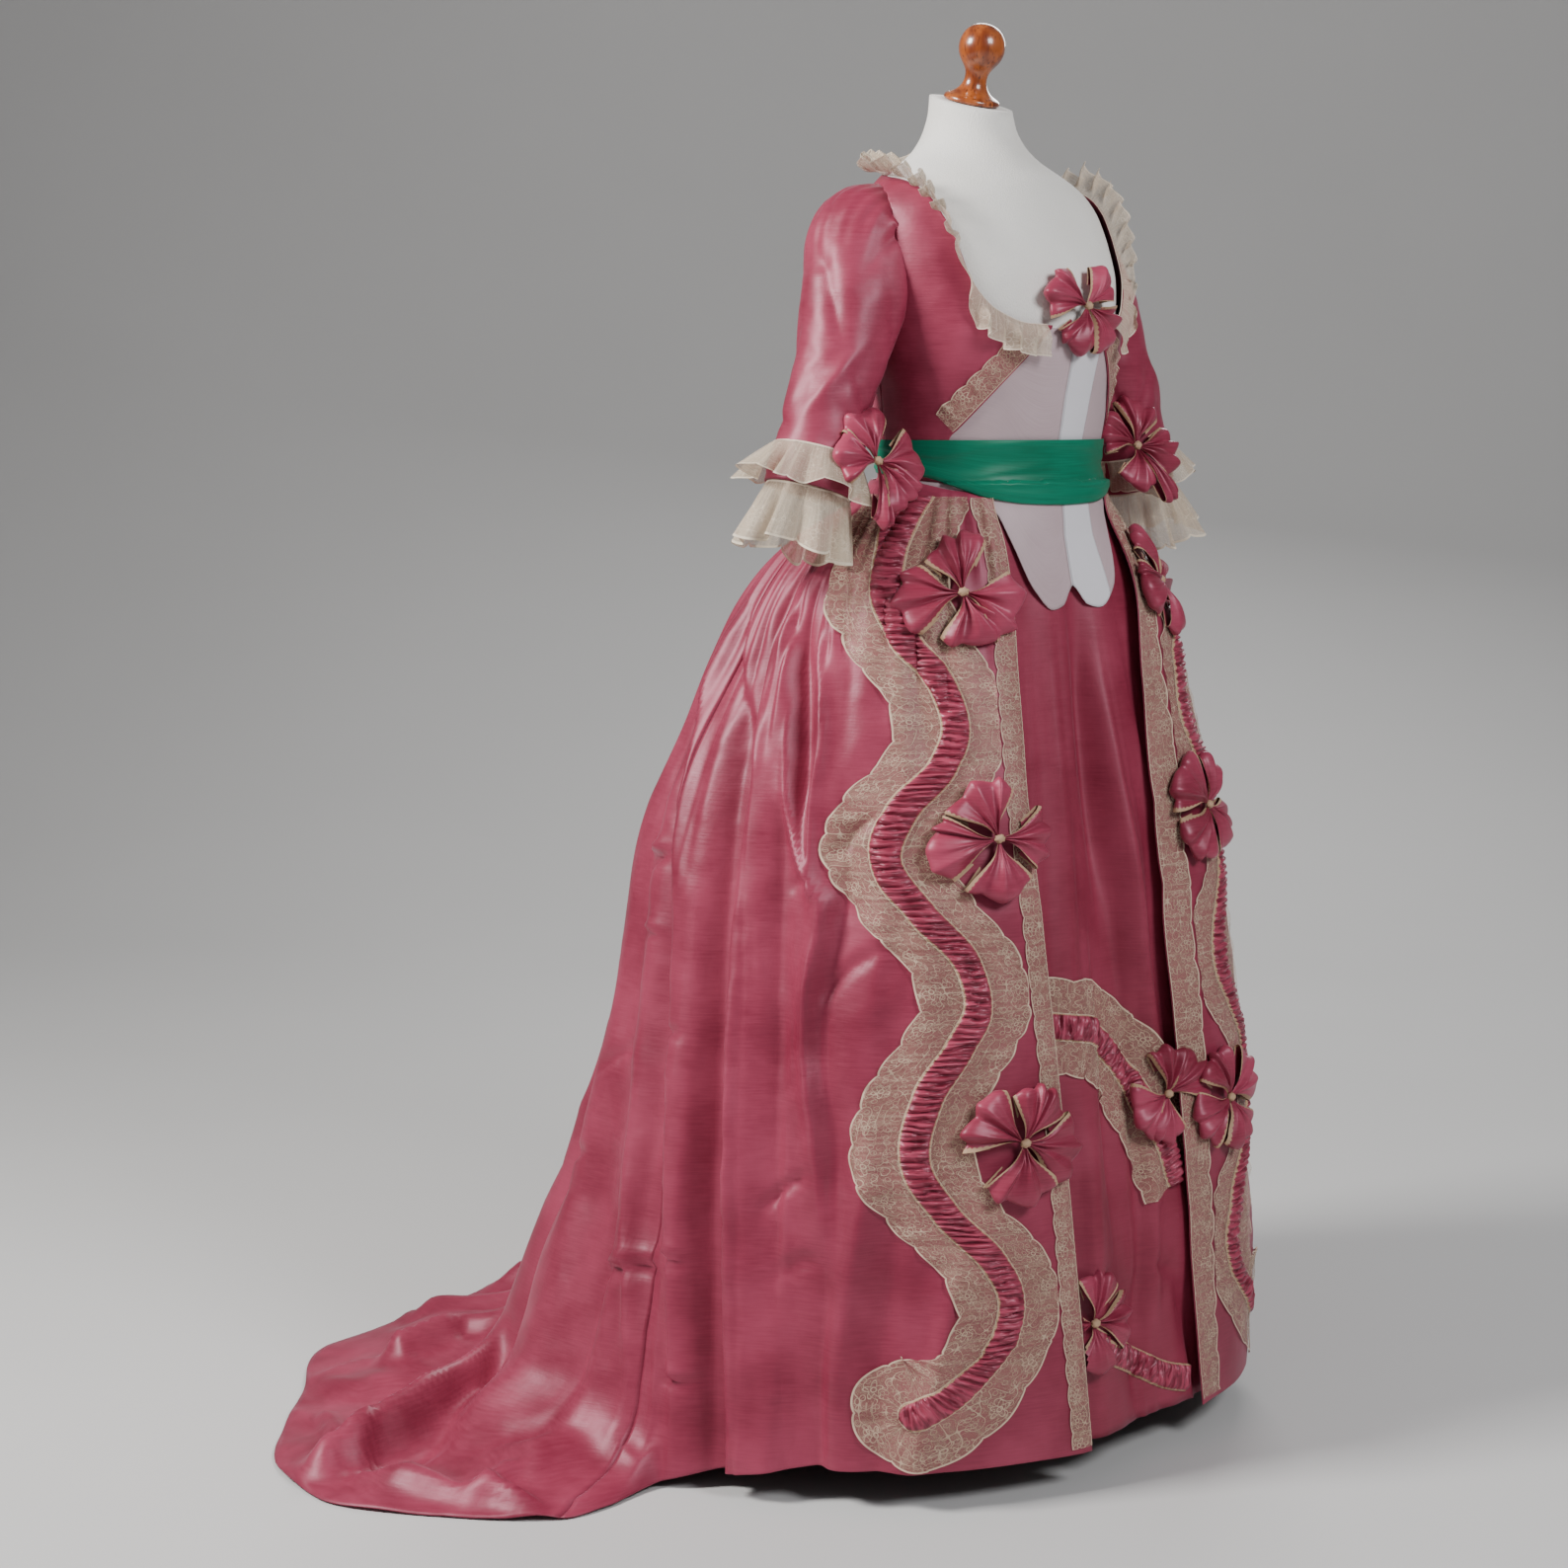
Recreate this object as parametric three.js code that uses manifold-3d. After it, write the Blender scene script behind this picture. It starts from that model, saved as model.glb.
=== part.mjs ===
// Robe a l'anglaise, worn by a limbless dress form on a pole and disc.
//
// Units are millimetres, +Z is up, the front faces -Y and the wearer's left is +X. The origin is the
// middle of the disc's underside, on the floor. Heights are z values. An angle is measured around the
// vertical, in degrees: 0 is the front, +90 the wearer's left and 180 the back.
//
// Every cloth piece is a wall between two offsets of one surface, so layers nest without touching.
// The bodice layers are tubes around the form's sections, cut to their pattern outlines. The skirts
// are grids of columns (one for each ridge and trough) and rows. What lies on a skirt is cut out of
// the same grid, moved out.

import * as THREE from 'three';
import { mergeVertices } from 'three/addons/utils/BufferGeometryUtils.js';
import Module from 'manifold-3d';

const wasm = await Module();
wasm.setup();

// ---------------------------------------------------------------- driving dimensions

const GAP = 0.35; // between pieces that touch
const BAND_REACH = 45; // how far the blocks that cut out trim reach to both sides of the skirt
const WAIST = 1070; // height of the waist seam
const SECTOR_RINGS = [4, 60, 90, 120, 150, 190, 900]; // radii of the blocks that cut out a pattern piece
const BODY_STEP = 15; // degrees between the columns of the cloth layers on the body
const FORM_STEP = 11.25; // degrees between the columns of the form

// Sections of the form: half width, reach to the front and to the back, and the tilt of the neck.
const BODY_SECTIONS = [
  { z: 880, halfWidth: 150, front: 110, back: 125, tilt: 0 },
  { z: 960, halfWidth: 153, front: 107, back: 123, tilt: 0 },
  { z: 1040, halfWidth: 137, front: 102, back: 103, tilt: 0 },
  { z: 1070, halfWidth: 134, front: 101, back: 98, tilt: 0 },
  { z: 1150, halfWidth: 141, front: 113, back: 103, tilt: 0 },
  { z: 1240, halfWidth: 154, front: 130, back: 113, tilt: 0 },
  { z: 1290, halfWidth: 158, front: 127, back: 117, tilt: 0 },
  { z: 1335, halfWidth: 160, front: 110, back: 116.5, tilt: 0 },
  { z: 1365, halfWidth: 157, front: 94, back: 112, tilt: 0 },
  { z: 1387, halfWidth: 145.5, front: 81, back: 105, tilt: 0 },
  { z: 1404, halfWidth: 127, front: 68.5, back: 97.5, tilt: 1 },
  { z: 1420, halfWidth: 103, front: 55, back: 90, tilt: 4 },
  { z: 1436, halfWidth: 76, front: 44, back: 86, tilt: 8 },
  { z: 1455, halfWidth: 58, front: 32, back: 82, tilt: 12 },
  { z: 1475, halfWidth: 50, front: 22, back: 78, tilt: 15 },
  { z: 1495, halfWidth: 47, front: 17, back: 77, tilt: 16 },
];

// Sections of the skirt: its radius in eight directions, from -180 degrees in steps of 45. The back
// is swept to the wearer's right.
const SKIRT_SECTIONS = [
  { z: 1070, radius: [110, 126, 142, 127, 113, 127, 142, 126] },
  { z: 1045, radius: [140, 155, 165, 136, 121, 134, 163, 150] },
  { z: 1000, radius: [195, 225, 205, 162, 132, 158, 200, 205] },
  { z: 950, radius: [240, 270, 240, 182, 143, 182, 235, 245] },
  { z: 870, radius: [285, 315, 275, 205, 155, 207, 268, 285] },
  { z: 800, radius: [315, 345, 300, 225, 165, 228, 290, 310] },
  { z: 655, radius: [365, 408, 340, 262, 188, 258, 322, 350] },
  { z: 480, radius: [405, 440, 375, 295, 215, 282, 342, 385] },
  { z: 330, radius: [440, 480, 402, 318, 238, 298, 355, 410] },
  { z: 150, radius: [480, 528, 432, 338, 265, 305, 365, 440] },
  { z: 20, radius: [510, 552, 455, 350, 285, 305, 370, 460] },
];

// Offsets of the body layers from the form: inner and outer face of each wall.
const PETTICOAT_BAND = { inner: 2.2, outer: 3.8 };
const WAISTCOAT = { inner: 4.15, outer: 5.55 };
const BODICE = { inner: 5.9, outer: 7.5 };
const BODICE_LACE = { inner: 7.85, outer: 8.95 };
const SASH = { inner: 8.0, outer: 9.7 };

// Neckline: its height at each angle, the same on both sides.
const NECKLINE = [
  { angle: 0, z: 1240 }, { angle: 28, z: 1242 }, { angle: 43, z: 1256 }, { angle: 52, z: 1282 },
  { angle: 56, z: 1308 }, { angle: 58, z: 1335 }, { angle: 62, z: 1358 }, { angle: 70, z: 1386 },
  { angle: 85, z: 1402 }, { angle: 110, z: 1409 }, { angle: 140, z: 1416 }, { angle: 180, z: 1420 },
];
// The bodice front slants away from the chest to the side of the waist.
const BODICE_EDGE = [{ angle: 16, z: 1238 }, { angle: 64, z: 1118 }, { angle: 68, z: 1066.5 }];
const BODICE_SIDE_SEAM = 100;
const BODICE_LOW = WAIST - 10; // where its sides and back end, under the sash
const BODICE_COLUMNS = { // the angles of a panel's outline
  front: [16, 28, 43, 52, 58, 64, 68, 70, 85, BODICE_SIDE_SEAM - 0.1],
  back: [BODICE_SIDE_SEAM + 0.1, 110, 140, 180, 220, 250, 259.9],
};
const NECK_GROWTH = 2.2; // the neckline moves by this times the growth of a panel
// Solids that cut a piece clear of the layers under it reach this far inwards.
const BODY_CORE = -42;
const SLEEVE_CORE = { wall: -40, middle: -49, join: -30 };
// Lower edge of a waistcoat front, with its long rounded point.
const WAISTCOAT_EDGE = [
  { angle: 2, z: 952 }, { angle: 8, z: 934 }, { angle: 15, z: 930 }, { angle: 25, z: 953 },
  { angle: 35, z: 1008 }, { angle: 41, z: 1036 }, { angle: 50, z: 1048 }, { angle: 80, z: 1054 },
];
const WAISTCOAT_TOP = 1238;
const SASH_TOP = 1116;
const SASH_BOTTOM = [
  { angle: 0, z: 1044 }, { angle: 25, z: 1046 }, { angle: 45, z: 1056 }, { angle: 65, z: 1076 },
  { angle: 80, z: 1083 }, { angle: 180, z: 1083 },
];

const SASH_TAIL = {
  thick: 1.8,
  rows: [
    { z: 1052, from: 2, to: 16 }, { z: 1020, from: 5, to: 24 }, { z: 985, from: 10, to: 29 },
    { z: 952, from: 13, to: 33 },
  ],
};

// Skirts.
const CLOTH = 2.0; // thickness of the skirt walls
const FOLD_DEPTH = [ // how deep a full trough is at each height
  { z: 20, depth: 26 }, { z: 330, depth: 24 }, { z: 655, depth: 20 }, { z: 870, depth: 16 },
  { z: 1000, depth: 9 }, { z: 1045, depth: 3 }, { z: 1070, depth: 0 },
];
const PETTICOAT_HEM = 46;
const PETTICOAT_TOP = 1078;
const PETTICOAT_SEAM = 97.3; // angle of its side seams
const PETTICOAT_FOLD = 0.35; // its folds are this deep, compared with the gown's
const PETTICOAT_GAP = 10; // between the gown's troughs and the petticoat
const HEM_HEIGHT = [ // height of the hem at each angle
  { angle: -285, z: 42 }, { angle: -260, z: 20 }, { angle: -248, z: 7 }, { angle: -97, z: 6 },
  { angle: -87, z: 24 }, { angle: -72, z: 42 },
];
// Where the gown's front edges hang: distance to the side of the middle.
const GOWN_EDGE_RIGHT = [
  { z: 40, x: 120 }, { z: 700, x: 124 }, { z: 810, x: 115 }, { z: 990, x: 96 }, { z: 1060, x: 88 },
];
const GOWN_EDGE_LEFT = [{ z: 40, x: 72 }, { z: 848, x: 76 }, { z: 971, x: 88 }, { z: 1060, x: 92 }];
// Columns of the gown from each front edge to the back: angle at the waist and at the hem, and how
// deep the trough is there (0 is a ridge or smooth cloth).
const GOWN_RIGHT_COLUMNS = [
  { top: -60, hem: -38, trough: 0 }, { top: -75, hem: -53, trough: 0 },
  { top: -90, hem: -68, trough: 0.1 }, { top: -98, hem: -76, trough: 0.8 },
  { top: -104, hem: -82, trough: 0 }, { top: -111, hem: -87, trough: 1 },
  { top: -117, hem: -93, trough: 0.1 }, { top: -123, hem: -98, trough: 0.8 },
];
const GOWN_BACK_COLUMNS = [
  { top: -129, hem: -104, trough: 0 },
  { top: -135, hem: -111, trough: 0.7 }, { top: -141, hem: -118, trough: 0.05 },
  { top: -147, hem: -125, trough: 1 }, { top: -153, hem: -133, trough: 0 },
  { top: -159, hem: -141, trough: 0.8 }, { top: -165, hem: -149, trough: 0.1 },
  { top: -171, hem: -157, trough: 1 }, { top: -178, hem: -166, trough: 0 },
  { top: -185, hem: -176, trough: 0.9 }, { top: -192, hem: -186, trough: 0.05 },
  { top: -199, hem: -196, trough: 0.8 }, { top: -206, hem: -206, trough: 0 },
  { top: -213, hem: -216, trough: 1 }, { top: -221, hem: -227, trough: 0.05 },
  { top: -229, hem: -238, trough: 0.8 },
];
const GOWN_LEFT_COLUMNS = [
  { top: -237, hem: -249, trough: 0.6 }, { top: -243, hem: -257, trough: 0.1 },
  { top: -249, hem: -265, trough: 1 }, { top: -256, hem: -273, trough: 0 },
  { top: -262, hem: -281, trough: 0.8 }, { top: -270, hem: -290, trough: 0.1 },
  { top: -285, hem: -308, trough: 0 }, { top: -300, hem: -326, trough: 0 },
];
const GOWN_EDGE_COLUMN = { top: 44, hem: 24, trough: 0, edge: true };
const GOWN_TOP = [ // height of the gown's waist seam: it dips at the front, under the sash
  { angle: -320, z: 1052 }, { angle: -300, z: 1056 }, { angle: -276, z: 1069 },
  { angle: -84, z: 1069 }, { angle: -60, z: 1056 }, { angle: -40, z: 1052 },
];
const GOWN_ROWS = [0, 0.03, 0.075, 0.14, 0.25, 0.4, 0.6, 0.82]; // shares of the way down to the foot
const GOWN_FOOT = 90; // height where the rows of the hem and train start
const ANGLE_EASE = 0.8; // the columns spread faster near the waist
// The train: how far the hem reaches over the floor, past the skirt, and how far it swings forward
// there, in degrees. Its right corner is swept forward beside the skirt.
const TRAIN = [
  { angle: -273, flare: 0, swing: 0 }, { angle: -265, flare: 8, swing: 0 },
  { angle: -257, flare: 24, swing: 0 }, { angle: -249, flare: 42, swing: 0 },
  { angle: -238, flare: 62, swing: 0 }, { angle: -216, flare: 82, swing: 0 },
  { angle: -196, flare: 138, swing: 0 }, { angle: -176, flare: 202, swing: 0 },
  { angle: -160, flare: 210, swing: 0 }, { angle: -149, flare: 233, swing: 0 },
  { angle: -141, flare: 266, swing: 0 }, { angle: -133, flare: 248, swing: 0.5 },
  { angle: -125, flare: 266, swing: 1 }, { angle: -118, flare: 290, swing: 2.5 },
  { angle: -111, flare: 280, swing: 3.2 }, { angle: -104, flare: 200, swing: 4.5 },
  { angle: -98, flare: 120, swing: 5.5 }, { angle: -93, flare: 14, swing: 1 },
  { angle: -87, flare: 0, swing: 0 },
];
const FULL_FLARE = 60; // from here on the hem lies on the floor
// The rows of the hem and train: share of the way out and, where it flares, the height of a ridge.
const HEM_ROWS = [
  { out: 0.1, z: 92 }, { out: 0.3, z: 48 }, { out: 0.62, z: 26 }, { out: 1, z: 4 },
];
const CLOTH_ON_FLOOR = 2.4; // lowest height of the cloth's middle surface
const SEAM_SHIFT = 0.22; // how far a panel stops short of its seam

// Trim of a gown front, as distances from its front edge.
const SERPENTINE = [ // how far out the centre of the ruched band is at each height
  { z: 1040, out: 90 }, { z: 998, out: 118 }, { z: 955, out: 126 }, { z: 905, out: 114 },
  { z: 852, out: 82 }, { z: 812, out: 74 }, { z: 772, out: 90 }, { z: 725, out: 132 },
  { z: 675, out: 155 }, { z: 620, out: 129 }, { z: 562, out: 90 }, { z: 525, out: 85 },
  { z: 480, out: 110 }, { z: 430, out: 146 }, { z: 365, out: 166 }, { z: 310, out: 143 },
  { z: 255, out: 98 }, { z: 215, out: 83 }, { z: 178, out: 93 }, { z: 159, out: 105 },
];
const RUCHED = { half: 16, thick: 2.6 };
const LACE = { wide: 44, thick: 1.1 };
const EDGE_LACE_WIDE = { right: 28, left: 44 };
const EDGE_LACE_SPAN = { top: 1046, bottom: 48 };
// The lower end of the serpentine turns outwards: a row for each step of its centre and direction.
const HOOK = [
  { out: 153, z: 120, turn: 42 }, { out: 188, z: 102, turn: 85 },
];
const GOWN_BOWS = {
  right: [
    { angle: 53, z: 952, spin: 0 }, { angle: 42.5, z: 695, spin: -4 }, { angle: 37.5, z: 379, spin: 44 },
  ],
  left: [
    { angle: 53, z: 952, spin: 8 }, { angle: 41, z: 700, spin: 50 }, { angle: 33, z: 372, spin: 20 },
  ],
};
const PETTICOAT_BOWS = {
  upper: { angle: 14, z: 390, spin: 60, height: 9 },
  lower: { angle: -21, z: 172, spin: 30, height: 9 },
};
const SLAB_DEPTH = 6; // how deep the blocks reach that cut out what a bow rests on
// Trim of the petticoat front, as distances to the side of the middle.
const PETTICOAT_LACE_WIDE = 38;
const PETTICOAT_TRIM = {
  upper: [
    { x: -116, z: 490 }, { x: -88, z: 486 }, { x: -50, z: 477 }, { x: -16, z: 451 }, { x: 10, z: 418 },
    { x: 32, z: 380 }, { x: 52, z: 335 }, { x: 68, z: 290 },
  ],
  lower: [
    { x: -104, z: 164 }, { x: -78, z: 142 }, { x: -45, z: 122 }, { x: -9, z: 102 }, { x: 30, z: 82 },
    { x: 66, z: 70 },
  ],
};

// Sleeves: centre and radius of each ring of the right one, from shoulder to elbow.
const SLEEVE_RINGS = [
  { x: 98, y: 26, z: 1350, radius: 42 }, { x: 150, y: 40, z: 1335, radius: 63 },
  { x: 186, y: 22, z: 1270, radius: 58 }, { x: 219, y: 12, z: 1190, radius: 48.5 },
  { x: 250, y: 9, z: 1108, radius: 47 }, { x: 264, y: 10, z: 1062, radius: 48 },
];
const LEFT_SLEEVE_CLOSER = { by: 8, from: 1330, to: 1062 }; // the left sleeve hangs closer
const SLEEVE_WALL = { inner: -1.8, outer: 0 };
const SLEEVE_LINING = { inner: -3.4, outer: -2.2 };
const SLEEVE_SIDES = 12;
const CUFF_TUCK = 0.55; // a cuff ruffle flares this much less towards the body
const CUFF_UPPER = { from: 4.1, to: 5.0, base: 0.4, flare: 26, wave: 5, thick: 1.1 };
const CUFF_LOWER = { drop: 74, base: -2.4, flare: 17, wave: 5, thick: 1.1 };
// A sleeve bow is flat: it sits at a turn around the sleeve, faces another one, and leans with the cuff.
const SLEEVE_BOW = {
  step: { right: 4.15, left: 3.85 }, turn: { right: -66, left: -50 }, face: { right: -104, left: -90 },
  out: 23, lean: 0.42, spin: 10,
};
const SLEEVE_CLEARANCE = 6; // between the gown and the cuffs
const NECK_LACE = { wide: 36, thick: 1.1, wave: 5, lean: 0.62, rise: 0.75, above: 0.45, arc: 5, step: 7 };
const NECK_LACE_SPAN = { right: [260.2, 337], back: [100.2, 259.8], left: [31, 99.8] };

// Bows.
const BOW = { height: 15, knot: 20, leaves: 4, sunk: 3 };
const BOW_LEAF = [ // the directions of one leaf: how long and how high it is there
  { long: 1, high: 1 }, { long: 1, high: 0.85 }, { long: 0.66, high: 0.55 },
];
const BOW_RINGS = [{ out: 0.6, rise: 0.95 }, { out: 1, rise: 0.35 }];
const BOW_SIZES = { gown: 64, chest: 56, sleeve: 55, petticoat: 58, sash: 40 };
const CHEST_BOW = { angle: 4, z: 1262, spin: 35, bend: 130, tilt: 0.1 };
const SASH_KNOT = { z: 1088, bend: 110, height: 16, cutAt: [1040, WAIST, 1150, 1240] };

// Dress form and stand.
const DISC = { radius: 180, height: 20, edge: 3 };
const POLE_RADIUS = 16;
const KNOB = {
  base: 31, baseHeight: 7, collar: 20, collarHeight: 14, neck: 13.5, neckHeight: 22,
  waist: 12.5, waistHeight: 30, ball: 26.5, ballHeight: 63,
};

// ---------------------------------------------------------------- materials

const material = (color, roughness, metalness = 0) =>
  new THREE.MeshStandardMaterial({ color, roughness, metalness });
const TAFFETA = material('#b4546f', 0.38);
const LINING = material('#82101c', 0.6);
const LACE_CREAM = material('#d9cbb8', 0.8);
const WAISTCOAT_SILK = material('#cdbfc4', 0.5);
const GREEN_SATIN = material('#008a62', 0.35);
const JERSEY = material('#ece7e1', 0.85);
const TURNED_WOOD = material('#96411a', 0.3);
const STAND_PAINT = material('#2b2b2d', 0.5, 0.3);

// ---------------------------------------------------------------- small helpers

const radians = (degrees) => (degrees * Math.PI) / 180;
const mix = (a, b, t) => a + (b - a) * t;

// Reads a table at a key, in straight lines between its rows.
function lookUp(table, key, value, at) {
  const rows = [...table].sort((a, b) => a[key] - b[key]);
  if (at <= rows[0][key]) return rows[0][value];
  for (let i = 1; i < rows.length; i += 1) {
    if (at <= rows[i][key]) {
      const t = (at - rows[i - 1][key]) / (rows[i][key] - rows[i - 1][key]);
      return mix(rows[i - 1][value], rows[i][value], t);
    }
  }
  return rows[rows.length - 1][value];
}

// A solid of manifold-3d from points and triangles that share their points.
function solidOf(points, triangles) {
  const vertProperties = new Float32Array(points.flatMap((p) => [p.x, p.y, p.z]));
  const mesh = new wasm.Mesh({ numProp: 3, vertProperties, triVerts: new Uint32Array(triangles) });
  mesh.merge();
  return new wasm.Manifold(mesh);
}

// A three.js geometry from a solid.
function geometryOf(solid) {
  const mesh = solid.getMesh();
  const geometry = new THREE.BufferGeometry();
  geometry.setAttribute('position', new THREE.BufferAttribute(mesh.vertProperties, 3));
  geometry.setIndex(new THREE.BufferAttribute(mesh.triVerts, 1));
  return geometry;
}

// A solid from a three.js geometry.
function solidFromGeometry(geometry) {
  const bare = geometry.clone();
  bare.deleteAttribute('normal');
  bare.deleteAttribute('uv');
  const merged = mergeVertices(bare, 1e-4);
  const points = [];
  for (let i = 0; i < merged.attributes.position.count; i += 1) {
    points.push(new THREE.Vector3().fromBufferAttribute(merged.attributes.position, i));
  }
  return solidOf(points, merged.index.array);
}

// A solid between two equal grids of points, grid[column][row], with its four edges closed. When it
// wraps, the last column joins the first.
function wall(outer, inner, wraps = false) {
  const columns = outer.length;
  const rows = outer[0].length;
  const points = [...outer.flat(), ...inner.flat()];
  const out = (c, r) => (c % columns) * rows + r;
  const into = (c, r) => columns * rows + (c % columns) * rows + r;
  const triangles = [];
  const quad = (a, b, c, d) => triangles.push(a, b, c, a, c, d);
  const last = wraps ? columns : columns - 1;
  for (let c = 0; c < last; c += 1) {
    for (let r = 0; r < rows - 1; r += 1) {
      quad(out(c, r), out(c + 1, r), out(c + 1, r + 1), out(c, r + 1));
      quad(into(c, r), into(c, r + 1), into(c + 1, r + 1), into(c + 1, r));
    }
    quad(out(c + 1, 0), out(c, 0), into(c, 0), into(c + 1, 0));
    quad(into(c, rows - 1), out(c, rows - 1), out(c + 1, rows - 1), into(c + 1, rows - 1));
  }
  if (!wraps) {
    for (let r = 0; r < rows - 1; r += 1) {
      quad(out(0, r), out(0, r + 1), into(0, r + 1), into(0, r));
      quad(out(columns - 1, r + 1), out(columns - 1, r), into(columns - 1, r), into(columns - 1, r + 1));
    }
  }
  const solid = solidOf(points, triangles);
  return solid.volume() < 0 ? solidOf(points, triangles.reverse()) : solid;
}

// The largest piece of a solid, without the crumbs that a cut can leave.
function largest(solid) {
  return solid.decompose().reduce((best, piece) => (piece.volume() > best.volume() ? piece : best));
}

const group = new THREE.Group();
group.name = 'robe_a_l_anglaise';

// Adds a solid to the group as a named mesh.
function addSolid(name, solid, finish) {
  const mesh = new THREE.Mesh(geometryOf(largest(solid)), finish);
  mesh.name = name;
  group.add(mesh);
  return mesh;
}

// ---------------------------------------------------------------- the form's surface

// A point of a body layer: the section at this height, widened by the offset.
function bodyPoint(angle, z, offset) {
  const at = Math.max(z, BODY_SECTIONS[0].z);
  const width = lookUp(BODY_SECTIONS, 'z', 'halfWidth', at) + offset;
  const front = lookUp(BODY_SECTIONS, 'z', 'front', at);
  const back = lookUp(BODY_SECTIONS, 'z', 'back', at);
  const tilt = radians(lookUp(BODY_SECTIONS, 'z', 'tilt', at));
  const depth = (front + back) / 2 + offset;
  const sine = Math.sin(radians(angle));
  const cosine = Math.cos(radians(angle));
  const radius = 1 / Math.hypot(sine / width, cosine / depth);
  const y = -radius * cosine;
  return new THREE.Vector3(radius * sine, y + (back - front) / 2, z + y * Math.tan(tilt));
}

// The skirt's radius, smooth around and straight between the sections.
function skirtRadius(angle, z) {
  const place = (((angle + 180) % 360) + 360) % 360 / 45;
  const i = Math.floor(place) % 8;
  const t = place - Math.floor(place);
  const ring = (row) => {
    const [a, b, c, d] = [i + 7, i, i + 1, i + 2].map((k) => row.radius[k % 8]);
    const bend = (2 * a - 5 * b + 4 * c - d) * t * t + (3 * b - a - 3 * c + d) * t ** 3;
    return 0.5 * (2 * b + (c - a) * t + bend);
  };
  return lookUp(SKIRT_SECTIONS.map((row) => ({ z: row.z, radius: ring(row) })), 'z', 'radius', z);
}

// Radius of the petticoat's outer face. It meets the body layers at the waist.
function petticoatRadius(angle, z) {
  const deep = lookUp(FOLD_DEPTH, 'z', 'depth', z);
  const below = Math.min(1, Math.max(0, (WAIST - z) / 60));
  const hidden = Math.min(1, Math.max(0, (Math.abs(angle) - 45) / 25));
  return skirtRadius(angle, z) - below * PETTICOAT_GAP - hidden * deep;
}

// A point of the layers that go on from the body over the petticoat, below the waist.
function layerPoint(angle, z, offset) {
  if (z >= WAIST) return bodyPoint(angle, z, offset);
  const atWaist = bodyPoint(angle, WAIST, offset);
  const spread = petticoatRadius(angle, z) + (offset - PETTICOAT_BAND.outer);
  const radius = Math.max(Math.hypot(atWaist.x, atWaist.y), spread);
  return new THREE.Vector3(radius * Math.sin(radians(angle)), -radius * Math.cos(radians(angle)), z);
}

// A tube of a body layer between two offsets, open at the top and bottom.
function bodyTube(heights, inner, outer) {
  const columns = [];
  for (let angle = -180; angle < 180; angle += BODY_STEP) columns.push(angle);
  const grid = (offset) => columns.map((angle) => heights.map((z) => layerPoint(angle, z, offset)));
  return wall(grid(outer), grid(inner), true);
}

// A block that spans an outline given by angle columns with a low and a high edge. Its rings keep
// the edges even from the inside to the outside.
function sector(columns) {
  const corner = (c, radius, z) =>
    new THREE.Vector3(radius * Math.sin(radians(c.angle)), -radius * Math.cos(radians(c.angle)), z);
  const line = (edge) => columns.map((c) => SECTOR_RINGS.map((radius) => corner(c, radius, c[edge])));
  return wall(line('high'), line('low'));
}

// A block that spans a band, given by rows with a point on each edge (angle and height).
function bandBlock(rows) {
  const corner = (p, out) => {
    const radius = skirtRadius(p.angle, p.z) + out;
    return new THREE.Vector3(radius * Math.sin(radians(p.angle)), -radius * Math.cos(radians(p.angle)), p.z);
  };
  const grid = (out) => rows.map((row) => [corner(row.left, out), corner(row.right, out)]);
  return wall(grid(BAND_REACH), grid(-BAND_REACH));
}

// Angles from one to another in steps of at most the given size.
function angleSteps(from, to, step = 5) {
  const count = Math.max(1, Math.ceil(Math.abs(to - from) / step));
  return Array.from({ length: count + 1 }, (_, i) => mix(from, to, i / count));
}

// ---------------------------------------------------------------- dress form

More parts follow.
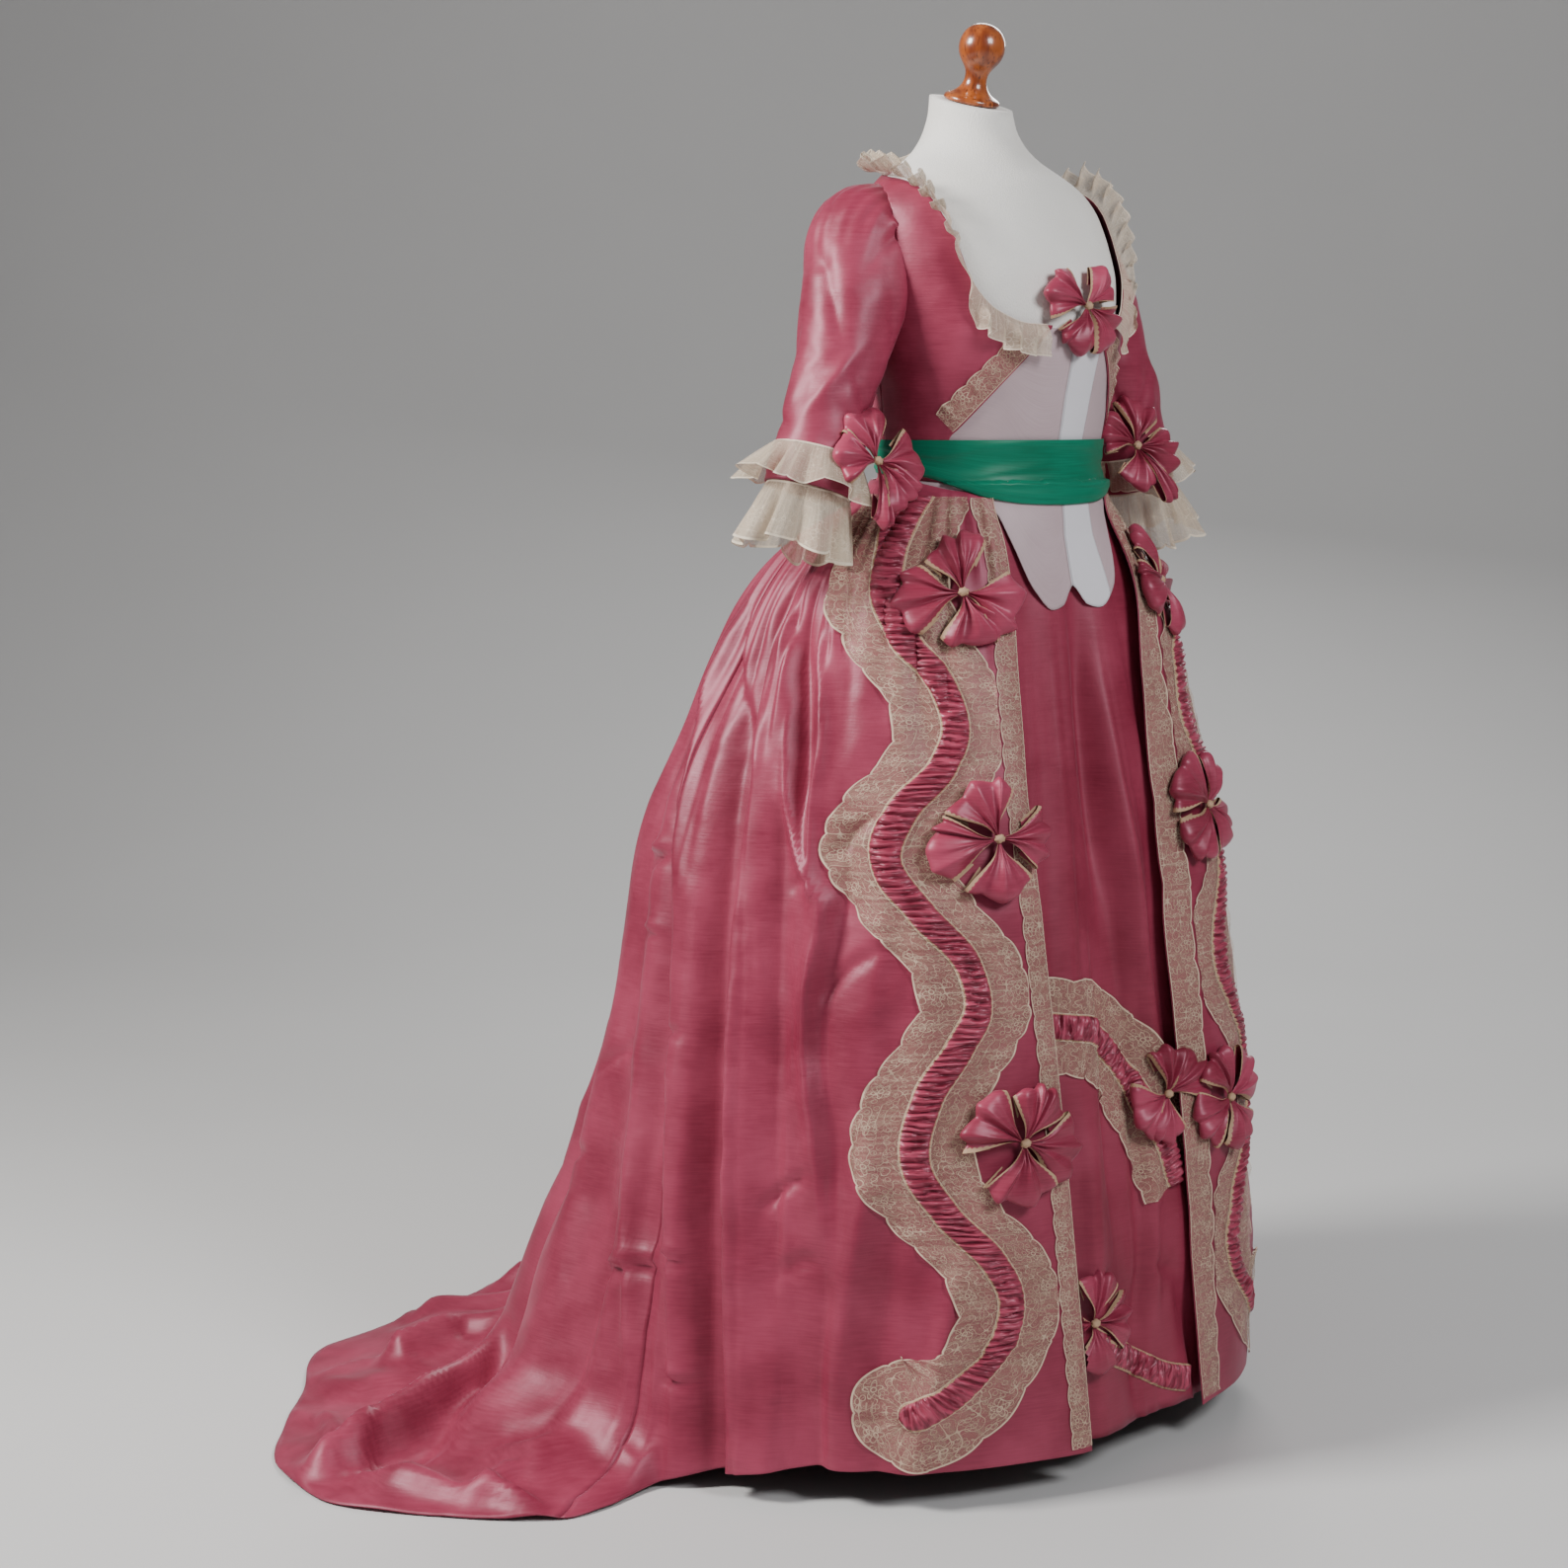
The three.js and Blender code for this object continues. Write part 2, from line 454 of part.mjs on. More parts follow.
const bodyHeights = BODY_SECTIONS.map((row) => row.z);
{
  const columns = [];
  for (let angle = -180; angle < 180; angle += FORM_STEP) columns.push(angle);
  const points = columns.flatMap((angle) => bodyHeights.map((z) => bodyPoint(angle, z, 0)));
  const rows = bodyHeights.length;
  const triangles = [];
  const bottom = points.push(new THREE.Vector3(0, 0, bodyHeights[0])) - 1;
  const neck = BODY_SECTIONS[rows - 1];
  const top = points.push(new THREE.Vector3(0, (neck.back - neck.front) / 2, neck.z)) - 1;
  columns.forEach((_, c) => {
    const next = (c + 1) % columns.length;
    for (let r = 0; r < rows - 1; r += 1) {
      const [a, b, d, e] = [c * rows + r, next * rows + r, next * rows + r + 1, c * rows + r + 1];
      triangles.push(a, b, d, a, d, e);
    }
    triangles.push(bottom, next * rows, c * rows, top, c * rows + rows - 1, next * rows + rows - 1);
  });
  addSolid('form_torso', solidOf(points, triangles), JERSEY);

  // The turned knob stands on the tilted top of the neck.
  const ballArc = angleSteps(-62, 90, 26).map((turn) => new THREE.Vector2(
    KNOB.ball * Math.cos(radians(turn)), KNOB.ballHeight + KNOB.ball * Math.sin(radians(turn))));
  const corners = [
    { radius: 0, z: 0 }, { radius: KNOB.base, z: 0 }, { radius: KNOB.base, z: KNOB.baseHeight },
    { radius: KNOB.collar, z: KNOB.collarHeight }, { radius: KNOB.neck, z: KNOB.neckHeight },
    { radius: KNOB.waist, z: KNOB.waistHeight },
  ].map((corner) => new THREE.Vector2(corner.radius, corner.z));
  const crown = new THREE.Vector2(0, KNOB.ballHeight + KNOB.ball);
  const profile = [...corners, ...ballArc.slice(0, -1), crown];
  const knob = new THREE.LatheGeometry(profile, 20);
  knob.rotateX(Math.PI / 2);
  const tilt = radians(neck.tilt);
  knob.rotateX(tilt);
  knob.translate(0, (neck.back - neck.front) / 2 - GAP * Math.sin(tilt), neck.z + GAP * Math.cos(tilt));
  addSolid('neck_knob', solidFromGeometry(knob), TURNED_WOOD);

  const poleLength = BODY_SECTIONS[0].z - DISC.height - 2 * GAP;
  const pole = new THREE.CylinderGeometry(POLE_RADIUS, POLE_RADIUS, poleLength, 16);
  pole.rotateX(Math.PI / 2);
  pole.translate(0, 0, (BODY_SECTIONS[0].z + DISC.height) / 2);
  addSolid('stand_pole', solidFromGeometry(pole), STAND_PAINT);

  const disc = new THREE.LatheGeometry([
    new THREE.Vector2(0, 0), new THREE.Vector2(DISC.radius, 0),
    new THREE.Vector2(DISC.radius, DISC.height - DISC.edge),
    new THREE.Vector2(DISC.radius - DISC.edge, DISC.height), new THREE.Vector2(0, DISC.height),
  ], 32);
  disc.rotateX(Math.PI / 2);
  addSolid('stand_disc', solidFromGeometry(disc), STAND_PAINT);
}

// ---------------------------------------------------------------- sleeves (needed by the bodice)

// Frame of a sleeve ring: its centre and two directions across the sleeve.
const sleeveCurve = new THREE.CatmullRomCurve3(SLEEVE_RINGS.map((r) => new THREE.Vector3(-r.x, r.y, r.z)));
function sleeveFrame(step) {
  const t = Math.min(step / (SLEEVE_RINGS.length - 1), 1);
  const centre = sleeveCurve.getPoint(t);
  const along = sleeveCurve.getTangent(t);
  const across = new THREE.Vector3(0, 1, 0).cross(along).normalize();
  const forward = along.clone().cross(across).normalize();
  const low = Math.min(Math.floor(step), SLEEVE_RINGS.length - 2);
  const radius = mix(SLEEVE_RINGS[low].radius, SLEEVE_RINGS[low + 1].radius, Math.min(step - low, 1));
  return { centre, along, across, forward, radius };
}

// A point of a sleeve. Turn 0 is its side towards the body and -90 its front; the left sleeve mirrors
// the right one.
function sleevePoint(side, step, turn, offset, drop = 0) {
  const f = sleeveFrame(step);
  const point = f.centre.clone()
    .addScaledVector(f.across, -(f.radius + offset) * Math.cos(radians(turn)))
    .addScaledVector(f.forward, (f.radius + offset) * Math.sin(radians(turn)))
    .addScaledVector(f.along, drop);
  return side === 'left' ? mirrored(point) : point;
}

// A point of the right sleeve carried over to the left one, which hangs a little closer.
function mirrored(point) {
  const { by, from, to } = LEFT_SLEEVE_CLOSER;
  const share = Math.min(1, Math.max(0, (from - point.z) / (from - to)));
  return new THREE.Vector3(-point.x - by * share, point.y, point.z);
}

const sleeveTurns = Array.from({ length: SLEEVE_SIDES }, (_, i) => (i * 360) / SLEEVE_SIDES);
const sleeveSteps = Array.from({ length: SLEEVE_RINGS.length }, (_, i) => i);

// A tube of a sleeve between two offsets.
function sleeveTube(side, steps, inner, outer) {
  const grid = (offset) => sleeveTurns.map((turn) => steps.map((s) => sleevePoint(side, s, turn, offset)));
  return wall(grid(outer), grid(inner), true);
}

// A filled sleeve, for cuts.
function sleeveCore(side, offset) {
  return sleeveTube(side, sleeveSteps, SLEEVE_CORE.wall, offset)
    .add(sleeveTube(side, sleeveSteps, SLEEVE_CORE.middle, SLEEVE_CORE.join));
}

// ---------------------------------------------------------------- bodice, waistcoat and sash

const upperHeights = bodyHeights.filter((z) => z > WAIST && z <= 1436);
const bodiceHeights = [WAIST, ...upperHeights];
const TAB_HEIGHTS = [925, 965, 1005, 1040]; // rows that the waistcoat's points share with the petticoat

const necklineAt = (angle) => lookUp(NECKLINE, 'angle', 'z', Math.abs(angle));
const bodyCore = bodyTube(bodiceHeights, BODY_CORE, BODICE.outer + GAP);
const waistcoatHeights = [...TAB_HEIGHTS, ...bodiceHeights.slice(0, 3)];
const waistcoatTube = bodyTube(waistcoatHeights, WAISTCOAT.inner, WAISTCOAT.outer);

// The pattern outline of a bodice panel: under the neckline, the fronts behind their slanting edge.
function bodiceOutline(panel, grow) {
  if (panel === 'back') {
    return BODICE_COLUMNS.back.map((angle) => ({
      angle, low: BODICE_LOW, high: necklineAt(angle > 180 ? 360 - angle : angle) + NECK_GROWTH * grow,
    }));
  }
  const sign = panel === 'right' ? -1 : 1;
  return BODICE_COLUMNS.front.map((angle) => ({
    angle: sign * angle,
    low: angle > BODICE_EDGE[2].angle ? BODICE_LOW : lookUp(BODICE_EDGE, 'angle', 'z', angle) - grow,
    high: necklineAt(angle) + NECK_GROWTH * grow,
  }));
}

// A bodice panel, or a grown copy of it that cuts its neighbours clear.
function bodicePanel(panel, grow = 0) {
  const tube = bodyTube(bodiceHeights, BODICE.inner - grow, BODICE.outer + grow);
  return tube.intersect(sector(bodiceOutline(panel, grow)));
}

const armholes = sleeveCore('right', SLEEVE_WALL.inner).add(sleeveCore('left', SLEEVE_WALL.inner));
for (const panel of ['right', 'left']) {
  addSolid(`bodice_front_${panel}`, bodicePanel(panel).subtract(armholes), TAFFETA);
}
addSolid('bodice_back', bodicePanel('back').subtract(armholes), TAFFETA);

for (const side of ['right', 'left']) {
  const sign = side === 'right' ? -1 : 1;
  const columns = [{ angle: 0.12, z: WAISTCOAT_EDGE[0].z }, ...WAISTCOAT_EDGE].map((row) => ({
    angle: sign * row.angle, low: row.z, high: WAISTCOAT_TOP,
  }));
  addSolid(`waistcoat_front_${side}`, waistcoatTube.intersect(sector(columns)), WAISTCOAT_SILK);
}

// The sash dips at the front. Its middle row follows the bend of the cloth at the waist.
function sashWall() {
  const columns = [];
  for (let angle = -180; angle < 180; angle += BODY_STEP) columns.push(angle);
  const grid = (offset) => columns.map((angle) => {
    const bottom = lookUp(SASH_BOTTOM, 'angle', 'z', Math.abs(angle));
    const heights = [bottom, Math.max(WAIST, (bottom + SASH_TOP) / 2), SASH_TOP];
    return heights.map((z) => layerPoint(angle, z, offset));
  });
  return wall(grid(SASH.outer), grid(SASH.inner), true);
}

// Lace on the slanting edge of a bodice front.
function bodiceLace(side) {
  const sign = side === 'right' ? -1 : 1;
  const rows = angleSteps(26, 62, 9).map((angle) => {
    const z = lookUp(BODICE_EDGE, 'angle', 'z', angle);
    return { left: { angle: sign * (angle + 1), z: z + 2 }, right: { angle: sign * (angle + 9), z: z + 21 } };
  });
  const tube = bodyTube(bodiceHeights.slice(0, 4), BODICE_LACE.inner, BODICE_LACE.outer);
  return tube.intersect(bandBlock(rows));
}
for (const side of ['right', 'left']) addSolid(`bodice_lace_${side}`, bodiceLace(side), LACE_CREAM);

// ---------------------------------------------------------------- sleeves and cuffs

// A gathered ruffle around the sleeve: waves grow from its sewn edge to its free edge.
function cuffRuffle(side, rows, thick) {
  const turns = Array.from({ length: 2 * SLEEVE_SIDES }, (_, i) => (i * 180) / SLEEVE_SIDES);
  const grid = (extra) => turns.map((turn, i) => rows.map((row) => {
    const inward = 1 - CUFF_TUCK * Math.max(0, -Math.cos(radians(turn)));
    const wave = row.wave * (i % 2 === 0 ? 1 : -1);
    return sleevePoint(side, row.step, turn, row.offset * inward + wave + extra, row.drop);
  }));
  return wall(grid(thick), grid(0), true);
}

const lastStep = SLEEVE_RINGS.length - 1;
const cuffUpperRows = [
  { step: CUFF_UPPER.from, offset: CUFF_UPPER.base, wave: 0, drop: 0 },
  { step: CUFF_UPPER.to, offset: CUFF_UPPER.flare + CUFF_UPPER.wave, wave: CUFF_UPPER.wave, drop: 0 },
];
const cuffLowerRows = [
  { step: lastStep, offset: CUFF_LOWER.base, wave: 0, drop: GAP },
  { step: lastStep, offset: CUFF_LOWER.flare, wave: CUFF_LOWER.wave, drop: CUFF_LOWER.drop },
];

// ---------------------------------------------------------------- skirts

const gownEdgeX = (side, z) => lookUp(side === 'right' ? GOWN_EDGE_RIGHT : GOWN_EDGE_LEFT, 'z', 'x', z);

// Angle of a gown front edge at a height: the edge hangs at a fixed distance from the middle.
function gownEdgeAngle(side, z) {
  const sign = side === 'right' ? -1 : 1;
  let angle = sign * 30;
  for (let i = 0; i < 8; i += 1) {
    const sine = Math.min(0.95, gownEdgeX(side, z) / skirtRadius(angle, z));
    angle = (sign * Math.asin(sine) * 180) / Math.PI;
  }
  return angle;
}

const hemHeight = (angle) => lookUp(HEM_HEIGHT, 'angle', 'z', angle);

// One point of the gown: a column at a height. Its angle runs from the waist's to the hem's.
function gownPoint(column, z) {
  const top = lookUp(GOWN_TOP, 'angle', 'z', column.top);
  const share = Math.min(1, (top - z) / (top - hemHeight(column.hem)));
  const angle = column.edge
    ? gownEdgeAngle(column.side, z)
    : mix(column.top, column.hem, share ** ANGLE_EASE);
  const trough = column.trough * lookUp(FOLD_DEPTH, 'z', 'depth', z);
  const atWaist = bodyPoint(angle, Math.min(z, WAIST), BODICE.outer - CLOTH / 2);
  const turn = ((angle + 540) % 360) - 180;
  const overTabs = petticoatRadius(turn, z) + WAISTCOAT.outer - PETTICOAT_BAND.outer + CLOTH + GAP;
  const radius = Math.max(skirtRadius(angle, z) - trough, Math.hypot(atWaist.x, atWaist.y), overTabs);
  return new THREE.Vector3(radius * Math.sin(radians(angle)), -radius * Math.cos(radians(angle)), z);
}

// A column of the gown, from the waist down to its hem or out over the floor.
function gownColumn(column) {
  const top = lookUp(GOWN_TOP, 'angle', 'z', column.top);
  const upright = GOWN_ROWS.map((share) => gownPoint(column, mix(top, GOWN_FOOT, share)));
  const flare = lookUp(TRAIN, 'angle', 'flare', column.hem);
  const swing = lookUp(TRAIN, 'angle', 'swing', column.hem);
  const foot = gownPoint(column, GOWN_FOOT);
  const start = Math.hypot(foot.x, foot.y);
  const end = skirtRadius(column.hem, 0) + flare;
  const lower = HEM_ROWS.map((row) => {
    const plain = gownPoint(column, mix(GOWN_FOOT, hemHeight(column.hem), row.out));
    const radius = mix(start, end, row.out);
    const lift = (row.z - CLOTH_ON_FLOOR) * (1 - 0.6 * column.trough * row.out);
    const turn = radians(column.hem + swing * row.out);
    const height = CLOTH_ON_FLOOR + lift;
    const flared = new THREE.Vector3(radius * Math.sin(turn), -radius * Math.cos(turn), height);
    return plain.lerp(flared, Math.min(1, flare / FULL_FLARE));
  });
  return [...upright, ...lower];
}

// Outward normals of a grid, from its neighbours.
function gridNormals(grid) {
  const columns = grid.length;
  const rows = grid[0].length;
  return grid.map((line, c) => line.map((_, r) => {
    const across = grid[Math.min(c + 1, columns - 1)][r].clone().sub(grid[Math.max(c - 1, 0)][r]);
    const down = line[Math.min(r + 1, rows - 1)].clone().sub(line[Math.max(r - 1, 0)]);
    const normal = down.cross(across).normalize();
    const outward = new THREE.Vector3(line[r].x, line[r].y, 60);
    return normal.dot(outward) < 0 ? normal.negate() : normal;
  }));
}

// Level outward directions, for walls that must nest with the body layers.
const levelNormals = (grid) =>
  grid.map((line) => line.map((p) => new THREE.Vector3(p.x, p.y, 0).normalize()));

// A sheet is a grid with its outward directions. Its wall lies between two offsets.
const sheetOf = (grid, normalsOf = gridNormals) => ({ grid, normals: normalsOf(grid) });
function sheetWall(sheet, from, to) {
  const moved = (offset) => sheet.grid.map((line, c) =>
    line.map((p, r) => p.clone().addScaledVector(sheet.normals[c][r], offset)));
  return wall(moved(to), moved(from));
}

// A sheet whose borders are moved out, for cuts that must clear a panel's edges too.
function grown(sheet, by) {
  const step = (from, to) => to.clone().sub(from).normalize().multiplyScalar(by);
  const { grid, normals } = sheet;
  const rows = grid[0].length;
  const columns = grid.length;
  const wider = grid.map((line, c) => line.map((p, r) => {
    const moved = p.clone();
    if (c === 0) moved.add(step(grid[1][r], p));
    if (c === columns - 1) moved.add(step(grid[c - 1][r], p));
    if (r === 0) moved.add(step(line[1], p));
    if (r === rows - 1) moved.add(step(line[r - 1], p));
    return moved;
  }));
  return { grid: wider, normals };
}

// The gown is one sheet of columns. Each panel takes its own and stops short of its seams.
const gownSheet = sheetOf([
  { ...GOWN_EDGE_COLUMN, top: -GOWN_EDGE_COLUMN.top, hem: -GOWN_EDGE_COLUMN.hem, side: 'right' },
  ...GOWN_RIGHT_COLUMNS, ...GOWN_BACK_COLUMNS, ...GOWN_LEFT_COLUMNS,
  { ...GOWN_EDGE_COLUMN, top: GOWN_EDGE_COLUMN.top - 360, hem: GOWN_EDGE_COLUMN.hem - 360, side: 'left' },
].map(gownColumn));
const seams = {
  right: GOWN_RIGHT_COLUMNS.length,
  left: GOWN_RIGHT_COLUMNS.length + GOWN_BACK_COLUMNS.length + 1,
};
function gownPart(first, last) {
  const grid = gownSheet.grid.slice(first, last + 1);
  const normals = gownSheet.normals.slice(first, last + 1);
  const short = (from, to) => from.map((p, r) =>
    p.clone().addScaledVector(to[r].clone().sub(p).normalize(), SEAM_SHIFT));
  const count = grid.length;
  const shifted = [...grid];
  if (first > 0) shifted[0] = short(grid[0], grid[1]);
  if (last < gownSheet.grid.length - 1) shifted[count - 1] = short(grid[count - 1], grid[count - 2]);
  return { grid: shifted, normals };
}
const gownParts = {
  right: gownPart(0, seams.right),
  back: gownPart(seams.right, seams.left),
  left: gownPart(seams.left, gownSheet.grid.length - 1),
};
const half = CLOTH / 2;
for (const panel of ['right', 'back', 'left']) {
  addSolid(`gown_skirt_${panel}`, sheetWall(gownParts[panel], -half, half), TAFFETA);
}

// Petticoat: two panels with soft folds, closed at the sides.
const PETTICOAT_ROWS = {
  front: [PETTICOAT_HEM, 220, 450, 720, ...TAB_HEIGHTS, WAIST, PETTICOAT_TOP],
  back: [PETTICOAT_HEM, 400, 700, 925, 1005, 1040, WAIST, PETTICOAT_TOP],
};
const petticoatHalf = (PETTICOAT_BAND.outer - PETTICOAT_BAND.inner) / 2;
const petticoatMiddle = PETTICOAT_BAND.inner + petticoatHalf;

// A point of the petticoat's middle surface on one of its columns.
function petticoatPoint(angle, z) {
  const atWaist = bodyPoint(angle, Math.max(z, WAIST), petticoatMiddle);
  if (z >= WAIST) return atWaist;
  const turn = angle > 180 ? angle - 360 : angle;
  const folded = Math.round(Math.abs(angle) / BODY_STEP) % 2 === 0;
  const trough = folded ? lookUp(FOLD_DEPTH, 'z', 'depth', z) * PETTICOAT_FOLD : 0;
  const spread = petticoatRadius(turn, z) - petticoatHalf - trough;
  const radius = Math.max(spread, Math.hypot(atWaist.x, atWaist.y));
  return new THREE.Vector3(radius * Math.sin(radians(angle)), -radius * Math.cos(radians(angle)), z);
}

// A petticoat panel. Its edges lie on the straight line between two columns.
function petticoatPanel(from, to, heights) {
  const inside = angleSteps(-360, 360, BODY_STEP).filter((angle) => angle > from && angle < to);
  const column = (angle) => {
    const low = Math.floor(angle / BODY_STEP) * BODY_STEP;
    const share = (angle - low) / BODY_STEP;
    return heights.map((z) => petticoatPoint(low, z).lerp(petticoatPoint(low + BODY_STEP, z), share));
  };
  return sheetOf([from, ...inside, to].map(column), levelNormals);
}
const petticoatParts = {
  front: petticoatPanel(-PETTICOAT_SEAM, PETTICOAT_SEAM, PETTICOAT_ROWS.front),
  back: petticoatPanel(PETTICOAT_SEAM + 0.4, 359.6 - PETTICOAT_SEAM, PETTICOAT_ROWS.back),
};
for (const panel of ['front', 'back']) {
  addSolid(`petticoat_${panel}`, sheetWall(petticoatParts[panel], -petticoatHalf, petticoatHalf), TAFFETA);
}

// ---------------------------------------------------------------- trim of the gown fronts

// Angle of a place on a gown front, at a distance from its front edge.
function frontAngle(side, distance, z) {
  const sign = side === 'right' ? -1 : 1;
  const edge = gownEdgeAngle(side, z);
  return edge + (sign * distance * 180) / Math.PI / skirtRadius(edge + sign * 14, z);
}

// Rows of a band along the serpentine, between two distances from its centre.
function serpentineRows(side, near, far, keepOff = 0) {
  const place = (distance, z) => ({ angle: frontAngle(side, Math.max(distance, keepOff), z), z });
  const rows = SERPENTINE.map(({ z, out }, i) => {
    const before = SERPENTINE[Math.max(i - 1, 0)];
    const after = SERPENTINE[Math.min(i + 1, SERPENTINE.length - 1)];
    const stretch = Math.hypot(1, (after.out - before.out) / (after.z - before.z));
    const widen = (d) => (Math.abs(d) < RUCHED.half + 1
      ? d * stretch
      : Math.sign(d) * (Math.abs(d) + RUCHED.half * (stretch - 1)));
    return { left: place(out + widen(near), z), right: place(out + widen(far), z) };
  });
  HOOK.forEach((step) => {
    const turn = radians(step.turn);
    const at = (d) => place(step.out + d * Math.cos(turn), step.z + d * Math.sin(turn));
    rows.push({ left: at(near), right: at(far) });
  });
  return rows;
}

const trimTop = half + GAP; // where trim starts above a skirt's middle surface
const ruchedTop = trimTop + RUCHED.thick;
const laceTop = trimTop + LACE.thick;

for (const side of ['right', 'left']) {
  const sheet = gownParts[side];
  const laceSheet = sheetWall(sheet, trimTop, laceTop);
  const line = (extra) => angleSteps(EDGE_LACE_SPAN.top, EDGE_LACE_SPAN.bottom, 130).map((z) => ({
    left: { angle: frontAngle(side, 1, z), z },
    right: { angle: frontAngle(side, EDGE_LACE_WIDE[side] + extra, z), z },
  }));
  const band = bandBlock(serpentineRows(side, -RUCHED.half, RUCHED.half));
  const outer = bandBlock(serpentineRows(side, RUCHED.half + GAP, RUCHED.half + LACE.wide));
  const inner = bandBlock(serpentineRows(side, -RUCHED.half - LACE.wide, -RUCHED.half - GAP, 6));
  addSolid(`ruched_band_${side}`, sheetWall(sheet, trimTop, ruchedTop).intersect(band), TAFFETA);
  addSolid(`lace_outer_${side}`, laceSheet.intersect(outer), LACE_CREAM);
  addSolid(`lace_inner_${side}`, laceSheet.intersect(inner).subtract(bandBlock(line(GAP))), LACE_CREAM);
  addSolid(`edge_lace_${side}`, laceSheet.intersect(bandBlock(line(0))), LACE_CREAM);
}

// ---------------------------------------------------------------- trim of the petticoat

// Rows of a band along a line of the petticoat front, between two distances above its centre.
function petticoatRows(line, from, to, longer = 0) {
  return line.map((point, i) => {
    const before = line[Math.max(i - 1, 0)];
    const after = line[Math.min(i + 1, line.length - 1)];
    const length = Math.hypot(after.x - before.x, after.z - before.z);
    const up = { x: -(after.z - before.z) / length, z: (after.x - before.x) / length };
    const push = longer * (Number(after === point) - Number(before === point));
    const at = (d) => {
      const x = point.x + up.x * d + up.z * push;
      const z = point.z + up.z * d - up.x * push;
      return { angle: (Math.asin(x / petticoatRadius(0, z)) * 180) / Math.PI, z };
    };
    return { left: at(from), right: at(to) };
  });
}
const petticoatTop = petticoatHalf + GAP;
const petticoatBand = (line, from, to, thick) =>
  sheetWall(petticoatParts.front, petticoatTop, petticoatTop + thick)
    .intersect(bandBlock(petticoatRows(PETTICOAT_TRIM[line], from, to)));
for (const line of ['upper', 'lower']) {
  addSolid(`petticoat_ruched_${line}`, petticoatBand(line, -RUCHED.half, RUCHED.half, RUCHED.thick), TAFFETA);
}
const laceNear = RUCHED.half + GAP;
const laceFar = RUCHED.half + PETTICOAT_LACE_WIDE;
addSolid('petticoat_lace_above', petticoatBand('upper', laceNear, laceFar, LACE.thick), LACE_CREAM);
addSolid('petticoat_lace_below', petticoatBand('upper', -laceFar, -laceNear, LACE.thick), LACE_CREAM);

// ---------------------------------------------------------------- bows

// A bow of gathered leaves around a knot. The place function gives the point and the outward normal
// at a distance across and up from the knot.
function bow(place, reach, spin = 0, height = BOW.height) {
  const points = [];
  const triangles = [];
  const add = (x, y, rise) => {
    const { point, normal } = place(x, y);
    return points.push(point.clone().addScaledVector(normal, rise)) - 1;
  };
  const top = add(0, 0, BOW.knot);
  const bottom = add(0, 0, -BOW.sunk);
  const count = BOW.leaves * BOW_LEAF.length;
  const line = (direction) => {
    const { long, high } = BOW_LEAF[direction % BOW_LEAF.length];
    const turn = radians((direction * 360) / count + spin);
    const far = reach * long;
    const at = (out, rise) => add(Math.cos(turn) * far * out, Math.sin(turn) * far * out, rise);
    return [...BOW_RINGS.map((ring) => at(ring.out, ring.rise * height * high)), at(1, -BOW.sunk)];
  };
  const lines = Array.from({ length: count }, (_, i) => line(i));
  lines.forEach((here, i) => {
    const next = lines[(i + 1) % count];
    triangles.push(top, here[0], next[0]);
    for (let r = 0; r < here.length - 1; r += 1) {
      triangles.push(here[r], here[r + 1], next[r + 1], here[r], next[r + 1], next[r]);
    }
    triangles.push(bottom, next[here.length - 1], here[here.length - 1]);
  });
  const solid = solidOf(points, triangles);
  return solid.volume() < 0 ? solidOf(points, triangles.reverse()) : solid;
}

// Place function of a spot on a radial surface.
function onSurface(angle, z, radiusAt) {
  return (across, up) => {
    const radius = radiusAt(angle, z);
    const at = (x, y) => {
      const turn = angle + (x * 180) / Math.PI / radius;
      const r = radiusAt(turn, z + y);
      return new THREE.Vector3(r * Math.sin(radians(turn)), -r * Math.cos(radians(turn)), z + y);
    };
    const point = at(across, up);
    const side = at(across + 2, up).sub(point);
    const rise = at(across, up + 2).sub(point);
    return { point, normal: side.cross(rise).normalize() };
  };
}

// What a bow rests on, as blocks that cut its underside clear.
const slab = (sheet, to) => sheetWall(grown(sheet, GAP), -SLAB_DEPTH, to);
for (const side of ['right', 'left']) {
  const sign = side === 'right' ? -1 : 1;
  const floor = slab(gownParts[side], laceTop + GAP);
  const overRuched = sheetWall(gownParts[side], trimTop, ruchedTop + GAP)
    .intersect(bandBlock(serpentineRows(side, -RUCHED.half - GAP, RUCHED.half + GAP)));
  GOWN_BOWS[side].forEach((spot, i) => {
    const raw = bow(onSurface(sign * spot.angle, spot.z, skirtRadius), BOW_SIZES.gown, spot.spin);
    addSolid(`bow_gown_${side}_${i + 1}`, raw.subtract(floor).subtract(overRuched), TAFFETA);
  });
}

// Petticoat bows. The lower one is tucked under the gown's right front edge.
{
  const floor = slab(petticoatParts.front, petticoatTop + LACE.thick + GAP);
  const cover = sheetWall(petticoatParts.front, petticoatTop, petticoatTop + RUCHED.thick + GAP);
  const gownOver = ['right', 'left'].map((side) => sheetWall(grown(gownParts[side], GAP), -half - GAP, 40));
  for (const line of ['upper', 'lower']) {
    const spot = PETTICOAT_BOWS[line];
    const band = petticoatRows(PETTICOAT_TRIM[line], -RUCHED.half - 2 * GAP, RUCHED.half + 2 * GAP, 2 * GAP);
    const place = onSurface(spot.angle, spot.z, petticoatRadius);
    const raw = bow(place, BOW_SIZES.petticoat, spot.spin, spot.height);
    const cut = raw.subtract(floor).subtract(cover.intersect(bandBlock(band)));
    addSolid(`bow_petticoat_${line}`, cut.subtract(gownOver[0]).subtract(gownOver[1]), TAFFETA);
  }
}

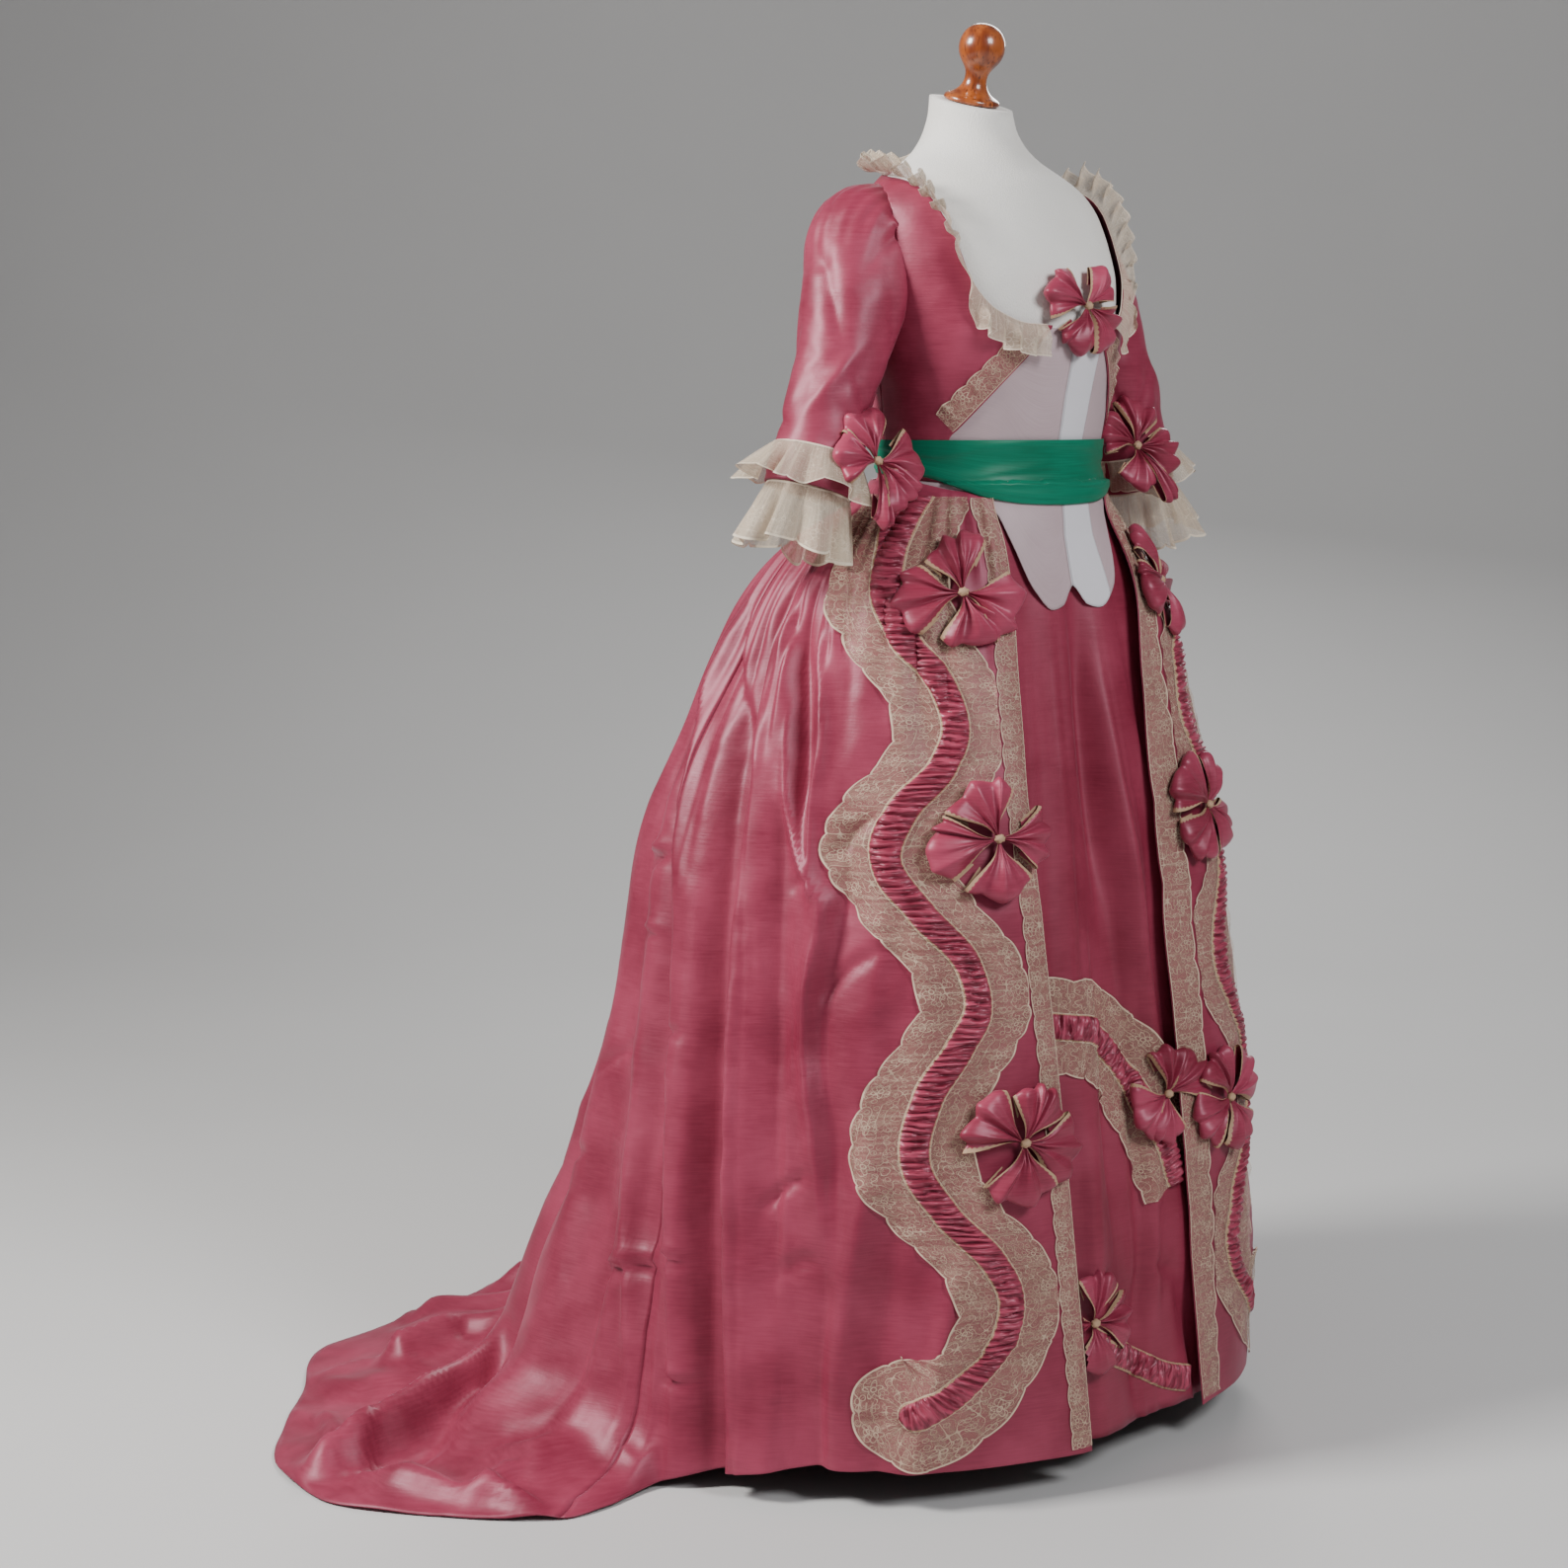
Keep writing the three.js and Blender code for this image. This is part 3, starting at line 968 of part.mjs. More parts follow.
// Chest bow, over the top of the waistcoat.
{
  const chest = (across, up) => {
    const angle = CHEST_BOW.angle + (across * 180) / Math.PI / CHEST_BOW.bend;
    const point = bodyPoint(angle, CHEST_BOW.z + up, BODICE.outer + 1);
    const turn = radians(angle);
    const normal = new THREE.Vector3(Math.sin(turn), -Math.cos(turn), CHEST_BOW.tilt).normalize();
    return { point, normal };
  };
  const core = bodyTube(bodiceHeights.slice(0, 6), BODY_CORE, BODICE.outer + GAP);
  addSolid('bow_chest', bow(chest, BOW_SIZES.chest, CHEST_BOW.spin).subtract(core), TAFFETA);
}

// ---------------------------------------------------------------- sleeves, linings, cuffs and bows

for (const side of ['right', 'left']) {
  const gownSide = slab(gownParts[side], SLEEVE_CLEARANCE);
  const sleeve = sleeveTube(side, sleeveSteps, SLEEVE_WALL.inner, SLEEVE_WALL.outer).subtract(bodyCore);
  const lining = sleeveTube(side, [lastStep - 1, lastStep], SLEEVE_LINING.inner, SLEEVE_LINING.outer);
  const lower = cuffRuffle(side, cuffLowerRows, CUFF_LOWER.thick).subtract(gownSide);
  addSolid(`sleeve_${side}`, sleeve, TAFFETA);
  addSolid(`sleeve_lining_${side}`, lining, LINING);
  addSolid(`cuff_lace_upper_${side}`, cuffRuffle(side, cuffUpperRows, CUFF_UPPER.thick), LACE_CREAM);
  addSolid(`cuff_lace_lower_${side}`, lower, LACE_CREAM);
  // The bow sits on the front of the cuff, over the upper ruffle.
  const f = sleeveFrame(SLEEVE_BOW.step[side]);
  const towards = (turn) => f.across.clone().multiplyScalar(-Math.cos(radians(turn)))
    .addScaledVector(f.forward, Math.sin(radians(turn)));
  const knot = sleevePoint('right', SLEEVE_BOW.step[side], SLEEVE_BOW.turn[side], SLEEVE_BOW.out);
  const face = towards(SLEEVE_BOW.face[side]);
  const normal = face.clone().addScaledVector(f.along, -SLEEVE_BOW.lean).normalize();
  const place = (across, up) => {
    const right = knot.clone().addScaledVector(towards(SLEEVE_BOW.face[side] + 90), across)
      .addScaledVector(f.along, -up).addScaledVector(face, -SLEEVE_BOW.lean * up);
    if (side === 'right') return { point: right, normal };
    return { point: mirrored(right), normal: new THREE.Vector3(-normal.x, normal.y, normal.z) };
  };
  const under = cuffUpperRows.map((row) => ({ ...row, offset: row.offset - SLAB_DEPTH }));
  const laceCover = cuffRuffle(side, under, SLAB_DEPTH + CUFF_UPPER.thick + GAP);
  const core = sleeveCore(side, SLEEVE_WALL.outer + GAP);
  const cuffBow = bow(place, BOW_SIZES.sleeve, SLEEVE_BOW.spin).subtract(core).subtract(laceCover);
  addSolid(`bow_sleeve_${side}`, cuffBow, TAFFETA);
}

// ---------------------------------------------------------------- sash

{
  addSolid('sash', sashWall(), GREEN_SATIN);
  for (const side of ['right', 'left']) {
    const sign = side === 'right' ? 1 : -1;
    const rows = SASH_TAIL.rows.map((row) => ({
      left: { angle: 180 + sign * row.from, z: row.z }, right: { angle: 180 + sign * row.to, z: row.z },
    }));
    const sheet = sheetWall(gownParts.back, trimTop, trimTop + SASH_TAIL.thick);
    addSolid(`sash_tail_${side}`, sheet.intersect(bandBlock(rows)), GREEN_SATIN);
  }
  const atBack = (across, up) => {
    const angle = 180 + (across * 180) / Math.PI / SASH_KNOT.bend;
    const normal = new THREE.Vector3(Math.sin(radians(angle)), -Math.cos(radians(angle)), 0);
    return { point: bodyPoint(angle, SASH_KNOT.z + up, SASH.outer + BOW.sunk), normal };
  };
  const core = bodyTube(SASH_KNOT.cutAt, BODY_CORE, SASH.outer + GAP);
  const knot = bow(atBack, BOW_SIZES.sash, 0, SASH_KNOT.height).subtract(core)
    .subtract(slab(gownParts.back, trimTop + SASH_TAIL.thick + GAP));
  addSolid('sash_knot', knot, GREEN_SATIN);
}

// ---------------------------------------------------------------- neck lace

// The angles of a ruffle: every bend of the neckline, with even steps between them.
function ruffleAngles(from, to) {
  const bends = NECKLINE.flatMap((row) => [row.angle, 360 - row.angle]).sort((a, b) => a - b);
  const stops = [from, ...bends.filter((angle) => angle > from + 1 && angle < to - 1), to];
  return stops.slice(0, -1).flatMap((angle, i) =>
    angleSteps(angle, stops[i + 1], NECK_LACE.step).slice(0, -1)).concat(to);
}

// The middle of the bodice's top edge at an angle, raised clear of it.
function neckEdge(angle, shift) {
  const turn = angle > 180 ? 360 - angle : angle;
  const slope = (necklineAt(turn + 1) - necklineAt(turn - 1)) / NECK_LACE.arc;
  const height = necklineAt(turn) + NECK_LACE.above * Math.hypot(1, slope);
  let at = height;
  let point = bodyPoint(angle, at, shift);
  for (let i = 0; i < 6; i += 1) {
    at += height - point.z;
    point = bodyPoint(angle, at, shift);
  }
  return point;
}

// A ruffle that stands on the neckline and leans outwards.
function neckRuffle(from, to) {
  const angles = ruffleAngles(from, to);
  const middle = (BODICE.inner + BODICE.outer) / 2;
  const grid = (shift) => angles.map((angle, i) => {
    const base = neckEdge(angle, middle + shift);
    const out = new THREE.Vector3(Math.sin(radians(angle)), -Math.cos(radians(angle)), 0);
    const end = i === 0 || i === angles.length - 1;
    const wave = end ? 0 : (i % 2 === 0 ? 1 : -1) * NECK_LACE.wave;
    const free = base.clone().addScaledVector(out, NECK_LACE.wide * NECK_LACE.lean + wave);
    return [base, free.add(new THREE.Vector3(0, 0, NECK_LACE.wide * NECK_LACE.rise))];
  });
  return wall(grid(NECK_LACE.thick / 2), grid(-NECK_LACE.thick / 2));
}
const clearOfNeck = bodicePanel('right', GAP).add(bodicePanel('left', GAP)).add(bodicePanel('back', GAP))
  .add(sleeveCore('right', SLEEVE_WALL.outer + GAP)).add(sleeveCore('left', SLEEVE_WALL.outer + GAP));
for (const part of ['right', 'back', 'left']) {
  const [from, to] = NECK_LACE_SPAN[part];
  addSolid(`neck_lace_${part}`, neckRuffle(from, to).subtract(clearOfNeck), LACE_CREAM);
}

export default group;
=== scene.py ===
"""A robe a l'anglaise on a limbless dress form: silk gown with a train, petticoat, waistcoat and laces.

Lengths are millimetres until a mesh is made, heights are z values, and an angle is measured around the
vertical in degrees: 0 is the front (-Y), +90 the wearer's left (+X) and 180 the back. The sizes below
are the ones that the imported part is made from, so every cloth lies on its own solid.
"""
import logging
import math
from collections.abc import Callable, Sequence
from dataclasses import dataclass, field
from enum import Enum
from functools import lru_cache
from typing import Protocol

import bmesh
import bpy
import numpy as np
from mathutils import Matrix, Vector


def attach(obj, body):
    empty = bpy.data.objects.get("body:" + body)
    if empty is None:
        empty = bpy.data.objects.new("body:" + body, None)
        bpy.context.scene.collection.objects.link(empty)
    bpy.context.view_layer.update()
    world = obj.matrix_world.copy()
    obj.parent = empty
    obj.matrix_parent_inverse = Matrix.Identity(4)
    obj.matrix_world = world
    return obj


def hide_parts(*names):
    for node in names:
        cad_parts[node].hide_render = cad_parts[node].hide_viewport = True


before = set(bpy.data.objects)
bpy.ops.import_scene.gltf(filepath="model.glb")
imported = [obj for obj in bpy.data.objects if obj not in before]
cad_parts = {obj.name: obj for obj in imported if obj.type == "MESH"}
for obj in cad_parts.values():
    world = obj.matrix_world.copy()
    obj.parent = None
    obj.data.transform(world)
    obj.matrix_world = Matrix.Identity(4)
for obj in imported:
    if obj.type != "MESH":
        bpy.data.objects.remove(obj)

log = logging.getLogger("robe")
MM = 0.001
TAU = 2 * math.pi
Array = np.ndarray
Colour = tuple[float, float, float]
Shape = Callable[[Array, Array], Array]
Place = Callable[[Array, Array], tuple[Array, Array]]
Points = tuple[tuple[float, float], ...]
Material = bpy.types.Material


class Side(Enum):
    """A side of the wearer, with the sign of its angles."""

    RIGHT = -1
    LEFT = 1

    @property
    def word(self) -> str:
        """The side's name in piece and node names."""
        return self.name.lower()


class Held(Enum):
    """How a sheet of cloth is held."""

    GATHERED = "gathered"
    HUNG = "hung"
    STRETCHED = "stretched"
    FOLDED = "folded"


# ---------------------------------------------------------------- curves and noise

CELLS = 64


@lru_cache(maxsize=None)
def curve_parts(points: Points) -> tuple[Array, Array, Array]:
    """Keys, values and slopes of a smooth curve that never overshoots its points.

    Args:
        points: pairs of key and value, in rising order of key.

    Returns:
        The keys, the values, and a slope for each point.
    """
    keys = np.array([point[0] for point in points], float)
    values = np.array([point[1] for point in points], float)
    steps = np.diff(keys)
    grades = np.diff(values) / steps
    slopes = np.zeros_like(values)
    slopes[0] = grades[0]
    slopes[-1] = grades[-1]
    before = grades[:-1]
    after = grades[1:]
    same = before * after > 0
    left = 2 * steps[1:] + steps[:-1]
    right = steps[1:] + 2 * steps[:-1]
    safe_before = np.where(same, before, 1.0)
    safe_after = np.where(same, after, 1.0)
    middle = (left + right) / (left / safe_before + right / safe_after)
    slopes[1:-1] = np.where(same, middle, 0.0)
    return keys, values, slopes


@dataclass(frozen=True)
class Curve:
    """A smooth curve through a few points."""

    points: Points

    def __call__(self, at: Array) -> Array:
        """Read the curve.

        Args:
            at: keys; beyond the ends the end values hold.

        Returns:
            A value for each key.
        """
        keys, values, slopes = curve_parts(self.points)
        at = np.clip(np.asarray(at, float), keys[0], keys[-1])
        low = np.clip(np.searchsorted(keys, at, side="right") - 1, 0, len(keys) - 2)
        step = keys[low + 1] - keys[low]
        t = (at - keys[low]) / step
        start = (1 + 2 * t) * (1 - t) ** 2 * values[low] + t * (1 - t) ** 2 * step * slopes[low]
        end = t * t * (3 - 2 * t) * values[low + 1] + t * t * (t - 1) * step * slopes[low + 1]
        return start + end


def curve(*points: tuple[float, float]) -> Curve:
    """A smooth curve through the given pairs, in any order of key."""
    return Curve(tuple(sorted(points)))


@lru_cache(maxsize=None)
def lattice(seed: int) -> Array:
    """A seeded square of numbers from -1 to 1 for the noise."""
    return np.random.default_rng(seed).uniform(-1.0, 1.0, (CELLS, CELLS))


def ripple(seed: int, x: Array, y: Array) -> Array:
    """Smooth noise over a plane.

    Args:
        seed: picks the pattern.
        x: first coordinate, one cell for each unit.
        y: second coordinate.

    Returns:
        A number from -1 to 1 for each place.
    """
    table = lattice(seed)
    x, y = np.broadcast_arrays(np.asarray(x, float), np.asarray(y, float))
    column = np.floor(x).astype(int)
    row = np.floor(y).astype(int)
    across = ease(x - column)
    up = ease(y - row)
    here = table[column % CELLS, row % CELLS] * (1 - across)
    here += table[(column + 1) % CELLS, row % CELLS] * across
    above = table[column % CELLS, (row + 1) % CELLS] * (1 - across)
    above += table[(column + 1) % CELLS, (row + 1) % CELLS] * across
    return here * (1 - up) + above * up


def ease(t: Array) -> Array:
    """A smooth step of a share from 0 to 1."""
    t = np.clip(t, 0.0, 1.0)
    return t * t * t * (t * (6 * t - 15) + 10)


def mix(low: Array, high: Array, share: Array) -> Array:
    """The value at a share of the way from one to another."""
    return low + (high - low) * share


def highest(first: Array, second: Array, soft: float = 3.0) -> Array:
    """The larger of two, with a rounded corner between them."""
    return (first + second + np.sqrt((first - second) ** 2 + soft * soft) - soft) / 2


def around(angle: Array, radius: Array, z: Array) -> Array:
    """The point at an angle, a distance from the axis and a height."""
    turn = np.radians(angle)
    return np.stack(np.broadcast_arrays(radius * np.sin(turn), -radius * np.cos(turn), z), axis=-1)


def unit(vectors: Array) -> Array:
    """Vectors of length one in the same directions."""
    return vectors / np.maximum(np.linalg.norm(vectors, axis=-1, keepdims=True), 1e-9)


def running(steps: Array) -> Array:
    """The distance run before and after each step."""
    return np.concatenate([[0.0], np.cumsum(steps)])


def leaning(x: Array, y: Array, slant: float) -> tuple[Array, Array]:
    """Distances along and across a line that leans from the vertical by a slant in degrees."""
    lean = math.radians(slant)
    return x * math.sin(lean) + y * math.cos(lean), x * math.cos(lean) - y * math.sin(lean)


def signed_angle(angle: Array) -> Array:
    """The same direction as an angle from 0 down to -360, as the gown counts it."""
    return np.where(angle > 0, angle - 360.0, angle)


def from_front(angle: Array) -> Array:
    """Size of an angle from the front, whichever side it is on."""
    return np.minimum(angle % 360.0, 360.0 - angle % 360.0)


# ---------------------------------------------------------------- the form's and the skirts' surfaces

WAIST = 1070.0
FORM_FOOT = 880.0
FORM_TOP = 1495.0
FLARE_TOP = 266.0
BODY_WIDTH = curve((880, 150), (960, 153), (1040, 137), (1070, 134), (1150, 141), (1240, 154), (1290, 158),
                   (1335, 160), (1365, 157), (1387, 145.5), (1404, 127), (1420, 103), (1436, 76),
                   (1455, 58), (1475, 50), (1495, 47))
BODY_FRONT = curve((880, 110), (960, 107), (1040, 102), (1070, 101), (1150, 113), (1240, 130), (1290, 127),
                   (1335, 110), (1365, 94), (1387, 81), (1404, 68.5), (1420, 55), (1436, 44), (1455, 32),
                   (1475, 22), (1495, 17))
BODY_BACK = curve((880, 125), (960, 123), (1040, 103), (1070, 98), (1150, 103), (1240, 113), (1290, 117),
                  (1335, 116.5), (1365, 112), (1387, 105), (1404, 97.5), (1420, 90), (1436, 86),
                  (1455, 82), (1475, 78), (1495, 77))
BODY_TILT = curve((880, 0), (1387, 0), (1404, 1), (1420, 4), (1436, 8), (1455, 12), (1475, 15), (1495, 16))
SKIRT_HEIGHTS = (20, 150, 330, 480, 655, 800, 870, 950, 1000, 1045, 1070)
SKIRT_RADII = (
    (510, 552, 455, 350, 285, 305, 370, 460), (480, 528, 432, 338, 265, 305, 365, 440),
    (440, 480, 402, 318, 238, 298, 355, 410), (405, 440, 375, 295, 215, 282, 342, 385),
    (365, 408, 340, 262, 188, 258, 322, 350), (315, 345, 300, 225, 165, 228, 290, 310),
    (285, 315, 275, 205, 155, 207, 268, 285), (240, 270, 240, 182, 143, 182, 235, 245),
    (195, 225, 205, 162, 132, 158, 200, 205), (140, 155, 165, 136, 121, 134, 163, 150),
    (110, 126, 142, 127, 113, 127, 142, 126),
)
FOLD_DEPTH = curve((20, 26), (330, 24), (655, 20), (870, 16), (1000, 9), (1045, 3), (1070, 0))
HEM_HEIGHT = curve((-285, 42), (-260, 20), (-248, 7), (-97, 6), (-87, 24), (-72, 42))
NECKLINE = curve((0, 1240), (28, 1242), (43, 1256), (52, 1282), (56, 1308), (58, 1335), (62, 1358),
                 (70, 1386), (85, 1402), (110, 1409), (140, 1416), (180, 1420))
BODICE_OUT = 7.5
PETTICOAT_OUT = 3.8
WAISTCOAT_OUT = 5.55


def body_point(angle: Array, z: Array, offset: Array) -> Array:
    """A point of a layer on the body: the form's section at a height, widened by an offset."""
    at = np.maximum(z, FORM_FOOT)
    front = BODY_FRONT(at)
    back = BODY_BACK(at)
    sine = np.sin(np.radians(angle))
    cosine = np.cos(np.radians(angle))
    radius = 1 / np.hypot(sine / (BODY_WIDTH(at) + offset), cosine / ((front + back) / 2 + offset))
    y = -radius * cosine
    height = z + y * np.tan(np.radians(BODY_TILT(at)))
    return np.stack(np.broadcast_arrays(radius * sine, y + (back - front) / 2, height), axis=-1)


@lru_cache(maxsize=None)
def skirt_table() -> Array:
    """The skirt's radius in eight directions for every millimetre of height."""
    heights = np.arange(0.0, 1101.0)
    columns = [curve(*zip(SKIRT_HEIGHTS, column))(heights) for column in zip(*SKIRT_RADII)]
    return np.stack(columns, axis=-1)


def skirt_radius(angle: Array, z: Array) -> Array:
    """The skirt's smooth radius at an angle and a height, without folds."""
    angle, z = np.broadcast_arrays(np.asarray(angle, float), np.asarray(z, float))
    table = skirt_table()
    place = ((angle + 180.0) % 360.0) / 45.0
    first = np.floor(place).astype(int) % 8
    t = place - np.floor(place)
    level = np.clip(z, 0.0, 1099.0)
    low = level.astype(int)
    share = level - low
    columns = [(first + step) % 8 for step in (7, 0, 1, 2)]
    ring = [mix(table[low, column], table[low + 1, column], share) for column in columns]
    bend = (2 * ring[0] - 5 * ring[1] + 4 * ring[2] - ring[3]) * t * t
    bend += (3 * ring[1] - ring[0] - 3 * ring[2] + ring[3]) * t**3
    return 0.5 * (2 * ring[1] + (ring[2] - ring[0]) * t + bend)


def petticoat_radius(angle: Array, z: Array) -> Array:
    """Radius of the petticoat's outer face, without folds."""
    turn = np.abs((np.asarray(angle) + 540.0) % 360.0 - 180.0)
    below = np.clip((WAIST - z) / 60.0, 0.0, 1.0)
    hidden = np.clip((turn - 45.0) / 25.0, 0.0, 1.0)
    return skirt_radius(angle, z) - below * 10.0 - hidden * FOLD_DEPTH(z)


def flat_radius(points: Array) -> Array:
    """Distance of points from the vertical axis."""
    return np.hypot(points[..., 0], points[..., 1])


def layer_point(angle: Array, z: Array, offset: Array) -> Array:
    """A point of a layer that goes on from the body over the petticoat, below the waist."""
    upper = body_point(angle, z, offset)
    at_waist = body_point(angle, WAIST, offset)
    spread = petticoat_radius(angle, np.minimum(z, WAIST)) + offset - PETTICOAT_OUT
    lower = around(angle, np.maximum(flat_radius(at_waist), spread), z)
    return np.where((np.asarray(z) >= WAIST)[..., None], upper, lower)


# ---------------------------------------------------------------- the gown's cloth


@dataclass(frozen=True)
class Crease:
    """A soft ridge or trough, placed one by one.

    Its middle is at an angle and a height. Length and width are along and across it, depth is how far
    it stands out (or in, when negative), slant leans it from the vertical and bend curves it.
    """

    angle: float
    z: float
    length: float
    width: float
    depth: float
    slant: float = 0.0
    bend: float = 0.0

    def at(self, angle: Array, z: Array, radius: Array) -> Array:
        """How far the crease moves the cloth at a place."""
        along, across = leaning(np.radians(angle - self.angle) * radius, z - self.z, self.slant)
        share = along / self.length
        across = across - self.bend * share * share
        return self.depth * np.exp(-((across / self.width) ** 2)) * np.exp(-((1.35 * share) ** 4))


@dataclass(frozen=True)
class FoldLine:
    """A long fold of the gown, with its angle and its depth at each height.

    Its two sides have their own widths, so one of them can be a crisp edge.
    """

    angle: Curve
    depth: Curve
    before: float
    after: float

    def at(self, angle: Array, z: Array, radius: Array) -> Array:
        """How far the fold moves the cloth at a place, and at the same place on the other side."""
        moved = np.zeros_like(z)
        for place, share in ((angle, 1.0), (-357.0 - angle, 0.85)):
            across = np.radians(place - self.angle(z)) * radius
            width = np.where(across > 0, self.after, self.before)
            moved = moved + share * self.depth(z) * np.exp(-np.abs(across / width) ** 1.5)
        return moved


# Long folds of the gown's sides, from the waist down: troughs first, then ridges.
FOLD_LINES = (
    FoldLine(curve((40, -86.5), (133, -88.4), (230, -90.4), (328, -92.1), (428, -93.8), (529, -95.9),
                   (632, -97.2), (768, -101.9), (836, -108.9), (940, -124)),
             curve((40, -13), (300, -19), (700, -16), (850, -11), (980, 0)), 24, 9),
    FoldLine(curve((330, -72), (391, -73), (520, -75.9), (581, -75.3), (641, -73.7), (760, -76)),
             curve((300, 0), (400, -10), (600, -13), (680, -8), (780, 0)), 9, 20),
    FoldLine(curve((700, -85), (740, -86.4), (781, -88), (843, -91.5), (904, -96.8), (960, -102)),
             curve((690, 0), (760, -14), (860, -16), (940, -8), (1000, 0)), 7, 12),
    FoldLine(curve((10, -109), (140, -109.8), (199, -110.2), (300, -112), (420, -115)),
             curve((10, -16), (150, -18), (280, -10), (430, 0)), 26, 14),
    FoldLine(curve((61, -82.7), (236, -84.7), (433, -87.9), (634, -92.8), (736, -97.3), (838, -104.6),
                   (939, -125.8)),
             curve((50, -1.6), (800, -1.6), (960, 0)), 2.6, 2.6),
    FoldLine(curve((60, -84.4), (185, -86.1), (382, -88.6), (582, -93.6), (700, -97), (820, -104)),
             curve((50, 10), (400, 13), (620, 10), (850, 0)), 7, 13),
    FoldLine(curve((60, -93), (180, -96), (290, -98.9), (398, -102.3), (478, -105), (560, -107.7),
                   (633, -109.4), (694, -112.3), (768, -115.2), (841, -120.4), (940, -132)),
             curve((60, 2), (300, 10), (700, 13), (900, 8), (1000, 0)), 3.5, 26),
    FoldLine(curve((240, -70), (332, -72.8), (391, -74.6), (440, -76.3), (479, -77.8), (519, -78),
                   (560, -77.6), (600, -76.6), (626, -76.9), (650, -80.1), (689, -84.7), (739, -88.7),
                   (780, -90.3), (842, -93), (930, -99)),
             curve((220, 0), (330, 8), (480, 13), (640, 16), (800, 14), (900, 8), (980, 0)), 13, 7),
    FoldLine(curve((640, -78.6), (690, -81.3), (736, -82.4), (783, -82), (844, -84.6), (940, -92)),
             curve((630, 0), (690, 8), (830, 10), (960, 0)), 8, 7),
    FoldLine(curve((46, -99.6), (112, -101.8), (179, -104.3), (255, -107.2), (340, -110)),
             curve((40, 11), (200, 13), (360, 0)), 11, 13),
    FoldLine(curve((147, -69), (215, -68.1), (284, -66.7), (344, -65.3), (522, -66.4), (642, -65.3),
                   (760, -68)),
             curve((60, 0), (200, 10), (340, 10), (440, 1), (560, 6), (700, 5), (780, 0)), 16, 14),
    FoldLine(curve((40, -56.5), (78, -55.4), (146, -52.9), (204, -51), (300, -48)),
             curve((40, 5), (140, 10), (300, 0)), 13, 16),
    FoldLine(curve((30, -78), (300, -79), (520, -82)), curve((20, 10), (250, 9), (480, 0)), 20, 26),
    FoldLine(curve((30, -71.5), (300, -71.5), (500, -70)), curve((20, -10), (250, -9), (450, 0)), 18, 18),
    FoldLine(curve((30, -104), (300, -106.5), (460, -108)),
             curve((20, -10), (250, -10), (400, -3), (480, 0)), 20, 20),
    FoldLine(curve((30, -62.5), (250, -61.5), (400, -60)), curve((20, -8), (200, -7), (380, 0)), 18, 22),
    FoldLine(curve((30, -123.5), (133, -124.6), (260, -128), (400, -131), (560, -134)),
             curve((20, 13), (200, 14), (420, 10), (600, 0)), 12, 18),
)

# Shorter creases: angle, height, half length, width, depth, slant and bend.
GOWN_CREASES = (
    Crease(-118.0, 650, 34, 6, -10.5, 76, 6), Crease(-119.5, 662, 34, 8, 7.5, 76, 6),
    Crease(-117.0, 566, 42, 4, -7.5, 84), Crease(-116.0, 574, 40, 7, 4.5, 84),
    Crease(-82.4, 647, 26, 4.5, -7.5, 74), Crease(-107.0, 207, 52, 6, -13.5, 66, 8),
    Crease(-106.0, 219, 50, 9, 9, 66, 8), Crease(-97.5, 235, 26, 4, -9, 82),
    Crease(-97.0, 242, 24, 6, 6, 82), Crease(-93.4, 111, 24, 4, -9, 80), Crease(-93.0, 118, 22, 6, 6, 80),
    Crease(-101.0, 840, 120, 9, 7.5, -20), Crease(-113.0, 730, 150, 12, 9, -14),
    Crease(-74.0, 700, 44, 7, -7.5, 40, 12), Crease(-71.5, 560, 60, 6, -6, 50, 10),
    Crease(-79.5, 330, 46, 5, -7.5, 52, 10), Crease(-77.0, 250, 40, 5, -6, 64, 8),
    Crease(-90.5, 300, 20, 4, -6, 70), Crease(-104.5, 470, 30, 5, -6, 72, 6),
    Crease(-122.0, 420, 46, 7, -7.5, 60, 8), Crease(-126.0, 300, 40, 6, -7.5, 70),
    Crease(-62.0, 840, 90, 12, -6, -14), Crease(-57.0, 560, 120, 18, 6, -5),
    Crease(-84.5, 930, 60, 7, -9, -18), Crease(-90.0, 950, 60, 6, 7.5, -20),
    Crease(-72.0, 940, 56, 7, 6, -12), Crease(-140.0, 500, 220, 14, -12, -6),
    Crease(-152.0, 700, 190, 12, 10.5, -5), Crease(-163.0, 380, 210, 15, 12, 3),
    Crease(-172.0, 640, 150, 11, -12, 4, 10), Crease(-181.0, 450, 230, 14, 10.5, 3),
    Crease(-193.0, 560, 210, 12, -12, 3), Crease(-205.0, 360, 200, 14, 10.5, -3),
    Crease(-214.0, 660, 160, 11, -10.5, 8), Crease(-226.0, 420, 220, 15, 12, 4),
    Crease(-238.0, 620, 180, 12, -10.5, 7), Crease(-243.0, 560, 42, 5, -7.5, -78, 6),
    Crease(-201.0, 520, 40, 5, -7.5, 74, 6), Crease(-160.0, 560, 44, 5, -7.5, -72),
    Crease(-252.0, 250, 44, 6, -9, -70, 8), Crease(-146.0, 900, 90, 8, -7.5, -10),
    Crease(-185.0, 890, 100, 8, 7.5, 2), Crease(-229.0, 900, 90, 8, -7.5, 9),
    Crease(-288.0, 480, 150, 16, 7.5, 5), Crease(-281.0, 640, 60, 6, -7.5, -60, 8),
)


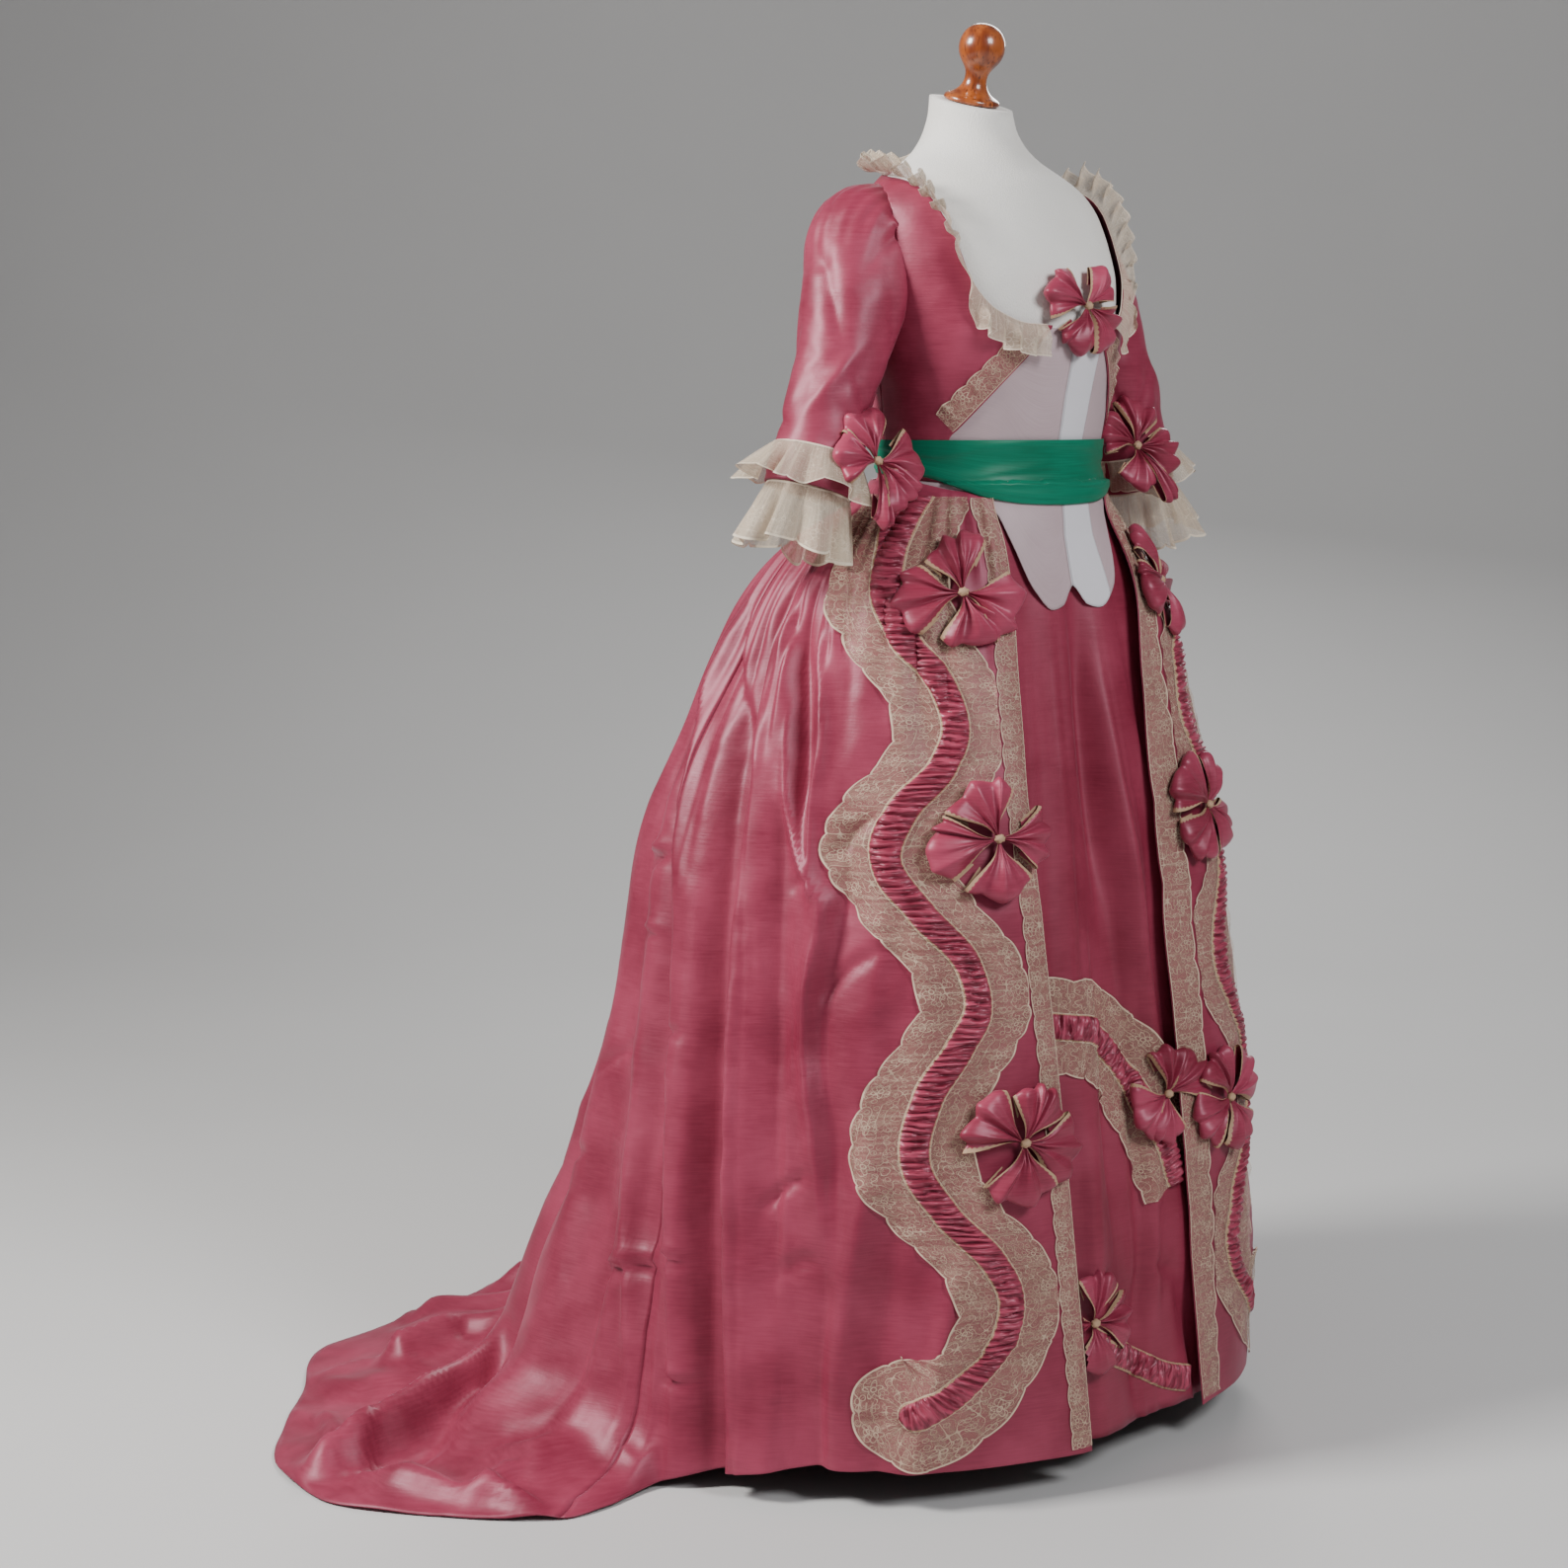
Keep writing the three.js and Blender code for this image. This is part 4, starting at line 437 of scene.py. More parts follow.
@dataclass(frozen=True)
class TrainFold:
    """A ridge (or a hollow, when negative) of the cloth that lies on the floor, along a line in plan."""

    line: Points
    height: float
    width: float

    def at(self, x: Array, y: Array) -> Array:
        """How high the fold lifts the cloth at a place on the floor."""
        nearest = np.full(np.shape(x), 1e9)
        for (ax, ay), (bx, by) in zip(self.line, self.line[1:]):
            square = (bx - ax) ** 2 + (by - ay) ** 2
            share = np.clip(((x - ax) * (bx - ax) + (y - ay) * (by - ay)) / square, 0.0, 1.0)
            nearest = np.minimum(nearest, np.hypot(x - ax - share * (bx - ax), y - ay - share * (by - ay)))
        return self.height * np.exp(-((nearest / self.width) ** 2))


TRAIN_FOLDS = (
    TrainFold(((-379, 396), (-489, 353), (-586, 319), (-648, 310), (-721, 296)), 34, 20),
    TrainFold(((-433, 337), (-512, 312), (-600, 268), (-670, 250)), -26, 24),
    TrainFold(((-300, 440), (-348, 433), (-393, 495), (-474, 512)), 34, 19),
    TrainFold(((-420, 420), (-500, 420), (-560, 430)), -14, 26),
    TrainFold(((-690, 238), (-643, 115), (-592, 128)), 18, 16),
    TrainFold(((-625, 105), (-609, 25)), 20, 14),
    TrainFold(((-630, 427), (-680, 277)), 9, 11),
    TrainFold(((-648, 310), (-690, 250)), 9, 9),
    TrainFold(((-480, 110), (-546, 191), (-620, 190)), -12, 22),
    TrainFold(((-250, 500), (-330, 640), (-350, 690)), 24, 20),
    TrainFold(((-200, 510), (-250, 640), (-270, 700)), -14, 22),
    TrainFold(((-120, 520), (-140, 660), (-200, 700)), 24, 20),
    TrainFold(((-10, 510), (10, 620), (-20, 690)), 20, 18),
    TrainFold(((110, 480), (160, 590), (190, 600)), 20, 18),
    TrainFold(((210, 430), (290, 500), (310, 500)), 16, 16),
)

# Columns of the gown's three panels: angle at the waist, angle at the hem and depth of the trough there.
RIGHT_COLUMNS = (
    (-60, -38, 0.0), (-75, -53, 0.0), (-90, -68, 0.1), (-98, -76, 0.8), (-104, -82, 0.0),
    (-111, -87, 1.0), (-117, -93, 0.1), (-123, -98, 0.8),
)
BACK_COLUMNS = (
    (-129, -104, 0.0), (-135, -111, 0.7), (-141, -118, 0.05), (-147, -125, 1.0), (-153, -133, 0.0),
    (-159, -141, 0.8), (-165, -149, 0.1), (-171, -157, 1.0), (-178, -166, 0.0), (-185, -176, 0.9),
    (-192, -186, 0.05), (-199, -196, 0.8), (-206, -206, 0.0), (-213, -216, 1.0), (-221, -227, 0.05),
    (-229, -238, 0.8),
)
LEFT_COLUMNS = (
    (-237, -249, 0.6), (-243, -257, 0.1), (-249, -265, 1.0), (-256, -273, 0.0), (-262, -281, 0.8),
    (-270, -290, 0.1), (-285, -308, 0.0), (-300, -326, 0.0),
)


@dataclass(frozen=True)
class GownCloth:
    """The skirt of the gown as one surface: columns of folds from its right front edge to its left one.

    A place is a column number, with a share to the next one, and a height, or a share of the way down.
    """

    columns: tuple[tuple[float, float, float], ...] = (
        (-44, -24, 0.0), *RIGHT_COLUMNS, *BACK_COLUMNS, *LEFT_COLUMNS, (-316, -336, 0.0),
    )
    right_seam: int = len(RIGHT_COLUMNS)
    left_seam: int = len(RIGHT_COLUMNS) + len(BACK_COLUMNS) + 1
    foot: float = 90.0
    upright: float = 0.64
    least_height: float = 2.4
    edge_right: Curve = curve((40, 120), (700, 124), (810, 115), (990, 96), (1060, 88))
    edge_left: Curve = curve((40, 72), (848, 76), (971, 88), (1060, 92))
    top: Curve = curve((-320, 1056), (-300, 1061), (-276, 1071), (-84, 1071), (-60, 1061), (-40, 1056))
    flare: Curve = curve((-273, 0), (-265, 8), (-257, 24), (-249, 42), (-238, 62), (-216, 82), (-196, 138),
                         (-176, 202), (-160, 210), (-149, 233), (-141, 266), (-133, 248), (-125, 266),
                         (-118, 290), (-111, 280), (-104, 200), (-98, 120), (-93, 14), (-87, 0))
    swing: Curve = curve((-141, 0), (-133, 0.5), (-125, 1), (-118, 2.5), (-111, 3.2), (-104, 4.5),
                         (-98, 5.5), (-93, 1), (-87, 0))
    out_share: Curve = curve((0, 0), (0.35, 0.1), (0.55, 0.3), (0.78, 0.62), (1, 1))
    flare_height: Curve = curve((0, FLARE_TOP), (0.35, 92), (0.55, 48), (0.78, 26), (1, 4))
    plain_height: Curve = curve((0, FLARE_TOP), (0.35, 81), (0.55, 63), (0.78, 34.2), (1, 0))

    @property
    def last(self) -> int:
        """Number of the last column."""
        return len(self.columns) - 1

    def entries(self, which: int) -> Array:
        """One entry of every column: 0 is its angle at the waist, 1 that at the hem and 2 its trough."""
        return np.array([column[which] for column in self.columns], float)

    def edge_angle(self, side: Side, z: Array) -> Array:
        """Angle of a front edge at a height: it hangs at a set distance from the middle."""
        distance = self.edge_right(z) if side is Side.RIGHT else self.edge_left(z)
        angle = np.full(np.shape(z), side.value * 30.0)
        for _ in range(8):
            sine = np.minimum(0.95, distance / skirt_radius(angle, z))
            angle = side.value * np.degrees(np.arcsin(sine))
        return angle

    def column_angles(self, z: Array) -> Array:
        """Angles of all columns at each height, from the right front edge round to the left one."""
        tops = self.entries(0)
        hems = self.entries(1)
        seam = self.top(tops)
        share = np.clip((seam - z[:, None]) / (seam - HEM_HEIGHT(hems)), 0.0, 1.0) ** 0.8
        angles = mix(tops, hems, share)
        angles[:, 0] = self.edge_angle(Side.RIGHT, z)
        angles[:, -1] = self.edge_angle(Side.LEFT, z) - 360.0
        return angles

    def angle_of(self, column: Array, z: Array) -> Array:
        """Angle of a place given by its column number and height."""
        angles = self.column_angles(z)
        low = np.clip(np.floor(column).astype(int), 0, self.last - 1)
        rows = np.arange(len(z))
        return mix(angles[rows, low], angles[rows, low + 1], column - low)

    def column_of(self, angle: Array, z: Array) -> Array:
        """Column number of a place given by its angle and height."""
        angles = self.column_angles(z)
        signed = signed_angle(angle)
        low = np.clip(np.sum(angles > signed[:, None], axis=1) - 1, 0, self.last - 1)
        rows = np.arange(len(z))
        start = angles[rows, low]
        return low + np.clip((signed - start) / (angles[rows, low + 1] - start), 0.0, 1.0)

    def trough_at(self, column: Array) -> Array:
        """How deep the cloth lies between its ridges at a column, from 0 to 1."""
        depths = self.entries(2)
        low = np.clip(np.floor(column).astype(int), 0, self.last - 1)
        share = column - low
        sharp = 1.0 + 0.45 * ripple(5, column * 0.9, 0.0)
        return mix(depths[low], depths[low + 1], (0.5 - 0.5 * np.cos(np.pi * share)) ** sharp)

    def radius(self, column: Array, angle: Array, z: Array) -> Array:
        """Radius of the outer face at a place, with all its folds and creases."""
        plain = skirt_radius(angle, z)
        free = ease((WAIST - 12 - z) / 150.0)
        gathers = np.exp(-(((z - 1022.0) / 62.0) ** 2)) * ease((1069.0 - z) / 30.0)
        pleats = np.sin(TAU * (column * 2.0 + 0.5 * ripple(11, column * 1.3, z / 160.0)))
        soft = ripple(21, column * 0.85 + 0.3 * ripple(22, column * 0.4, z / 300.0), z / 420.0)
        small = ripple(23, column * 1.9, z / 150.0)
        crisp = 0.35 - np.abs(ripple(24, column * 1.4 + 0.4 * soft, z / 95.0))
        long_pleats = np.abs(np.sin(TAU * (column * 0.93 + 0.2 * soft)))
        long_pleats = np.exp(-(((z - 940.0) / 110.0) ** 2)) * long_pleats
        folded = -self.trough_at(column) * FOLD_DEPTH(z)
        waves = 4.6 * soft + 1.6 * small + 3.4 * crisp + 5.0 * long_pleats
        folded += gathers * pleats * 3.6 + free * waves
        beside_seam = np.exp(-(((angle + 84.5 + 0.012 * z) / 2.6) ** 2)) * ease((700.0 - z) / 150.0)
        folded += beside_seam * 1.6 * ripple(25, angle / 2.2, z / 17.0)
        for crease in (*FOLD_LINES, *GOWN_CREASES):
            folded += crease.at(angle, z, plain)
        for seam in (self.right_seam, self.left_seam):
            folded -= 1.4 * np.exp(-(((column - seam) / 0.07) ** 2))
        at_waist = flat_radius(body_point(angle, WAIST, BODICE_OUT - 1.0))
        over_tabs = petticoat_radius(angle, z) + WAISTCOAT_OUT - PETTICOAT_OUT + 2.4
        return highest(highest(plain + folded, at_waist), over_tabs) + 1.0

    def place(self, angle: Array, z: Array) -> Array:
        """A point of the outer face, above the train."""
        angle, z = np.broadcast_arrays(np.asarray(angle, float), np.asarray(z, float))
        flat_angle = angle.ravel()
        flat_z = z.ravel()
        column = self.column_of(flat_angle, flat_z)
        radius = self.radius(column, signed_angle(flat_angle), flat_z)
        return around(flat_angle, radius, flat_z).reshape(*angle.shape, 3)

    def sheet(self, column: Array, down: Array) -> Array:
        """A point of the whole sheet, train included.

        Args:
            column: column numbers.
            down: shares of the way from the waist to the outer end.

        Returns:
            The points.
        """
        numbers = np.arange(len(self.columns))
        top = self.top(np.interp(column, numbers, self.entries(0)))
        hem = np.interp(column, numbers, self.entries(1))
        hem_z = HEM_HEIGHT(hem)
        lower = np.clip((down - self.upright) / (1 - self.upright), 0.0, 1.0)
        out = self.out_share(lower)
        # The upright part ends where the flare starts, and both meet at the same height.
        z = mix(top, FLARE_TOP, np.clip(down / self.upright, 0.0, 1.0))
        plain_z = np.where(down < self.upright, z, self.plain_height(lower) + out * hem_z)
        angle = self.angle_of(column, plain_z)
        radius = self.radius(column, angle, plain_z)
        plain = around(angle, radius, plain_z)
        flare = self.flare(hem)
        at_foot = np.maximum(plain_z, self.foot)
        start = self.radius(column, self.angle_of(column, at_foot), at_foot)
        end = skirt_radius(hem, np.zeros_like(hem)) + flare
        turned = angle + self.swing(hem) * out
        reach = start + (end - start) * out
        rise = (self.flare_height(lower) - self.least_height) * (1 - 0.6 * self.trough_at(column) * out)
        rows = np.where(down < self.upright, z, self.least_height + rise)
        flared = around(turned, reach, rows)
        ground = ease((170.0 - rows) / 150.0) * ease(out * 3.0)
        lift = ripple(31, flared[..., 0] / 60.0, flared[..., 1] / 60.0) * 5.0
        lift += (0.4 - np.abs(ripple(32, flared[..., 0] / 75.0, flared[..., 1] / 75.0))) * 11.0
        for fold in TRAIN_FOLDS:
            lift += fold.at(flared[..., 0], flared[..., 1])
        edge = 1 - ease((lower - 0.9) / 0.1) * 0.7
        flared[..., 2] = highest(flared[..., 2] + ground * lift * edge, np.full_like(rows, 2.6), 4.0)
        share = np.minimum(1.0, flare / 60.0)[..., None] * (down > self.upright)[..., None]
        return mix(plain, flared, share)


GOWN = GownCloth()


def surface_normals(place: Shape, angle: Array, z: Array) -> Array:
    """Outward normals of a surface that is given by angle and height."""
    here = place(angle, z)
    side = place(angle + 0.6, z) - here
    rise = place(angle, z + 3.0) - here
    return unit(np.cross(side, rise))


def on_gown(angle: Array, z: Array, lift: Array) -> Array:
    """A point above the gown's outer face, along its normal."""
    normals = surface_normals(GOWN.place, angle, z)
    return GOWN.place(angle, z) + normals * np.asarray(lift)[..., None]


def front_angle(side: Side, distance: Array, z: Array) -> Array:
    """Angle of a place on a gown front at a distance from its front edge."""
    edge = GOWN.edge_angle(side, z)
    return edge + side.value * np.degrees(distance / skirt_radius(edge + side.value * 14.0, z))


# ---------------------------------------------------------------- meshes


def placed(name: str, data: bpy.types.ID) -> bpy.types.Object:
    """A new object in the scene."""
    made = bpy.data.objects.new(name, data)
    bpy.context.scene.collection.objects.link(made)
    return made


def mesh_piece(name: str, bm: bmesh.types.BMesh, material: Material) -> bpy.types.Object:
    """A new object from a mesh in the making, which is used up."""
    mesh = bpy.data.meshes.new(name)
    bm.to_mesh(mesh)
    bm.free()
    mesh.materials.append(material)
    return placed(name, mesh)


class Cloth:
    """A mesh in the making, put together from grids that are bent into their places."""

    def __init__(self) -> None:
        """Start an empty mesh with a place for its texture coordinates."""
        self.bm = bmesh.new()
        self.uv = self.bm.loops.layers.uv.new("UVMap")

    def patch(self, across: int, up: int, shape: Shape, uv: tuple[float, float] = (1.0, 1.0),
              uv_start: tuple[float, float] = (0.0, 0.0), flip: bool = False) -> "Cloth":
        """Add a grid of faces, bent by a function of its shares across and up.

        Args:
            across: number of faces across.
            up: number of faces up.
            shape: gives millimetre points for shares from 0 to 1.
            uv: size of the patch in texture coordinates.
            uv_start: texture coordinates of its first corner.
            flip: turn the faces round.

        Returns:
            This mesh.
        """
        old_faces = len(self.bm.faces)
        made = bmesh.ops.create_grid(self.bm, x_segments=across, y_segments=up, size=0.5)
        verts = made["verts"]
        flat = np.array([vert.co[:2] for vert in verts]) + 0.5
        points = shape(flat[:, 0], flat[:, 1]) * MM
        shares = {vert: share for vert, share in zip(verts, flat)}
        self.bm.faces.ensure_lookup_table()
        faces = self.bm.faces[old_faces:]
        for face in faces:
            face.smooth = True
            for loop in face.loops:
                share = shares[loop.vert]
                loop[self.uv].uv = (uv_start[0] + share[0] * uv[0], uv_start[1] + share[1] * uv[1])
        for vert, point in zip(verts, points):
            vert.co = point
        if flip:
            bmesh.ops.reverse_faces(self.bm, faces=faces)
        return self

    def merged(self) -> "Cloth":
        """Join points that lie together, such as the two ends of a tube."""
        bmesh.ops.remove_doubles(self.bm, verts=self.bm.verts, dist=0.02 * MM)
        return self

    def without(self, inside: Callable[[Array], Array]) -> "Cloth":
        """Cut away the faces whose middle lies inside something.

        Args:
            inside: tells for millimetre points whether they are cut away.

        Returns:
            This mesh.
        """
        faces = list(self.bm.faces)
        middles = np.array([face.calc_center_median() for face in faces]) / MM
        cut = [face for face, drop in zip(faces, inside(middles)) if drop]
        bmesh.ops.delete(self.bm, geom=cut, context="FACES")
        return self

    def finish(self, name: str, material: Material, wall: float = 0.0) -> bpy.types.Object:
        """Make the object.

        Args:
            name: the piece's name.
            material: its finish.
            wall: thickness of the cloth inwards from its face in millimetres, 0 for a single layer.

        Returns:
            The object, in place.
        """
        piece = mesh_piece(name, self.bm, material)
        if wall:
            thicken = piece.modifiers.new("cloth", "SOLIDIFY")
            thicken.thickness = wall * MM
            thicken.offset = -1.0
        return piece


@dataclass(frozen=True)
class Cut:
    """How a cloth piece was cut, in metres, before it was sewn and hung."""

    width: float
    length: float
    held: Held
    area: float = 0.0


def settle(piece: bpy.types.Object, node: str, cut: Cut | None = None) -> None:
    """Attach a piece to the root, hide the part that it stands for and log its number of points.

    Args:
        piece: the new object.
        node: the node that it stands for.
        cut: the flat cut of its cloth, where it is cloth; not used.
    """
    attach(piece, "root")
    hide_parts(node)
    log.info("%s: %d points for %s", piece.name, len(piece.data.vertices), node)


# ---------------------------------------------------------------- shader building


class Value:
    """A number or colour that flows through a material, with Python's operators for numbers."""

    def __init__(self, net: "Net", socket: bpy.types.NodeSocket) -> None:
        """Wrap an output socket."""
        self.net = net
        self.socket = socket

    def math(self, operation: str, *others: "Value | float") -> "Value":
        """The result of a Math node on this value and others."""
        inputs = {number: value for number, value in enumerate((self, *others))}
        return self.net.node("ShaderNodeMath", {"operation": operation}, inputs)[0]

    def __add__(self, other: "Value | float") -> "Value":
        """Sum."""
        return self.math("ADD", other)

    def __sub__(self, other: "Value | float") -> "Value":
        """Difference."""
        return self.math("SUBTRACT", other)

    def __rsub__(self, other: float) -> "Value":
        """Difference, with this value taken away."""
        return self.net.node("ShaderNodeMath", {"operation": "SUBTRACT"}, {0: other, 1: self})[0]

    def __mul__(self, other: "Value | float") -> "Value":
        """Product."""
        return self.math("MULTIPLY", other)

    def __pow__(self, other: "Value | float") -> "Value":
        """Power."""
        return self.math("POWER", other)

    def __abs__(self) -> "Value":
        """Size without sign."""
        return self.math("ABSOLUTE")

    def smooth(self, low: float, high: float) -> "Value":
        """A smooth step: 0 below the low value and 1 above the high one."""
        settings = {"interpolation_type": "SMOOTHSTEP"}
        inputs = {0: self, 1: low, 2: high, 3: 0.0, 4: 1.0}
        return self.net.node("ShaderNodeMapRange", settings, inputs)[0]


class Node:
    """A node whose outputs are read by number or name."""

    def __init__(self, net: "Net", node: bpy.types.Node) -> None:
        """Wrap a node."""
        self.net = net
        self.node = node

    def __getitem__(self, output: int | str) -> Value:
        """An output as a value."""
        return Value(self.net, self.node.outputs[output])


class Net:
    """The node tree of one material."""

    def __init__(self, name: str) -> None:
        """Start an empty material."""
        self.material = bpy.data.materials.new(name)
        self.material.use_nodes = True
        self.tree = self.material.node_tree
        self.tree.nodes.clear()

    def node(self, kind: str, settings: dict[str, object], inputs: dict[int | str, object]) -> Node:
        """Add a node.

        Args:
            kind: the node's type.
            settings: attributes, set first.
            inputs: values or links of its sockets.

        Returns:
            The node.
        """
        made = self.tree.nodes.new(kind)
        for key, setting in settings.items():
            setattr(made, key, setting)
        for key, value in inputs.items():
            if isinstance(value, Value):
                self.tree.links.new(value.socket, made.inputs[key])
            else:
                made.inputs[key].default_value = value
        return Node(self, made)

    def mix(self, share: Value | float, low: Value | Colour, high: Value | Colour) -> Value:
        """A colour between two colours."""
        ends = [end if isinstance(end, Value) else (*end, 1.0) for end in (low, high)]
        settings = {"data_type": "RGBA", "clamp_factor": True}
        return self.node("ShaderNodeMix", settings, {0: share, 6: ends[0], 7: ends[1]})[2]

    def place(self) -> Value:
        """The place on the object, in metres."""
        return self.node("ShaderNodeTexCoord", {}, {})["Object"]

    def cloth(self) -> Value:
        """The place on the cloth, along and across its threads."""
        return self.node("ShaderNodeUVMap", {"uv_map": "UVMap"}, {})[0]

    def scaled(self, vector: Value, by: Colour) -> Value:
        """A vector with each part multiplied."""
        return self.node("ShaderNodeVectorMath", {"operation": "MULTIPLY"}, {0: vector, 1: by})[0]

    def noise(self, vector: Value, scale: float, detail: float, kind: str = "FBM") -> Value:
        """Noise from about 0 to 1 at a place."""
        inputs = {"Vector": vector, "Scale": scale, "Detail": detail, "Roughness": 0.5}
        return self.node("ShaderNodeTexNoise", {"noise_type": kind}, inputs)[0]

    def parts(self, vector: Value) -> tuple[Value, Value]:
        """The first two parts of a vector."""
        split = self.node("ShaderNodeSeparateXYZ", {}, {0: vector})
        return split[0], split[1]

    def bump(self, height: Value) -> Value:
        """A normal bent by a height in metres."""
        inputs = {"Strength": 1.0, "Distance": 1.0, "Height": height}
        return self.node("ShaderNodeBump", {}, inputs)[0]

    def surface(self, inputs: dict[str, object]) -> Material:
        """Finish the material with a surface shader and return it."""
        shader = self.node("ShaderNodeBsdfPrincipled", {}, inputs)
        self.node("ShaderNodeOutputMaterial", {}, {"Surface": shader[0]})
        return self.material


class Edging(Enum):
    """What is sewn along a silk ribbon's two edges: the value is the share of its width that is bare."""

    NONE = 2.0
    PICOT = 0.92
    CORD = 0.88


@dataclass(frozen=True)
class Taffeta:
    """Shot silk taffeta: rose over crimson, with slubs along the weft and a crumpled hand."""

    name: str = "taffeta"
    deep: Colour = (0.165, 0.011, 0.030)
    bright: Colour = (0.345, 0.049, 0.094)
    roughness: float = 0.46
    shine: float = 0.6
    crumple: float = 1.7
    # Share of the colour given to light and dark stripes across the gathers: painted highlight on the
    # puckers' crests and painted shade in their hollows.
    gathers: float = 0.0
    edging: Edging = Edging.NONE
    edging_colour: Colour = (0.45, 0.30, 0.18)

    def build(self) -> Material:
        """Build the material."""
        net = Net(self.name)
        place = net.place()
        slub = net.noise(net.scaled(place, (40.0, 40.0, 640.0)), 1.0, 3.0)
        cloudy = net.noise(place, 11.0, 4.0)
        creases = net.noise(place, 8.0, 2.0, "RIDGED_MULTIFRACTAL")
        folds = net.noise(place, 24.0, 3.0, "RIDGED_MULTIFRACTAL")
        fine = net.noise(place, 80.0, 3.0)
        tone = (cloudy * 0.74 + slub * 0.26).smooth(0.2, 0.8)
        rough = slub * 0.10 + cloudy * 0.12 + (self.roughness - 0.11)
        height = creases * (0.0018 * self.crumple) + folds * (0.0011 * self.crumple)
        height = height + fine * 0.0003 + slub * 0.00012
        # Painted shade and highlight: light and dark stripes across the gathers stand in for the light on
        # the puckers' crests and the shade in their hollows; the same stripes also bump the cloth.
        if self.gathers:
            pucker_shade = net.noise(net.scaled(net.cloth(), (1.5, 1.4, 1.0)), 1.0, 2.0).smooth(0.32, 0.62)
            tone = tone * (1 - self.gathers) + pucker_shade * self.gathers
            height = height + pucker_shade * 0.0012
        colour = net.mix(tone, self.deep, self.bright)
        if self.edging is not Edging.NONE:
            along, across = net.parts(net.cloth())
            teeth = abs((along * TAU).math("SINE")) * 0.03
            border = (abs(across - 0.5) * 2.0 + teeth).smooth(self.edging.value, self.edging.value + 0.03)
            colour = net.mix(border, colour, self.edging_colour)
            rough = rough + border * 0.25
        return net.surface({
            "Base Color": colour, "Roughness": rough, "Normal": net.bump(height),
            "Sheen Weight": 0.16, "Sheen Roughness": 0.3, "Sheen Tint": (1.0, 0.60, 0.74, 1.0),
            "Specular IOR Level": self.shine, "Specular Tint": (1.0, 0.62, 0.72, 1.0),
        })


@dataclass(frozen=True)
class Lace:
    """Sheer cream lace: a fine net with embroidered sprigs and vines, and a corded scalloped edge."""

    name: str = "lace"
    wide: float = 44.0
    repeat: float = 40.0
    thread: Colour = (0.66, 0.51, 0.38)
    net_share: float = 0.34
    heading: float = 0.018

    def build(self) -> Material:
        """Build the material."""
        net = Net(self.name)
        cloth = net.cloth()
        along, across = net.parts(cloth)
        # Places in millimetres within one repeat of the pattern.
        x = (along.math("FRACT") - 0.5) * self.repeat
        y = (across - 0.66) * self.wide
        span = (x * x + y * y).math("SQRT")
        turn = y.math("ARCTAN2", x)
        petals = (turn * 5.0).math("COSINE") * 2.2 + 6.0
        outline = 1 - abs(span - petals).smooth(0.35, 0.9)
        heart = 1 - abs(span - 2.2).smooth(0.3, 0.8)
        flat_place = net.scaled(cloth, (self.repeat, self.wide, 1.0))
        vines = net.noise(flat_place, 0.085, 0.0)
        vine = 1 - abs(vines - 0.5).smooth(0.008, 0.022)
        tendrils = net.noise(flat_place, 0.21, 0.0)
        tendril = 1 - abs(tendrils - 0.44).smooth(0.010, 0.030)
        cells = net.node("ShaderNodeTexVoronoi", {"feature": "F1", "voronoi_dimensions": "2D"},
                         {"Vector": flat_place, "Scale": 0.11})[0]
        sprig = 1 - abs(cells - 0.24).smooth(0.02, 0.06)
        gathers = net.noise(net.scaled(cloth, (self.repeat * 0.30, 0.9, 1.0)), 1.0, 2.0)
        weave = net.noise(flat_place, 1.3, 1.0)
        scallop = abs((x * (math.pi / self.repeat)).math("COSINE")) ** 0.55 * 0.10 + 0.89
        border = (across - scallop).smooth(-0.050, -0.032)
        header = 1 - across.smooth(self.heading, self.heading + 0.02)
        ground = gathers.smooth(0.40, 0.72) * 0.22 + weave.smooth(0.35, 0.65) * 0.10
        ground = ground + (self.net_share - 0.14)
        worked = (outline * 0.76).math("MAXIMUM", vine * 0.74).math("MAXIMUM", tendril * 0.56)
        worked = worked.math("MAXIMUM", sprig * 0.62).math("MAXIMUM", heart * 0.8)
        worked = worked.math("MAXIMUM", border * 0.95).math("MAXIMUM", header * 0.95)
        inside = 1 - (across - scallop).smooth(-0.004, 0.004)
        alpha = ground.math("MAXIMUM", worked) * inside
        shade = (self.thread[0] * 0.78, self.thread[1] * 0.72, self.thread[2] * 0.68)
        colour = net.mix(worked * 0.75 + gathers * 0.3, shade, self.thread)
        return net.surface({
            "Base Color": colour, "Roughness": 0.85, "Alpha": alpha, "Normal": net.bump(worked * 0.0004),
            "Sheen Weight": 0.15, "Specular IOR Level": 0.3,
        })


